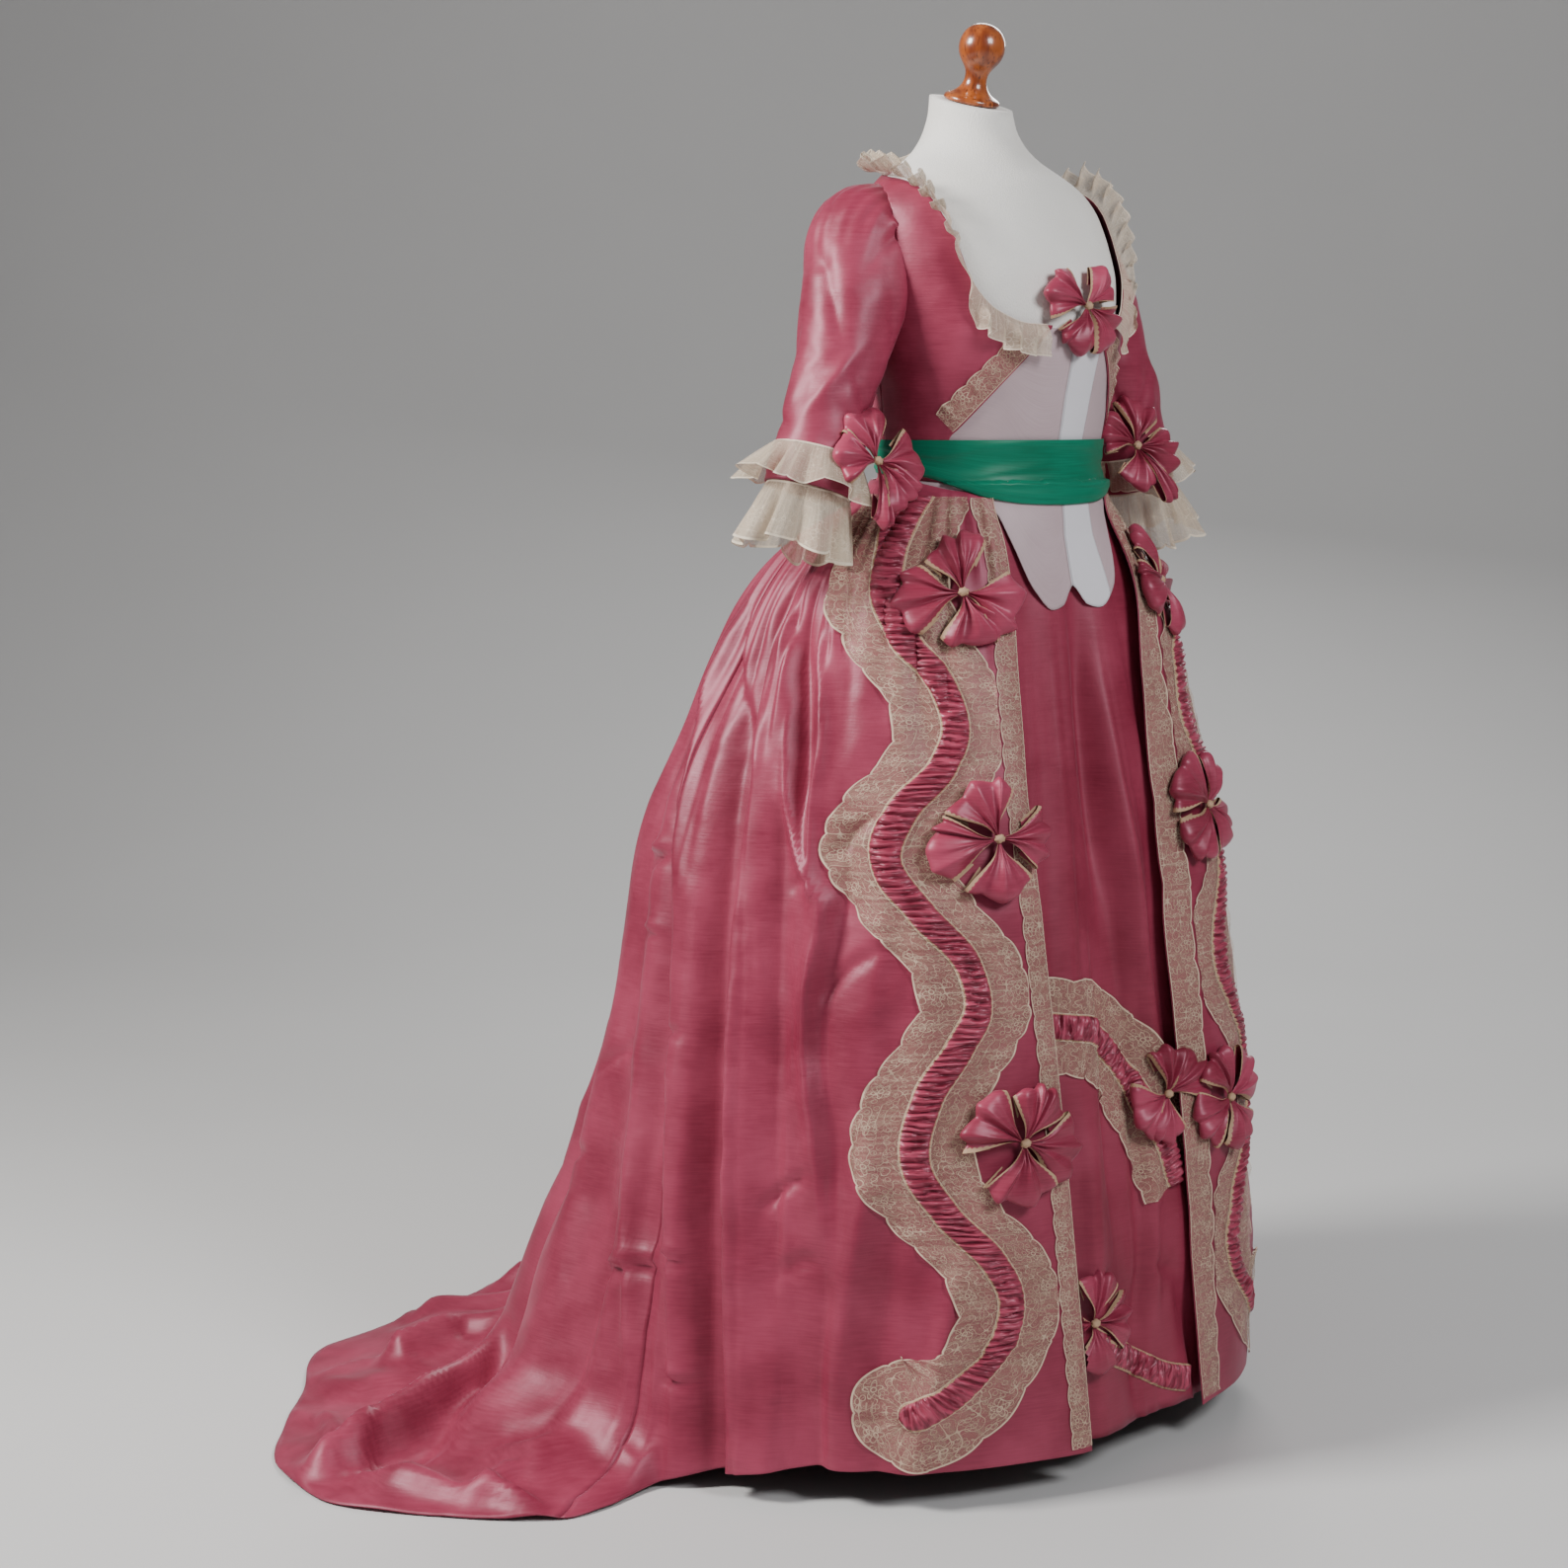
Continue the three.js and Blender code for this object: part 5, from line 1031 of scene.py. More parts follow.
@dataclass(frozen=True)
class PlainSilk:
    """A plain silk: the waistcoat's faille, the lining or the sash's satin."""

    name: str
    deep: Colour
    bright: Colour
    roughness: float
    rib: float = 700.0
    rib_height: float = 0.00015
    crumple: float = 0.5
    sheen: float = 0.2
    shine: float = 0.5
    # A pale cool band along one edge of the cloth, and its width: painted light where a waistcoat front
    # turns towards the light.
    painted_light_band: Colour | None = None
    painted_light_band_wide: float = 0.0

    def build(self) -> Material:
        """Build the material."""
        net = Net(self.name)
        cloth = net.cloth()
        place = net.place()
        cloudy = net.noise(place, 9.0, 4.0)
        ribs = net.noise(net.scaled(cloth, (14.0, self.rib, 1.0)), 1.0, 2.0)
        folds = net.noise(place, 34.0, 3.0, "RIDGED_MULTIFRACTAL")
        colour = net.mix((cloudy * 0.6 + ribs * 0.4).smooth(0.3, 0.7), self.deep, self.bright)
        height = folds * (0.0009 * self.crumple) + ribs * self.rib_height
        # Painted light: a pale cool band along the edge where the cloth turns towards the light; the groove
        # along the band's edge is relief.
        if self.painted_light_band is not None:
            across, _ = net.parts(cloth)
            band = 1 - across.smooth(self.painted_light_band_wide - 0.001, self.painted_light_band_wide)
            seam = 1 - abs(across - self.painted_light_band_wide).smooth(0.0004, 0.0016)
            colour = net.mix(band, colour, self.painted_light_band)
            height = height - seam * 0.0009
        return net.surface({
            "Base Color": colour, "Roughness": ribs * 0.12 + (self.roughness - 0.06),
            "Normal": net.bump(height), "Sheen Weight": self.sheen, "Specular IOR Level": self.shine,
        })


@dataclass(frozen=True)
class Jersey:
    """The form's fine off-white knit, a little worn."""

    name: str = "jersey"

    def build(self) -> Material:
        """Build the material."""
        net = Net(self.name)
        place = net.place()
        cloudy = net.noise(place, 5.0, 4.0)
        knit = net.node("ShaderNodeTexVoronoi", {"feature": "F1"},
                        {"Vector": net.scaled(place, (1.0, 1.0, 0.7)), "Scale": 620.0})[0]
        colour = net.mix(cloudy.smooth(0.3, 0.7), (0.78, 0.75, 0.70), (0.86, 0.84, 0.80))
        return net.surface({
            "Base Color": colour, "Roughness": cloudy * 0.1 + 0.8, "Normal": net.bump(knit * 0.0004),
            "Sheen Weight": 0.25,
        })


@dataclass(frozen=True)
class TurnedWood:
    """The knob's polished orange-brown wood, with rings of grain."""

    name: str = "turned_wood"

    def build(self) -> Material:
        """Build the material."""
        net = Net(self.name)
        place = net.place()
        grain = net.noise(net.scaled(place, (60.0, 60.0, 9.0)), 1.0, 5.0)
        pores = net.noise(net.scaled(place, (420.0, 420.0, 60.0)), 1.0, 2.0)
        colour = net.mix(grain.smooth(0.35, 0.65), (0.17, 0.030, 0.006), (0.42, 0.105, 0.02))
        return net.surface({
            "Base Color": net.mix(pores.smooth(0.3, 0.45), (0.10, 0.018, 0.004), colour),
            "Roughness": grain * 0.1 + 0.24, "Normal": net.bump(pores * 0.0001),
            "Coat Weight": 0.6, "Coat Roughness": 0.12,
        })


@dataclass(frozen=True)
class StandPaint:
    """The stand's dark satin paint over metal, rubbed a little at random."""

    name: str = "stand_paint"

    def build(self) -> Material:
        """Build the material."""
        net = Net(self.name)
        place = net.place()
        cloudy = net.noise(place, 18.0, 5.0)
        grit = net.noise(place, 900.0, 2.0)
        colour = net.mix(cloudy.smooth(0.35, 0.7), (0.018, 0.018, 0.02), (0.035, 0.035, 0.038))
        return net.surface({
            "Base Color": colour, "Roughness": cloudy * 0.2 + 0.36, "Metallic": 0.3,
            "Normal": net.bump(grit * 0.00005),
        })


@dataclass(frozen=True)
class FloorPaint:
    """A plain pale floor."""

    name: str = "floor_paint"

    def build(self) -> Material:
        """Build the material."""
        net = Net(self.name)
        cloudy = net.noise(net.place(), 1.2, 3.0)
        colour = net.mix(cloudy, (0.56, 0.555, 0.55), (0.60, 0.595, 0.59))
        return net.surface({"Base Color": colour, "Roughness": 0.75, "Specular IOR Level": 0.2})


class Maker(Protocol):
    """Anything that builds a material."""

    def build(self) -> Material:
        """Build the material."""


def finish(maker: Maker) -> Material:
    """A field that holds the material of a finish, built once."""
    return field(default_factory=maker.build)


@dataclass
class Finishes:
    """All finishes, built once."""

    taffeta: Material = finish(Taffeta())
    petticoat: Material = finish(Taffeta(
        "petticoat_taffeta", deep=(0.165, 0.011, 0.028), bright=(0.30, 0.040, 0.076), crumple=0.8))
    bow: Material = finish(Taffeta(
        "bow_taffeta", deep=(0.15, 0.008, 0.022), bright=(0.42, 0.060, 0.115), roughness=0.42, shine=0.65,
        crumple=0.7, edging=Edging.PICOT))
    # The ruched band's stripes across its gathers are painted shade and highlight, from its dark deep colour
    # to its bright one.
    ruched: Material = finish(Taffeta(
        "ruched_taffeta", deep=(0.10, 0.004, 0.013), bright=(0.42, 0.060, 0.11), roughness=0.4, shine=0.7,
        crumple=0.4, gathers=0.75, edging=Edging.CORD))
    lace: Material = finish(Lace())
    narrow_lace: Material = finish(Lace("narrow_lace", wide=28.0, repeat=26.0))
    cuff_lace: Material = finish(Lace(
        "cuff_lace", wide=70.0, repeat=44.0, thread=(0.76, 0.66, 0.52), net_share=0.62, heading=0.03))
    neck_lace: Material = finish(Lace(
        "neck_lace", wide=36.0, repeat=34.0, thread=(0.76, 0.66, 0.53), net_share=0.7))
    lining: Material = finish(PlainSilk(
        "lining_silk", deep=(0.16, 0.002, 0.008), bright=(0.28, 0.006, 0.02), roughness=0.5))
    # The waistcoat's pale cool band along the left front's middle edge is painted light.
    waistcoat: Material = finish(PlainSilk(
        "waistcoat_silk", deep=(0.42, 0.31, 0.33), bright=(0.50, 0.38, 0.405), roughness=0.55, crumple=0.25,
        sheen=0.1, painted_light_band=(0.66, 0.64, 0.68), painted_light_band_wide=0.052))
    satin: Material = finish(PlainSilk(
        "green_satin", deep=(0.0, 0.125, 0.066), bright=(0.0, 0.20, 0.115), roughness=0.42,
        rib_height=0.00004, crumple=0.1, sheen=0.0, shine=0.25))
    jersey: Material = finish(Jersey())
    wood: Material = finish(TurnedWood())
    paint: Material = finish(StandPaint())
    floor: Material = finish(FloorPaint())


# ---------------------------------------------------------------- the dress form and stand


@dataclass
class DressForm:
    """The limbless form, its turned knob and its stand."""

    neck_tilt: float = 16.0
    neck_centre: float = 30.0
    knob_gap: float = 0.35
    knob_profile: Points = (
        (0.0, 0.0), (31.0, 0.0), (32.5, 2.0), (32.0, 5.5), (30.0, 7.5), (25.0, 9.5), (19.5, 13.0),
        (15.5, 17.5), (13.2, 23.0), (12.6, 28.0), (12.9, 33.0), (14.6, 38.0), (19.0, 43.5), (23.5, 50.0),
        (26.0, 57.0), (26.6, 64.0), (25.4, 71.5), (22.0, 79.0), (16.5, 85.0), (9.0, 88.6), (3.0, 89.5),
        (0.0, 89.5),
    )

    def torso(self, finishes: Finishes) -> None:
        """Build the smooth covered form."""

        def side(u: Array, v: Array) -> Array:
            """The form between its underside and its neck."""
            return body_point(360 * u - 180, mix(FORM_FOOT, FORM_TOP, v), 0.0)

        cloth = Cloth().patch(96, 90, side, (0.9, 0.6))
        for height in (FORM_TOP, FORM_FOOT):
            rim, back = (body_point(np.array([turn]), np.array([height]), 0.0)[0] for turn in (0.0, 180.0))

            def cap(u: Array, v: Array, z: float = height, middle: Array = (rim + back) / 2) -> Array:
                """Close the form with a disc from its rim to its middle."""
                edge = body_point(360 * u - 180, np.full_like(u, z), 0.0)
                return mix(edge, middle, v[:, None])

            cloth.patch(96, 6, cap, (0.9, 0.1), flip=height == FORM_FOOT)
        settle(cloth.merged().finish("form", finishes.jersey), "form_torso")

    def knob(self, finishes: Finishes) -> None:
        """Turn the knob from its profile and stand it on the tilted top of the neck."""
        bm = bmesh.new()
        verts = [bm.verts.new((x * MM, 0.0, z * MM)) for x, z in self.knob_profile]
        edges = [bm.edges.new(pair) for pair in zip(verts, verts[1:])]
        bmesh.ops.spin(bm, geom=verts + edges, cent=(0, 0, 0), axis=(0, 0, 1), dvec=(0, 0, 0),
                       angle=TAU, steps=48, use_merge=True, use_duplicate=False)
        bmesh.ops.remove_doubles(bm, verts=bm.verts, dist=0.05 * MM)
        bmesh.ops.recalc_face_normals(bm, faces=bm.faces)
        lean = math.radians(self.neck_tilt)
        tilt = Matrix.Rotation(lean, 4, "X")
        back = self.neck_centre - self.knob_gap * math.sin(lean)
        up = FORM_TOP + self.knob_gap * math.cos(lean)
        shift = Vector((0, back * MM, up * MM))
        bmesh.ops.transform(bm, matrix=Matrix.Translation(shift) @ tilt, verts=bm.verts)
        for face in bm.faces:
            face.smooth = True
        piece = mesh_piece("knob", bm, finishes.wood)
        rounding = piece.modifiers.new("rounding", "SUBSURF")
        rounding.levels = 1
        rounding.render_levels = 1
        settle(piece, "neck_knob")

    def stand(self, finishes: Finishes) -> None:
        """Paint the pole and the disc, which keep their solids."""
        for node in ("stand_pole", "stand_disc"):
            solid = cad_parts[node]
            solid.data.materials.clear()
            solid.data.materials.append(finishes.paint)
            log.info("%s: painted", node)

    def build(self, finishes: Finishes) -> None:
        """Build every part of the form."""
        self.torso(finishes)
        self.knob(finishes)
        self.stand(finishes)


# ---------------------------------------------------------------- sleeves


@dataclass(frozen=True)
class SleeveLine:
    """The run of a sleeve from shoulder to elbow, as rings of a centre and a radius."""

    rings: tuple[tuple[float, float, float, float], ...] = (
        (98, 26, 1350, 42), (150, 40, 1335, 63), (186, 22, 1270, 58), (219, 12, 1190, 48.5),
        (250, 9, 1108, 47), (264, 10, 1062, 48),
    )
    closer: float = 8.0

    def centre(self, step: Array) -> Array:
        """The middle of the right sleeve at a ring number, on a smooth curve through the rings."""
        points = np.array([(-x, y, z) for x, y, z, _ in self.rings], float)
        points = np.vstack([2 * points[0] - points[1], points, 2 * points[-1] - points[-2]])
        low = np.clip(np.floor(step).astype(int), 0, len(self.rings) - 2)
        t = (step - low)[:, None]
        a, b, c, d = (points[low + k] for k in range(4))
        pairs = ((a, b), (b, c), (c, d))
        first, middle, last = (np.sqrt(np.linalg.norm(q - p, axis=1))[:, None] for p, q in pairs)
        start = ((b - a) / first - (c - a) / (first + middle) + (c - b) / middle) * middle
        end = ((c - b) / middle - (d - b) / (middle + last) + (d - c) / last) * middle
        bend = (-3 * b + 3 * c - 2 * start - end) * t**2 + (2 * b - 2 * c + start + end) * t**3
        return b + start * t + bend

    def frames(self, step: Array) -> tuple[Array, Array, Array, Array, Array]:
        """Centre, directions along, across and forward, and radius at a ring number."""
        last = len(self.rings) - 1
        at = np.clip(step, 0.0, last)
        along = unit(self.centre(np.minimum(at + 0.001, last)) - self.centre(np.maximum(at - 0.001, 0.0)))
        across = unit(np.cross(np.array([0.0, 1.0, 0.0]), along))
        forward = unit(np.cross(along, across))
        radius = np.interp(at, range(len(self.rings)), [ring[3] for ring in self.rings])
        return self.centre(at), along, across, forward, radius

    def point(self, side: Side, step: Array, turn: Array, offset: Array, drop: Array = 0.0) -> Array:
        """A point of a sleeve.

        Args:
            side: which sleeve.
            step: ring number.
            turn: degrees around the sleeve: 0 is the side by the body, -90 the front and 180 the outside.
            offset: distance from the sleeve's outer face.
            drop: distance past the ring, along the sleeve.

        Returns:
            The points.
        """
        given = (np.asarray(part, float) for part in (step, turn, offset, drop))
        step, turn, offset, drop = np.broadcast_arrays(*given)
        centre, along, across, forward, radius = self.frames(step)
        reach = (radius + offset)[:, None]
        angle = np.radians(turn)[:, None]
        point = centre - across * reach * np.cos(angle) + forward * reach * np.sin(angle)
        point = point + along * drop[:, None]
        return self.mirrored(point) if side is Side.LEFT else point

    def mirrored(self, point: Array) -> Array:
        """The same place on the left sleeve, which hangs a little closer."""
        share = np.clip((1330.0 - point[..., 2]) / 268.0, 0.0, 1.0)
        return np.stack([-point[..., 0] - self.closer * share, point[..., 1], point[..., 2]], axis=-1)

    def inside(self, points: Array, shrink: float) -> Array:
        """Whether points lie inside one of the sleeves, made slimmer by a distance."""
        steps = np.linspace(0.0, len(self.rings) - 1, 60)
        centre, _, _, _, radius = self.frames(steps)
        within = np.zeros(len(points), bool)
        for middle in (centre, self.mirrored(centre)):
            gap = np.linalg.norm(points[:, None, :] - middle[None, :, :], axis=2)
            within |= np.any(gap < radius[None, :] - shrink, axis=1)
        return within


SLEEVE = SleeveLine()

# Creases of a sleeve: ring number, turn, half length, width, depth and slant.
SLEEVE_CREASES = (
    (1.7, -42, 84, 12, -5.5, 28), (2.1, -70, 84, 13, 5.0, 20), (1.35, -100, 62, 10, -4.5, -34),
    (2.9, -34, 70, 10, -5, -30), (3.4, -80, 54, 9, -4.5, 58), (3.75, -60, 50, 7, 4.0, 74),
    (1.35, 40, 60, 8, -5.1, 38), (1.8, 82, 52, 7, -4.2, -32), (2.3, 20, 64, 9, 3.9, 28),
    (2.7, 66, 56, 8, -4.8, 50), (3.1, 120, 60, 8, -4.2, -46), (3.35, 30, 50, 7, -4.5, 62),
    (3.6, 85, 48, 7, 4.2, 70), (3.8, 150, 46, 7, -4.5, 76), (3.9, 48, 44, 6, -4.8, 84),
    (4.1, 110, 44, 6, -3.9, 100), (2.2, 200, 60, 9, -4.5, 30), (3.2, 230, 56, 8, 4.2, -40),
    (3.7, 275, 48, 7, -4.5, 72), (2.6, 300, 60, 8, -4.2, 42), (1.6, 330, 58, 8, 3.9, -30),
    (3.4, 330, 50, 7, -4.2, 60),
)


@dataclass
class Sleeve:
    """One elbow sleeve with its lining, two lace ruffles and a bow."""

    side: Side
    wall: float = 1.0
    start: float = 0.35
    last: float = float(len(SLEEVE.rings) - 1)
    mean_radius: float = 52.0
    ring_step: float = 62.0

    def relief(self, step: Array, turn: Array) -> Array:
        """How the creases move the sleeve's cloth."""
        moved = 1.4 * ripple(41, turn / 40.0, step * 2.4) + 0.7 * ripple(42, turn / 17.0, step * 6.0)
        for at, middle, length, width, depth, slant in SLEEVE_CREASES:
            away = (turn - middle + 180.0) % 360.0 - 180.0
            x = np.radians(away) * self.mean_radius
            along, across = leaning(x, (step - at) * self.ring_step, slant)
            moved += depth * np.exp(-np.abs(across / width) ** 1.5 - (along / length * 1.5) ** 4)
        gathered = np.exp(-(((step - 1.0) / 0.55) ** 2))
        return moved + gathered * 0.8 * np.sin(np.radians(turn) * 22.0)

    def tube(self, name: str, faces: tuple[int, int], shape: Shape, uv: tuple[float, float], flipped: bool,
             finish_of: Material, wall: float) -> bpy.types.Object:
        """Build a piece that goes round the sleeve.

        Args:
            name: the piece's name.
            faces: numbers of faces around and along.
            shape: its outer face, for shares around and upwards.
            uv: size of its texture coordinates around and along.
            flipped: whether its texture starts at the upper edge.
            finish_of: its material.
            wall: thickness in millimetres, or 0.

        Returns:
            The object.
        """
        size = (uv[0], -uv[1]) if flipped else uv
        start = (0.0, uv[1]) if flipped else (0.0, 0.0)
        cloth = Cloth().patch(*faces, shape, size, start, self.side is Side.RIGHT)
        return cloth.merged().finish(name, finish_of, wall)

    def arm(self, finishes: Finishes) -> None:
        """Build the sleeve itself."""

        def shape(u: Array, v: Array) -> Array:
            """The sleeve's outer face."""
            step = mix(self.last, self.start, v)
            turn = 360.0 * u
            calm = 1 - ease((step - 4.85) / 0.15) * 0.7
            return SLEEVE.point(self.side, step, turn, self.relief(step, turn) * calm)

        word = self.side.word
        taffeta = finishes.taffeta
        piece = self.tube(f"sleeve_{word}_cloth", (110, 84), shape, (0.33, 0.34), False, taffeta, self.wall)
        settle(piece, f"sleeve_{word}", Cut(0.37, 0.32, Held.STRETCHED, 0.112))

    def lining(self, finishes: Finishes) -> None:
        """Build the crimson lining that shows inside the elbow."""

        def shape(u: Array, v: Array) -> Array:
            """The lining's outer face."""
            step = mix(self.last, self.last - 1.0, v)
            return SLEEVE.point(self.side, step, 360.0 * u, -2.4 + 0.5 * ripple(44, u * 9, step * 5))

        word = self.side.word
        piece = self.tube(f"lining_{word}", (96, 14), shape, (0.3, 0.05), False, finishes.lining, 0.8)
        settle(piece, f"sleeve_lining_{word}", Cut(0.29, 0.048, Held.STRETCHED))

    def flutes(self, turn: Array, seed: int, down: Array, size: float) -> Array:
        """Nine uneven flutes of a ruffle around the sleeve.

        Args:
            turn: degrees around the sleeve.
            seed: picks the pattern.
            down: share of the way to the free edge.
            size: height of a flute at the free edge.

        Returns:
            How far the ruffle stands out.
        """
        uneven = 1.6 * ripple(seed, turn / 45.0 % 8.0, 0.0) * np.sin(np.radians(turn) / 2) ** 2
        phase = np.radians(turn) * 9 + uneven
        return down**0.8 * size * (np.sin(phase) + 0.3 * np.sin(2 * phase + 0.7))

    def upper_ruffle(self, finishes: Finishes) -> None:
        """Build the short ruffle that stands over the cuff."""

        def shape(u: Array, v: Array) -> Array:
            """The ruffle, from its free edge up to its gathered one."""
            turn = 360.0 * u
            down = 1 - v
            step = mix(4.1, 5.0, down)
            spread = mix(0.8, 27.0, down**0.8) * (1 - 0.5 * np.maximum(0, np.cos(np.radians(turn))))
            wave = self.flutes(turn, 51, down, 10.0) * (1 + 0.8 * ripple(55, turn / 36.0, 2.0))
            hang = 13.0 * down * ripple(52, turn / 36.0, 0.5)
            return SLEEVE.point(self.side, step, turn, spread + 1.2 + wave, hang)

        word = self.side.word
        piece = self.tube(f"cuff_upper_{word}", (260, 22), shape, (12.0, 1.0), True, finishes.cuff_lace, 0.0)
        settle(piece, f"cuff_lace_upper_{word}", Cut(0.52, 0.048, Held.GATHERED))

    def lower_ruffle(self, finishes: Finishes) -> None:
        """Build the longer ruffle that hangs from the cuff."""

        def shape(u: Array, v: Array) -> Array:
            """The ruffle, from its free edge up to its sewn one."""
            turn = 360.0 * u
            down = 1 - v
            inward = 1 - 0.55 * np.maximum(0, np.cos(np.radians(turn)))
            spread = mix(-2.0, 18.0, down**0.9) * inward
            wave = self.flutes(turn, 53, down, 9.0) * (1 + 0.8 * ripple(56, turn / 36.0, 1.0))
            hang = mix(0.4, 71.0, down) * (1 + 0.12 * ripple(54, turn / 36.0, 0.3))
            return SLEEVE.point(self.side, np.full_like(u, self.last), turn, spread + wave, hang)

        word = self.side.word
        piece = self.tube(f"cuff_lower_{word}", (260, 30), shape, (11.0, 1.0), True, finishes.cuff_lace, 0.0)
        settle(piece, f"cuff_lace_lower_{word}", Cut(0.46, 0.078, Held.GATHERED))

    def bow_place(self, x: Array, y: Array) -> tuple[Array, Array]:
        """The place and outward direction of the flat bow on the front of the cuff."""
        right = self.side is Side.RIGHT
        step = 4.15 if right else 3.85
        turn = -66.0 if right else -50.0
        face = math.radians(-104.0 if right else -90.0)
        _, along, across, forward, _ = (part[0] for part in SLEEVE.frames(np.array([step])))
        outward = -across * math.cos(face) + forward * math.sin(face)
        beside = across * math.sin(face) + forward * math.cos(face)
        x = x if right else -x
        knot = SLEEVE.point(Side.RIGHT, np.array([step]), turn, 22.0)[0]
        point = knot + beside * x[:, None] - along * y[:, None] - outward * 0.42 * y[:, None]
        normal = np.broadcast_to(unit(outward - along * 0.42), point.shape)
        if not right:
            point = SLEEVE.mirrored(point)
            normal = normal * np.array([-1.0, 1.0, 1.0])
        return point, normal

    def build(self, finishes: Finishes) -> None:
        """Build every part of the sleeve."""
        self.arm(finishes)
        self.lining(finishes)
        self.upper_ruffle(finishes)
        self.lower_ruffle(finishes)
        turns = (118.0, 188.0, 14.0, -40.0) if self.side is Side.RIGHT else (132.0, 52.0, -28.0, -122.0)
        word = self.side.word
        bow = Bow(f"sleeve_bow_{word}", f"bow_sleeve_{word}", turns, reach=55.0, tail=70.0, area_share=7.6,
                  seed=60 + self.side.value)
        bow.build(self.bow_place, finishes)


# ---------------------------------------------------------------- bows


LOOP_OUT = curve((0, 0.06), (0.3, 0.46), (0.52, 0.86), (0.66, 1.0), (0.78, 0.97), (1, 0.55))
LOOP_RISE = curve((0, 0.42), (0.12, 0.6), (0.36, 1.0), (0.54, 0.88), (0.66, 0.45), (0.76, 0.06), (1, 0.0))


@dataclass
class Bow:
    """A bow of four gathered ribbon loops, bound in the middle, with picot along the ribbon's edges.

    Attributes:
        name: the name of its piece.
        node: the name of its flat part.
        turns: directions of the loops in degrees.
        reach: length of a loop.
        height: how far a loop stands up.
        spread: half the opening angle of a loop in degrees.
        tail: length of a short end below the knot, or 0.
        seed: picks its creases.
        area_share: area of its ribbon, as a multiple of the reach squared.
        shown: share of the bow that isn't under other cloth.
        ribbon: width of its ribbon in metres.
    """

    name: str
    node: str
    turns: tuple[float, float, float, float]
    reach: float = 63.0
    height: float = 13.0
    spread: float = 39.0
    tail: float = 0.0
    seed: int = 70
    area_share: float = 6.4
    shown: float = 1.0
    ribbon: float = 0.06

    def loop(self, cloth: Cloth, place: Place, turn: float, reach: float, spread: float,
             number: int) -> None:
        """Add one loop of ribbon.

        Args:
            cloth: the mesh that it joins.
            place: the surface under the bow.
            turn: its direction in degrees.
            reach: its length.
            spread: half its opening angle in degrees.
            number: picks its creases.
        """
        seed = self.seed + 7 * number

        def shape(u: Array, v: Array) -> Array:
            """The loop: out over its upper face, round its end and back underneath."""
            side = 2 * v - 1
            fold = 1.15 * side + 0.5 * ripple(seed, v * 2.7, 0.0)
            fold = fold + 0.16 * ripple(seed + 2, v * 3.0, u * 2.0)
            wave = np.arcsin(0.97 * np.sin(TAU * fold)) / 1.33
            end = reach * (1 - 0.10 * side * side + 0.06 * wave + 0.04 * ripple(seed + 4, v * 2.0, 0.0))
            far = LOOP_OUT(u) * end
            opened = side * spread * (0.56 + 0.44 * ease(u * 1.8))
            angle = np.radians(turn + opened + 2.0 * wave * ease(u * 2.0))
            top = ease((0.78 - u) / 0.16)
            strong = np.sin(np.pi * np.clip(u / 0.72, 0.0, 1.0)) ** 0.6
            gather = 3.2 * side + 0.5 * ripple(seed + 5, v * 3, 1.0)
            tight = np.exp(-((u / 0.32) ** 2)) * np.sin(TAU * gather)
            crown = self.height * LOOP_RISE(u) * (1 - 0.42 * side**4)
            small = 0.4 - np.abs(ripple(seed + 6, v * 5.0, u * 3.0))
            rise = 1.6 + crown + top * strong * (3.9 * wave + 1.8 * tight + 2.4 * small)
            point, normal = place(np.cos(angle) * far, np.sin(angle) * far)
            return point + normal * np.maximum(rise, 0.8)[:, None]

        cloth.patch(22, 34, shape, (9.0, 1.0))

    def knot(self, cloth: Cloth, place: Place) -> None:
        """Add the small bound knot in the middle."""

        def shape(u: Array, v: Array) -> Array:
            """A puckered bead, from its rim to its top."""
            turn = TAU * u
            lean = mix(-0.5, 1.0, v) * math.pi / 2
            ridge = 1 + 0.12 * np.sin(turn * 6 + 2.0 * ripple(self.seed, u * 5, v * 2))
            reach = np.cos(lean) * ridge
            point, normal = place(np.cos(turn) * 5.4 * reach, np.sin(turn) * 4.6 * reach)
            return point + normal * (8.0 + 4.5 * np.sin(lean))[:, None]

        cloth.patch(20, 8, shape, (6.0, 0.0), (0.0, 1.0))

    def build(self, place: Place, finishes: Finishes,
              hidden: Callable[[Array], Array] | None = None) -> None:
        """Build the bow on a surface.

        Args:
            place: gives the point and the outward direction at a distance across and up.
            finishes: the materials.
            hidden: tells which points are cut away, where the bow goes under other cloth.
        """
        cloth = Cloth()
        for number, turn in enumerate(self.turns):
            reach = self.reach * (1.0 + 0.06 * math.sin(self.seed + 2.3 * number))
            spread = self.spread + 3.0 * math.sin(self.seed * 1.7 + number)
            self.loop(cloth, place, turn, reach, spread, number)
        if self.tail:
            self.loop(cloth, place, -84.0, self.tail, 11.0, 9)
        self.knot(cloth, place)
        if hidden is not None:
            cloth.without(hidden)
        piece = cloth.finish(self.name, finishes.bow)
        area = self.reach**2 * self.area_share * self.shown * MM**2
        settle(piece, self.node, Cut(area / self.ribbon, self.ribbon, Held.GATHERED))


def bow_on(radius_at: Shape, angle: float, z: float, lift: float) -> Place:
    """The place function of a bow on a skirt.

    Args:
        radius_at: radius of the smooth skirt at an angle and a height.
        angle: where the knot is.
        z: its height.
        lift: how far the bow is above that surface.

    Returns:
        A function from distances across and up to a point and the outward direction.
    """
    radius = float(radius_at(np.array([angle]), np.array([z]))[0])

    def surface(turn: Array, height: Array) -> Array:
        """The smooth skirt under the bow."""
        return around(turn, radius_at(turn, height) + lift, height)

    def place(x: Array, y: Array) -> tuple[Array, Array]:
        """The point and the outward direction."""
        turn = angle + np.degrees(x / radius)
        return surface(turn, z + y), surface_normals(surface, turn, z + y)

    return place


# ---------------------------------------------------------------- bodice, waistcoat and sash


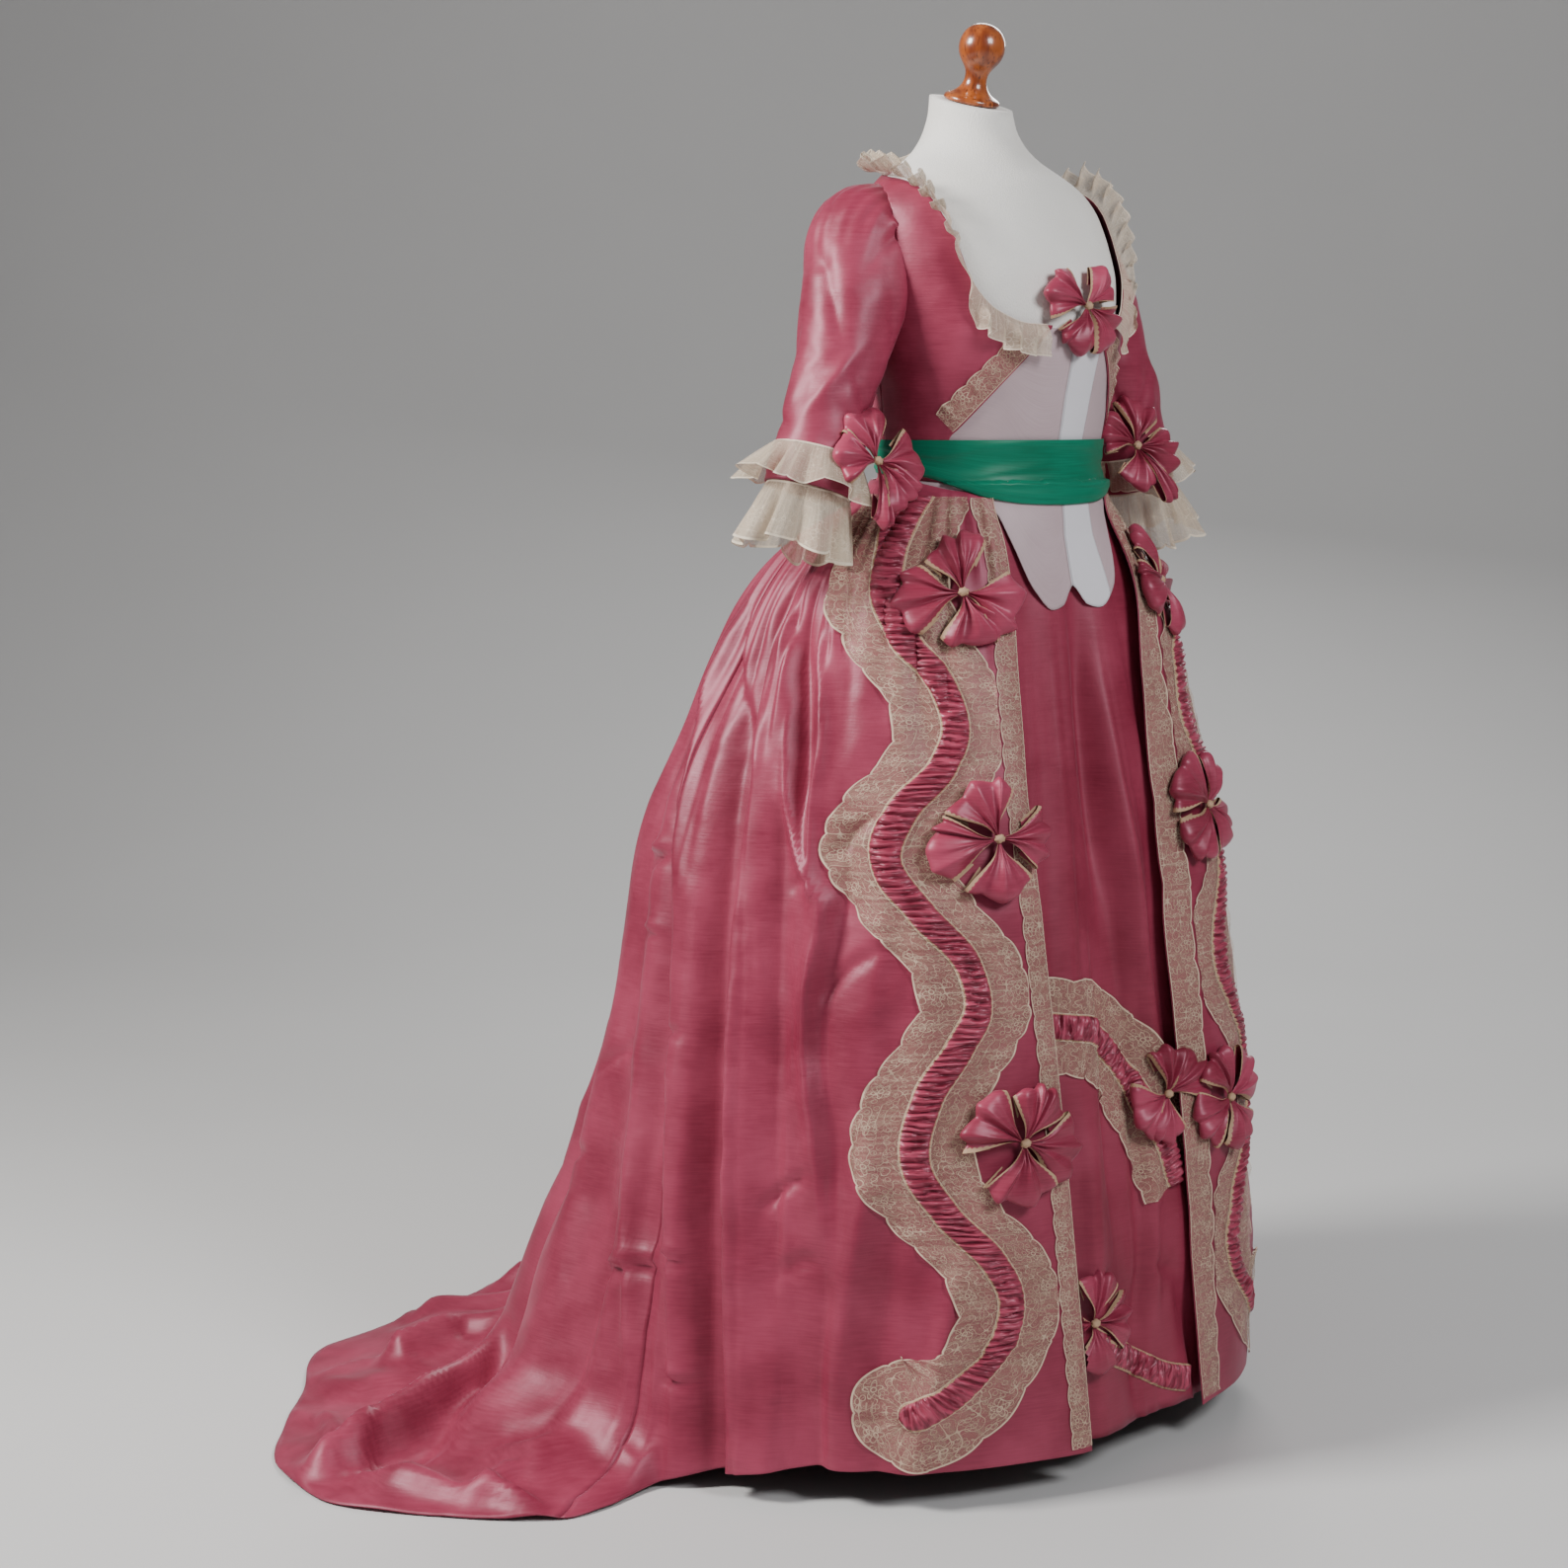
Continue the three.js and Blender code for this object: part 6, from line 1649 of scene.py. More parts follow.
@dataclass
class Upper:
    """The bodice, the waistcoat fronts, the sash and the laces of the upper body."""

    edge: Curve = curve((16, 1238), (40, 1178), (60, 1128), (64, 1118), (68, 1066.5))
    waistcoat_edge: Curve = curve((0, 956), (2, 952), (8, 934), (15, 930), (25, 953), (35, 1008), (41, 1036),
                                  (50, 1048), (80, 1054))
    sash_bottom: Curve = curve((0, 1044), (25, 1046), (45, 1053), (65, 1069), (80, 1077), (180, 1080))
    sash_top: float = 1116.0
    pleats: tuple[float, ...] = (133.0, 148.0, 163.0, 180.0, 197.0, 212.0, 227.0)
    tail_end: float = 952.0
    sash_folds: tuple[tuple[Curve, float], ...] = (
        (curve((0, 0.60), (30, 0.48), (60, 0.22), (100, 0.55), (180, 0.7)), 1.5),
        (curve((0, 0.36), (30, 0.30), (60, 0.12), (100, 0.35), (180, 0.45)), 1.9),
        (curve((0, 0.16), (30, 0.14), (60, 0.03), (100, 0.15), (180, 0.2)), 1.7),
        (curve((0, 0.98), (40, 0.86), (64, 0.60), (100, 0.8), (180, 0.9)), 1.1),
    )

    def bodice_relief(self, angle: Array, z: Array) -> Array:
        """Soft strains of the bodice's cloth."""
        return 0.8 * ripple(81, angle / 13.0, z / 46.0) + 0.4 * ripple(82, angle / 6.0, z / 17.0)

    def bodice_front(self, side: Side, finishes: Finishes) -> None:
        """Build a bodice front behind its slanting edge."""

        def shape(u: Array, v: Array) -> Array:
            """The bodice front's outer face."""
            size = mix(16.0, 99.9, u if side is Side.LEFT else 1 - u)
            low = np.where(size > 68.0, 1060.0, self.edge(size))
            z = mix(low, np.maximum(NECKLINE(size), low + 2.0), v)
            rolled = 0.8 * np.exp(-(((z - NECKLINE(size)) / 3.0) ** 2))
            angle = side.value * size
            return body_point(angle, z, BODICE_OUT + self.bodice_relief(angle, z) + rolled)

        cloth = Cloth().patch(70, 64, shape, (0.22, 0.3))
        cloth.without(lambda points: SLEEVE.inside(points, 4.0))
        piece = cloth.finish(f"bodice_front_{side.word}_cloth", finishes.taffeta, 1.0)
        settle(piece, f"bodice_front_{side.word}", Cut(0.21, 0.35, Held.STRETCHED, 0.036))

    def bodice_back(self, finishes: Finishes) -> None:
        """Build the bodice back with its sewn-down pleats."""

        def shape(u: Array, v: Array) -> Array:
            """The bodice back's outer face."""
            angle = mix(100.1, 259.9, u)
            z = mix(1060.0, NECKLINE(from_front(angle)), v)
            tight = 0.0
            for middle in self.pleats:
                away = angle - middle - (z - 1200.0) * (middle - 180.0) * 0.0009
                tight = tight - np.exp(-((away / 1.1) ** 2))
            return body_point(angle, z, BODICE_OUT + tight + self.bodice_relief(angle, z))

        cloth = Cloth().patch(130, 64, shape, (0.42, 0.35))
        cloth.without(lambda points: SLEEVE.inside(points, 4.0))
        piece = cloth.finish("bodice_back_cloth", finishes.taffeta, 1.0)
        settle(piece, "bodice_back", Cut(0.36, 0.36, Held.STRETCHED, 0.105))

    def waistcoat(self, side: Side, finishes: Finishes) -> None:
        """Build a waistcoat front with its long rounded point."""

        def shape(u: Array, v: Array) -> Array:
            """The waistcoat front's outer face."""
            size = mix(0.15, 80.0, u if side is Side.LEFT else 1 - u)
            z = mix(self.waistcoat_edge(size), 1238.0, v)
            angle = side.value * size
            wave = 0.6 * ripple(83, angle / 11.0, z / 40.0) * ease(size / 6.0)
            bound = 0.5 * np.exp(-((v * 60.0 - 1.0) ** 2))
            return layer_point(angle, z, WAISTCOAT_OUT + 0.1 + wave + bound)

        # The right front's texture starts further on, so the painted light band falls on the left front.
        start = (0.0, 0.0) if side is Side.LEFT else (0.24, 0.0)
        size = (0.19, 0.3) if side is Side.LEFT else (-0.19, 0.3)
        cloth = Cloth().patch(44, 80, shape, size, start)
        piece = cloth.finish(f"waistcoat_{side.word}", finishes.waistcoat, 0.9)
        cut = Cut(0.18, 0.31, Held.STRETCHED, 0.042)
        settle(piece, f"waistcoat_front_{side.word}", cut)

    def sash(self, finishes: Finishes) -> None:
        """Build the sash with its soft level folds."""

        def shape(u: Array, v: Array) -> Array:
            """The sash's outer face."""
            angle = 360.0 * u - 180.0
            z = mix(self.sash_bottom(np.abs(angle)), self.sash_top, v)
            fold = np.zeros_like(v)
            for middle, size in self.sash_folds:
                away = v - middle(np.abs(angle + 8.0))
                fold = fold + size * np.exp(-((away / np.where(away > 0, 0.12, 0.06)) ** 2))
            small = 0.4 * ripple(85, angle / 14.0, v * 3.0)
            rounded = -1.2 * (np.abs(2 * v - 1) ** 8)
            over_waist = 1.8 * np.exp(-(((z - WAIST) / 9.0) ** 2))
            return layer_point(angle, z, 9.7 + fold + small + rounded + over_waist)

        cloth = Cloth().patch(200, 34, shape, (0.85, 0.06))
        piece = cloth.merged().finish("sash_cloth", finishes.satin, 0.9)
        settle(piece, "sash", Cut(0.85, 0.075, Held.FOLDED, 0.045))

    def sash_tail(self, side: Side, finishes: Finishes) -> None:
        """Build a tail of the sash, over the back of the gown."""
        inner = curve((self.tail_end, 13), (985, 10), (1020, 5), (1052, 2))
        outer = curve((self.tail_end, 33), (985, 29), (1020, 24), (1052, 16))
        sign = 1.0 if side is Side.RIGHT else -1.0

        def shape(u: Array, v: Array) -> Array:
            """The tail's outer face."""
            z = mix(self.tail_end, 1056.0, v) + (1 - v) * 9.0 * (0.5 - np.abs(u - 0.5))
            away = mix(inner(z), outer(z), u if side is Side.RIGHT else 1 - u)
            wave = 1.6 * np.sin(TAU * u * 2.0 + 2.0 * v) * (1.0 - 0.4 * v) + 2.6
            return on_gown(180.0 + sign * away - 360.0, z, wave)

        cloth = Cloth().patch(30, 40, shape, (0.07, 0.11))
        piece = cloth.finish(f"sash_tail_{side.word}_cloth", finishes.satin, 0.6)
        settle(piece, f"sash_tail_{side.word}", Cut(0.075, 0.15, Held.HUNG))

    def sash_knot(self, finishes: Finishes) -> None:
        """Build the knot of the sash at the back: two loops and a band."""

        def place(x: Array, y: Array) -> tuple[Array, Array]:
            """A point and the outward direction at the middle of the back."""
            angle = 180.0 + np.degrees(x / 110.0)
            return body_point(angle, 1088.0 + y, 12.0), around(angle, np.ones_like(x), np.zeros_like(x))

        cloth = Cloth()
        for sign in (-1.0, 1.0):

            def loop(u: Array, v: Array, way: float = sign) -> Array:
                """A flattened loop of ribbon, from the band out and back."""
                turn = TAU * u
                x = way * (4.0 + 34.0 * (0.5 - 0.5 * np.cos(turn)))
                width = 8.0 + 12.0 * (0.5 - 0.5 * np.cos(turn)) ** 0.7
                y = (v - 0.5) * 2 * width - 3.0 * (0.5 - 0.5 * np.cos(turn))
                rise = 6.0 + 6.5 * np.sin(turn) + 1.2 * np.sin(v * 9.0 + turn)
                point, normal = place(x, y)
                return point + normal * rise[:, None]

            cloth.patch(44, 12, loop, (0.1, 0.04), flip=sign > 0)

        def band(u: Array, v: Array) -> Array:
            """The band that holds the loops."""
            turn = TAU * u
            x = 7.5 * np.cos(turn) * (1 + 0.1 * np.sin(v * 7))
            rise = 8.0 + 8.5 * np.sin(turn)
            point, normal = place(x, (v - 0.5) * 30.0)
            return point + normal * rise[:, None]

        cloth.patch(32, 10, band, (0.05, 0.03), flip=True)
        piece = cloth.merged().finish("sash_knot_cloth", finishes.satin, 0.5)
        settle(piece, "sash_knot", Cut(0.20, 0.040, Held.FOLDED))

    def edge_lace(self, side: Side, finishes: Finishes) -> None:
        """Build the lace on the slanting edge of a bodice front."""

        def shape(u: Array, v: Array) -> Array:
            """The lace's outer face."""
            size = mix(26.0, 62.0, u if side is Side.LEFT else 1 - u)
            z = self.edge(size) + mix(1.0, 22.0, v)
            wave = 1.2 + 1.5 * v * (1 + np.sin(size * 1.1 + ripple(86, size / 4.0, 0)))
            return body_point(side.value * (size + mix(0.5, 8.5, v)), z, BODICE_OUT + wave)

        cloth = Cloth().patch(160, 10, shape, (5.5, 1.0))
        piece = cloth.finish(f"bodice_lace_{side.word}_cloth", finishes.narrow_lace)
        settle(piece, f"bodice_lace_{side.word}", Cut(0.15, 0.026, Held.GATHERED))

    def neck_lace(self, name: str, start: float, end: float, finishes: Finishes) -> None:
        """Build a part of the ruffle that stands on the neckline.

        Args:
            name: right, back or left.
            start: its first angle.
            end: its last angle.
            finishes: the materials.
        """
        angles = np.linspace(start, end, 241)
        sewn_at = NECKLINE(from_front(angles)) + 1.0
        base = body_point(angles, sewn_at, 6.8)
        base[:, 2] = sewn_at
        run = running(np.linalg.norm(np.diff(base, axis=0), axis=1))

        def shape(u: Array, v: Array) -> Array:
            """The ruffle, from its sewn edge to its free one."""
            at = u * run[-1]
            point = np.stack([np.interp(at, run, base[:, k]) for k in range(3)], axis=-1)
            angle = np.interp(at, run, angles)
            ends = ease(at / 14.0) * ease((run[-1] - at) / 14.0)
            side = from_front(angle)
            flat = 1 - ease((side - 48.0) / 12.0)
            phase = TAU * at / mix(25.0, 38.0, flat) + 2.4 * ripple(87, at / 60.0, 0.0)
            out = around(angle, np.ones_like(u), np.zeros_like(u))
            along = np.stack([-out[:, 1], out[:, 0], np.zeros_like(u)], axis=-1)
            swell = ease(v * 1.4)
            size = 1 + 0.35 * ripple(89, at / 45.0, 3.0)
            wave = ends * swell * size * mix(9.5, 6.5, flat) * np.sin(phase)
            shift = ends * swell * 5.0 * np.sin(2 * phase + 0.5)
            if name == "left":
                up = mix(27.0, 16.0, ease((side - 78.0) / 20.0))
            else:
                up = mix(17.0, 19.0, ease((side - 60.0) / 32.0))
            width = 30.0 if name != "left" else 19.0
            away = mix(width, 13.0, flat) * v**0.85 + mix(-0.5, 0.9, flat) * wave
            away = away + flat * 7.0 * np.sin(np.pi * np.minimum(v * 1.3, 1.0))
            rise = mix(up, -36.0, flat) * v + mix(0.75, 0.3, flat) * wave
            lifted = point + out * away[:, None] + along * shift[:, None]
            lifted[:, 2] += rise
            return lifted

        count = int(run[-1] / 1.5)
        cloth = Cloth().patch(count, 16, shape, (run[-1] / 22.0, 1.0))
        piece = cloth.finish(f"neck_ruffle_{name}", finishes.neck_lace)
        settle(piece, f"neck_lace_{name}", Cut(run[-1] * MM * 1.5, 0.038, Held.GATHERED))

    def chest_bow(self, finishes: Finishes) -> None:
        """Build the bow at the top of the waistcoat."""

        def place(x: Array, y: Array) -> tuple[Array, Array]:
            """A point and the outward direction on the chest."""
            angle = 4.0 + np.degrees(x / 130.0)
            turn = np.radians(angle)
            normal = unit(np.stack([np.sin(turn), -np.cos(turn), np.full_like(turn, 0.1)], axis=-1))
            return body_point(angle, 1262.0 + y, BODICE_OUT + 1.0), normal

        bow = Bow("chest_bow", "bow_chest", (158.0, 42.0, -38.0, -108.0), reach=55.0, seed=91)
        bow.build(place, finishes)

    def build(self, finishes: Finishes) -> None:
        """Build every part of the upper body."""
        for side in Side:
            self.bodice_front(side, finishes)
            self.waistcoat(side, finishes)
            self.edge_lace(side, finishes)
            self.sash_tail(side, finishes)
        self.bodice_back(finishes)
        self.sash(finishes)
        self.sash_knot(finishes)
        for name, start, end in (("right", 260.2, 341.0), ("back", 100.2, 259.8), ("left", 31.0, 99.8)):
            self.neck_lace(name, start, end, finishes)
        self.chest_bow(finishes)


# ---------------------------------------------------------------- skirts


@dataclass
class GownSkirt:
    """The three panels of the gown's skirt, with the train."""

    rows: int = 170
    wall: float = 1.0

    def panel(self, name: str, first: int, last: int, each: int, cut: Cut, finishes: Finishes) -> None:
        """Build a panel between two columns.

        Args:
            name: right, back or left.
            first: number of its first column.
            last: number of its last column.
            each: number of faces across each column.
            cut: its flat cut.
            finishes: the materials.
        """

        def shape(u: Array, v: Array) -> Array:
            """The panel's outer face; its first column has the largest angle."""
            column = mix(float(last), float(first), u)
            down = 1 - v
            return GOWN.sheet(column, down)

        across = (last - first) * each
        cloth = Cloth().patch(across, self.rows, shape, (cut.width * 1.15, cut.length))
        piece = cloth.finish(f"gown_{name}", finishes.taffeta, self.wall)
        settle(piece, f"gown_skirt_{name}", cut)

    def build(self, finishes: Finishes) -> None:
        """Build the three panels."""
        self.panel("right", 0, GOWN.right_seam, 16, Cut(0.58, 1.08, Held.GATHERED), finishes)
        train = Cut(1.35, 1.30, Held.GATHERED, 1.45)
        self.panel("back", GOWN.right_seam, GOWN.left_seam, 11, train, finishes)
        self.panel("left", GOWN.left_seam, GOWN.last, 12, Cut(0.60, 1.08, Held.GATHERED), finishes)


# Creases of the petticoat's front: angle, height, half length, width, depth and slant.
PETTICOAT_CREASES = (
    Crease(2, 760, 190, 13, -10.5, 2), Crease(-9, 800, 170, 11, 9, 1), Crease(10, 700, 210, 12, 10.5, -1),
    Crease(12, 560, 230, 15, 9, -3), Crease(-8, 420, 200, 14, -10.5, 3), Crease(20, 430, 230, 15, -12, -3),
    Crease(27, 330, 190, 12, 10.5, -4), Crease(6, 240, 150, 14, 9, 6), Crease(-17, 260, 160, 15, 9, 3),
    Crease(-1, 300, 170, 12, 9, 2), Crease(30, 620, 210, 15, 9, -3), Crease(-3, 130, 90, 12, -9, 10),
    Crease(17, 120, 90, 12, -9, -8), Crease(-13, 620, 150, 10, -9, 4), Crease(-16, 210, 34, 5, -7.5, 50, 8),
    Crease(9, 200, 30, 4, -6, -62, 6),
)


def petticoat_point(angle: Array, z: Array) -> Array:
    """A point of the petticoat's outer face, with its soft folds."""
    at_waist = body_point(angle, np.maximum(z, WAIST), PETTICOAT_OUT)
    trough = FOLD_DEPTH(z) * 0.55 * (0.5 + 0.5 * np.cos(np.pi * np.asarray(angle) / 15.0))
    ridges = 5.0 * (0.4 - np.abs(ripple(103, angle / 4.5, z / 420.0)))
    moved = ease((1000.0 - z) / 300.0) * (3.6 * ripple(101, angle / 7.0, z / 300.0) + ridges)
    radius = petticoat_radius(angle, z)
    for crease in PETTICOAT_CREASES:
        moved = moved + crease.at(angle, z, radius)
    spread = highest(radius - trough + moved, flat_radius(at_waist), 1.0)
    low = around(angle, spread, z)
    return np.where((np.asarray(z) >= WAIST)[..., None], at_waist, low)


@dataclass
class Petticoat:
    """The two panels of the petticoat and the trim of its front."""

    hem: float = 46.0
    top: float = 1078.0
    seam: float = 97.3
    upper: Points = (
        (-116.0, 490.0), (-88.0, 486.0), (-50.0, 477.0), (-16.0, 451.0), (10.0, 418.0), (32.0, 380.0),
        (52.0, 335.0), (68.0, 290.0),
    )
    lower: Points = (
        (-104.0, 164.0), (-78.0, 142.0), (-45.0, 122.0), (-9.0, 102.0), (30.0, 82.0), (66.0, 70.0),
    )

    def panel(self, name: str, start: float, end: float, across: int, cut: Cut, finishes: Finishes) -> None:
        """Build a panel between two angles."""

        def shape(u: Array, v: Array) -> Array:
            """The panel's outer face."""
            angle = mix(start, end, u)
            z = mix(self.hem, self.top, v)
            return petticoat_point(angle, z)

        cloth = Cloth().patch(across, 104, shape, (cut.width, cut.length))
        piece = cloth.finish(f"petticoat_{name}_cloth", finishes.petticoat, 1.0)
        settle(piece, f"petticoat_{name}", cut)

    def line(self, points: Points) -> tuple[Array, Array, Array, float]:
        """A trim line as smooth tables: run, distances to the side, heights, and its length."""
        fine = np.linspace(points[0][0], points[-1][0], 300)
        heights = Curve(points)(fine)
        run = running(np.hypot(np.diff(fine), np.diff(heights)))
        return run, fine, heights, float(run[-1])

    def trim_place(self, points: Points, along: Array, off: Array, lift: Array) -> Array:
        """A point of a trim on the petticoat front.

        Args:
            points: the trim's line.
            along: distance along it.
            off: distance above it.
            lift: distance from the cloth.

        Returns:
            The points.
        """
        run, xs, zs, _ = self.line(points)
        x = np.interp(along, run, xs)
        z = np.interp(along, run, zs)
        dx = np.interp(along + 1.0, run, xs) - np.interp(along - 1.0, run, xs)
        dz = np.interp(along + 1.0, run, zs) - np.interp(along - 1.0, run, zs)
        size = np.maximum(np.hypot(dx, dz), 1e-6)
        x = x - dz / size * off
        z = z + dx / size * off
        angle = np.degrees(np.arcsin(np.clip(x / petticoat_radius(np.zeros_like(z), z), -0.9, 0.9)))
        normal = surface_normals(petticoat_point, angle, z)
        return petticoat_point(angle, z) + normal * np.asarray(lift)[..., None]

    def trims(self, finishes: Finishes) -> None:
        """Build the ruched bands and the laces of the front."""
        for word, points in (("upper", self.upper), ("lower", self.lower)):
            length = self.line(points)[3]

            def ruched(u: Array, v: Array, path: Points = points, full: float = length) -> Array:
                """The band's puckered face."""
                along = u * full
                return self.trim_place(path, along, mix(-15.0, 15.0, v), ruched_height(along, v))

            cloth = Cloth().patch(int(length / 1.3), 13, ruched, (length / 6.0, 1.0))
            piece = cloth.finish(f"petticoat_band_{word}", finishes.ruched)
            cut = Cut(length * MM * 1.5, 0.036, Held.GATHERED)
            settle(piece, f"petticoat_ruched_{word}", cut)
        length = self.line(self.upper)[3]
        for word, sign in (("above", 1.0), ("below", -1.0)):

            def ruffle(u: Array, v: Array, way: float = sign) -> Array:
                """The lace, from its sewn edge to its free one."""
                along = u * length
                reach = v if way > 0 else 1 - v
                off = way * mix(14.0, 53.0, reach)
                return self.trim_place(self.upper, along, off, ruffle_height(along, reach, 102))

            uv = (length / 40.0, 1.0) if sign > 0 else (length / 40.0, -1.0)
            start = (0.0, 0.0) if sign > 0 else (0.0, 1.0)
            cloth = Cloth().patch(int(length / 2.0), 12, ruffle, uv, start)
            piece = cloth.finish(f"petticoat_ruffle_{word}", finishes.lace)
            settle(piece, f"petticoat_lace_{word}", Cut(length * MM * 1.25, 0.039, Held.GATHERED))

    def bows(self, finishes: Finishes) -> None:
        """Build the two bows of the front."""

        def behind_gown(points: Array) -> Array:
            """Whether points lie behind the right front edge of the gown."""
            angle = np.degrees(np.arctan2(points[:, 0], -points[:, 1]))
            return angle < GOWN.edge_angle(Side.RIGHT, points[:, 2]) + 0.6

        turns = (75.0, 24.0, 200.0, -105.0)
        upper = Bow("petticoat_bow_upper", "bow_petticoat_upper", turns, reach=57.0, seed=111)
        upper.build(bow_on(petticoat_radius, 14.0, 390.0, 4.0), finishes)
        turns = (74.0, -8.0, 176.0, -84.0)
        lower = Bow("petticoat_bow_lower", "bow_petticoat_lower", turns, reach=57.0, height=9.0, seed=117,
                    shown=0.65)
        lower.build(bow_on(petticoat_radius, -21.0, 172.0, 3.0), finishes, behind_gown)

    def build(self, finishes: Finishes) -> None:
        """Build every part of the petticoat."""
        self.panel("front", -self.seam, self.seam, 160, Cut(1.05, 1.04, Held.GATHERED), finishes)
        self.panel("back", self.seam, 360.0 - self.seam, 90, Cut(1.25, 1.04, Held.GATHERED), finishes)
        self.trims(finishes)
        self.bows(finishes)


# ---------------------------------------------------------------- trim of the gown fronts


def ruched_height(along: Array, across: Array) -> Array:
    """Height of a ruched band's pleats at a distance along it and a share across it."""
    side = 2 * across - 1
    lean = 0.34 * side * ripple(122, along / 15.0, 3.0) + 0.26 * ripple(123, along / 9.0, across * 2.5)
    phase = along / 8.6 + 0.35 * ripple(121, along / 26.0, 0.0) + lean
    pleat = np.abs(np.sin(np.pi * phase)) ** 0.75
    crown = 1 - np.abs(side) ** 5
    return 0.8 + crown * (1.0 + 5.6 * pleat + 0.8 * ripple(124, along / 5.0, across * 5.0))


def ruffle_height(along: Array, across: Array, seed: int) -> Array:
    """Height of a lace ruffle's waves at a distance along it and a share across it."""
    phase = TAU * along / 31.0 + 2.6 * ripple(seed, along / 60.0, 0.0)
    wave = 0.5 + 0.5 * np.sin(phase)
    uneven = 0.7 + 0.4 * ripple(seed + 1, along / 45.0, 2.0)
    gather = np.abs(np.sin(np.pi * (along / 6.3 + 0.5 * ripple(seed + 2, along / 12.0, across))))
    return 1.0 + across**0.8 * (3.4 * wave * uneven + 0.5) + gather * 0.9 * (1.15 - across)


@dataclass
class FrontTrim:
    """The trim of one gown front: ruched serpentine, its two laces, the edge lace and the bows."""

    side: Side
    edge_wide: float
    bows: tuple[tuple[float, float, tuple[float, float, float, float]], ...]
    line: Curve = curve((1060, 76), (1040, 92), (998, 118), (955, 126), (905, 114), (852, 82), (812, 74),
                        (772, 90), (725, 132), (675, 155), (620, 129), (562, 90), (525, 85), (480, 110),
                        (430, 146), (365, 166), (310, 143), (255, 98), (215, 83), (178, 93), (159, 105))
    start: float = 1054.0
    bottom: float = 159.0
    lace_wide: float = 44.0
    hook: tuple[tuple[float, float, float], ...] = ((153, 120, 42), (188, 102, 85), (202, 101, 85))
    band_half: float = 15.0
    end_round: float = 14.0
    fan: float = 110.0
    edge_top: float = 1053.0
    edge_bottom: float = 48.0

    def centre(self, z: Array) -> tuple[Array, Array]:
        """Distance of the serpentine's centre from the gown's edge, and its slope."""
        return self.line(z), (self.line(z + 2.0) - self.line(z - 2.0)) / 4.0

    def path(self) -> tuple[Array, Array, Array, Array, Array]:
        """Tables of the serpentine: run, distance, height, turn of its width, and stretch."""
        heights = np.linspace(self.start, self.bottom, 160)
        distance, slope = self.centre(heights)
        ends = np.array(self.hook, float)
        corner = np.linspace(0.0, 1.0, 31)
        knots = np.array([0.0, 0.5, 0.84, 1.0])
        tail_x = np.interp(corner, knots, [distance[-1], *ends[:, 0]])
        tail_z = np.interp(corner, knots, [heights[-1], *ends[:, 1]])
        tail_turn = np.interp(corner, knots, [0.0, *ends[:, 2]])
        xs = np.concatenate([distance, tail_x[1:]])
        zs = np.concatenate([heights, tail_z[1:]])
        turns = np.concatenate([np.zeros_like(heights), tail_turn[1:]])
        stretch = np.concatenate([np.hypot(1.0, slope), np.linspace(np.hypot(1.0, slope[-1]), 1.0, 30)])
        for _ in range(6):
            xs[1:-1] = (xs[:-2] + 2 * xs[1:-1] + xs[2:]) / 4
            zs[1:-1] = (zs[:-2] + 2 * zs[1:-1] + zs[2:]) / 4
            turns[1:-1] = (turns[:-2] + 2 * turns[1:-1] + turns[2:]) / 4
        return running(np.hypot(np.diff(xs), np.diff(zs))), xs, zs, turns, stretch

    def place(self, along: Array, near: Array, lift: Array, keep_off: float = 0.0,
              around_end: Array | float = 0.0) -> Array:
        """A point of the trim.

        Args:
            along: distance along the serpentine.
            near: distance from its centre; more than the band's half width is lace.
            lift: distance from the gown's cloth.
            keep_off: the least distance from the gown's front edge.
            around_end: share of the half turn around the end of the serpentine.

        Returns:
            The points.
        """
        run, xs, zs, turns, stretch = self.path()
        x = np.interp(along, run, xs)
        z = np.interp(along, run, zs)
        turn = np.radians(np.interp(along, run, turns) - 180.0 * around_end)
        long = np.interp(along, run, stretch)
        half = self.band_half
        off = np.where(np.abs(near) <= half, near * long, np.sign(near) * (np.abs(near) + half * (long - 1)))
        distance = np.maximum(x + off * np.cos(turn), keep_off)
        height = z + off * np.sin(turn)
        return on_gown(front_angle(self.side, distance, height), height, lift)

    def length(self) -> float:
        """Length of the serpentine."""
        return float(self.path()[0][-1])

    def ruched(self, finishes: Finishes) -> None:
        """Build the ruched band."""
        length = self.length()

        def shape(u: Array, v: Array) -> Array:
            """The band's puckered face."""
            along = u * length
            past = np.clip((along - length + self.end_round) / self.end_round, 0.0, 0.999)
            half = self.band_half * np.sqrt(1 - past * past)
            return self.place(along, half * (2 * v - 1), ruched_height(along, v))

        flip = self.side is Side.RIGHT
        cloth = Cloth().patch(int(length / 1.3), 13, shape, (length / 6.0, 1.0), flip=flip)
        piece = cloth.finish(f"ruched_{self.side.word}", finishes.ruched)
        cut = Cut(length * MM * 1.5, 0.036, Held.GATHERED)
        settle(piece, f"ruched_band_{self.side.word}", cut)

    def laces(self, finishes: Finishes) -> None:
        """Build the laces on both sides of the band; the outer one turns around the band's end."""
        length = self.length() - self.end_round

        def outer(u: Array, v: Array) -> Array:
            """The outer lace, from the band outwards."""
            along = u * (length + self.fan)
            past = np.clip((along - length) / self.fan, 0.0, 1.0)
            lift = ruffle_height(along, v, 131)
            near = mix(self.band_half - 1.0, self.band_half + self.lace_wide, v)
            return self.place(np.minimum(along, length), near, lift, 0.0, past)

        def inner(u: Array, v: Array) -> Array:
            """The inner lace, which narrows where it meets the edge lace."""
            along = u * length
            lift = ruffle_height(along, v, 133) * 0.8
            near = mix(self.band_half - 1.0, self.band_half + self.lace_wide, v)
            return self.place(along, -near, lift, self.edge_wide + 1.0)

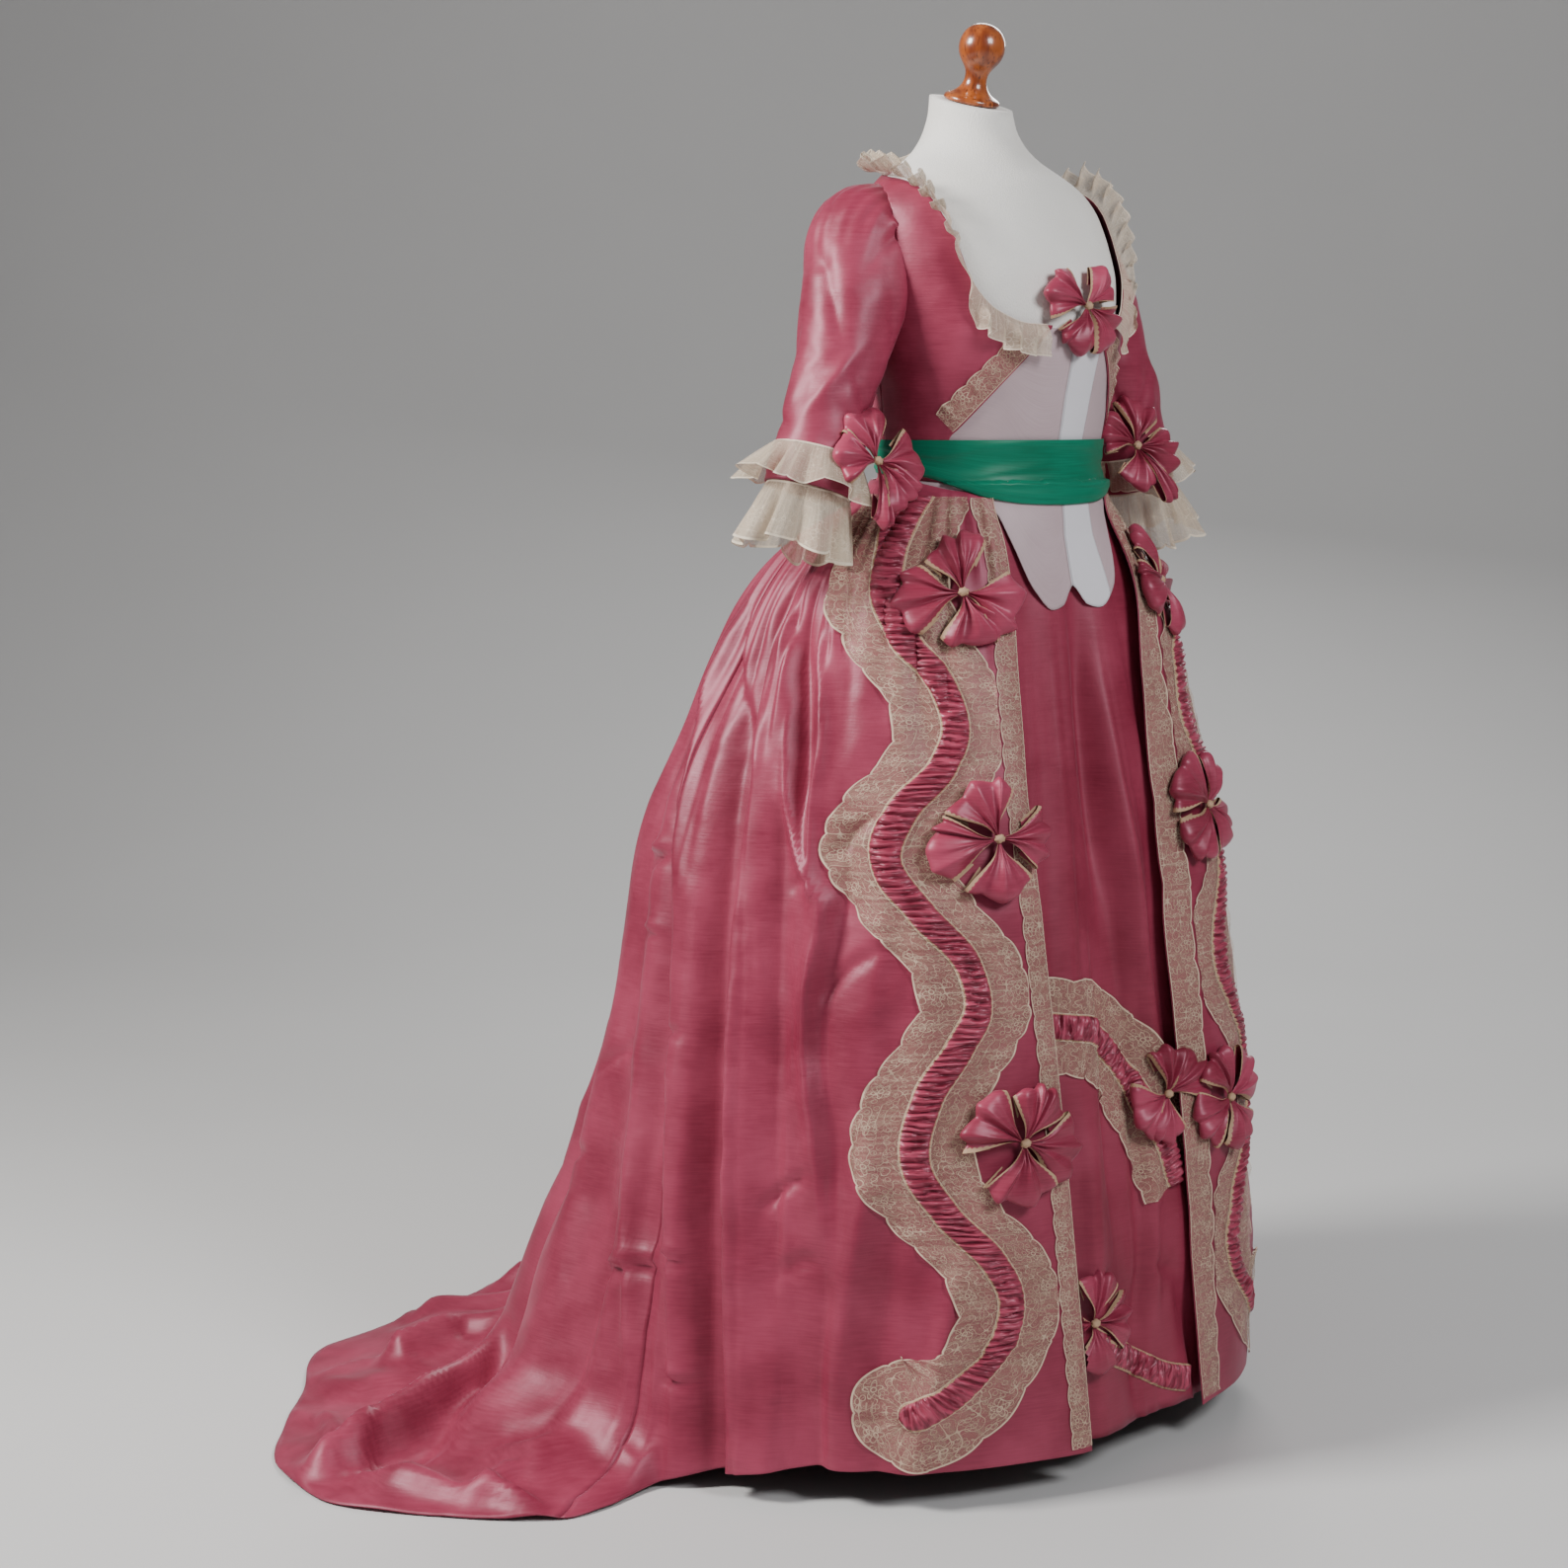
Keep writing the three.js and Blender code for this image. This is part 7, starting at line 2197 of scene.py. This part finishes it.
        right = self.side is Side.RIGHT
        kinds = (
            ("outer", outer, right, length + self.fan, 0.044),
            ("inner", inner, not right, length, 0.036),
        )
        for word, shape, flip, run, width in kinds:
            cloth = Cloth().patch(int(run / 2.0), 12, shape, (run / 40.0, 1.0), flip=flip)
            piece = cloth.finish(f"lace_{word}_{self.side.word}_cloth", finishes.lace)
            cut = Cut(run * MM * 1.2, width, Held.GATHERED)
            settle(piece, f"lace_{word}_{self.side.word}", cut)

    def edge_lace(self, finishes: Finishes) -> None:
        """Build the straight lace along the gown's front edge."""

        def shape(u: Array, v: Array) -> Array:
            """The lace, from the gown's edge outwards."""
            z = mix(self.edge_top, self.edge_bottom, u)
            along = self.edge_top - z
            lift = 0.8 + 0.55 * (ruffle_height(along, v, 135) - 1.0)
            return on_gown(front_angle(self.side, mix(0.5, self.edge_wide, v), z), z, lift)

        right = self.side is Side.RIGHT
        chosen = finishes.narrow_lace if right else finishes.lace
        repeats = (self.edge_top - self.edge_bottom) / (26.0 if right else 40.0)
        cloth = Cloth().patch(420, 10, shape, (repeats, 1.0), flip=right)
        piece = cloth.finish(f"edge_lace_{self.side.word}_cloth", chosen)
        cut = Cut(1.08, self.edge_wide * MM, Held.HUNG)
        settle(piece, f"edge_lace_{self.side.word}", cut)

    def build(self, finishes: Finishes) -> None:
        """Build the whole trim of this front."""
        self.ruched(finishes)
        self.laces(finishes)
        self.edge_lace(finishes)
        word = self.side.word
        for number, (angle, z, turns) in enumerate(self.bows, start=1):
            place = bow_on(skirt_radius, self.side.value * angle, z, 4.0)
            seed = 140 + 9 * number + self.side.value
            bow = Bow(f"gown_bow_{word}_{number}", f"bow_gown_{word}_{number}", turns, seed=seed)
            bow.build(place, finishes)


# ---------------------------------------------------------------- studio


@dataclass
class Studio:
    """The camera, the lights and the floor."""

    eye: tuple[float, float, float] = (-2263.0, -2263.0, 1150.0)
    lens: float = 64.3
    pan: float = -140.9
    fall: float = 249.9
    focal: float = 2800.0
    shift: tuple[float, float] = (-0.04, -0.08)
    sweep_start: float = 2.6
    sweep: float = 2.6
    diagonal: float = 0.7071

    def camera(self) -> None:
        """Set up the camera: from the front right, a little above the middle, looking slightly down."""
        forward = Vector((1.0, 1.0, 0.0)).normalized()
        right = Vector((1.0, -1.0, 0.0)).normalized()
        aim = forward * self.focal + right * self.pan - Vector((0, 0, 1)) * self.fall
        data = bpy.data.cameras.new("camera")
        data.lens = self.lens
        data.sensor_width = 36.0
        data.shift_x = self.shift[0]
        data.shift_y = self.shift[1]
        camera = placed("camera", data)
        camera.location = Vector(self.eye) * MM
        camera.rotation_euler = aim.to_track_quat("-Z", "Y").to_euler()
        bpy.context.scene.camera = camera

    def light(self, name: str, place: Colour, size: float, power: float, tint: Colour) -> None:
        """Add a square soft light that points at the gown.

        Args:
            name: its name.
            place: where it is, in metres.
            size: its side in metres.
            power: its power in watts.
            tint: its colour.
        """
        data = bpy.data.lights.new(name, "AREA")
        data.size = size
        data.energy = power
        data.color = tint
        lamp = placed(name, data)
        lamp.location = place
        lamp.rotation_euler = (Vector((0.0, 0.0, 1.2)) - Vector(place)).to_track_quat("-Z", "Y").to_euler()

    def floor(self, finishes: Finishes) -> None:
        """Lay the floor, which sweeps up into a wall far behind the gown."""
        bm = bmesh.new()
        bmesh.ops.create_grid(bm, x_segments=1, y_segments=90, size=12.0)
        for vert in bm.verts:
            beside, run = vert.co[:2]
            round_way = min(max(run - self.sweep_start, 0.0) / self.sweep, math.pi / 2)
            past = max(run - self.sweep_start - self.sweep * math.pi / 2, 0.0)
            back = min(run, self.sweep_start) + self.sweep * math.sin(round_way)
            rise = self.sweep * (1 - math.cos(round_way)) + past
            wide = beside * 1.5
            vert.co = Vector(((wide + back) * self.diagonal, (back - wide) * self.diagonal, rise))
        for face in bm.faces:
            face.smooth = True
        mesh_piece("floor", bm, finishes.floor)

    def world(self) -> None:
        """Surround the scene with a pale even light."""
        world = bpy.data.worlds.new("studio")
        world.use_nodes = True
        back = world.node_tree.nodes["Background"]
        back.inputs["Color"].default_value = (0.92, 0.92, 0.94, 1.0)
        back.inputs["Strength"].default_value = 0.2
        bpy.context.scene.world = world

    def build(self, finishes: Finishes) -> None:
        """Set up the studio."""
        self.camera()
        self.light("key", (-2.4, 0.9, 2.6), 0.8, 150.0, (1.0, 0.985, 0.96))
        self.light("front", (-0.1, -2.8, 2.6), 1.0, 78.0, (0.97, 0.98, 1.0))
        self.light("back", (3.0, 2.2, 2.8), 1.6, 70.0, (1.0, 1.0, 1.0))
        self.floor(finishes)
        self.world()


def main() -> None:
    """Build every sub-assembly in order."""
    logging.basicConfig(level=logging.INFO, format="%(name)s: %(message)s")
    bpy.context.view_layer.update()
    finishes = Finishes()
    Studio().build(finishes)
    DressForm().build(finishes)
    Petticoat().build(finishes)
    GownSkirt().build(finishes)
    right_bows = (
        (53.0, 952.0, (104.0, 190.0, -16.0, -72.0)), (42.5, 695.0, (112.0, 190.0, -4.0, -86.0)),
        (37.5, 379.0, (146.0, 64.0, -18.0, -94.0)),
    )
    left_bows = (
        (53.0, 952.0, (98.0, 8.0, 188.0, -80.0)), (41.0, 700.0, (140.0, 50.0, -40.0, 230.0)),
        (33.0, 372.0, (110.0, 20.0, 200.0, -70.0)),
    )
    FrontTrim(Side.RIGHT, 28.0, right_bows).build(finishes)
    FrontTrim(Side.LEFT, 44.0, left_bows).build(finishes)
    Upper().build(finishes)
    for side in Side:
        Sleeve(side).build(finishes)


if __name__ == "__main__":
    main()
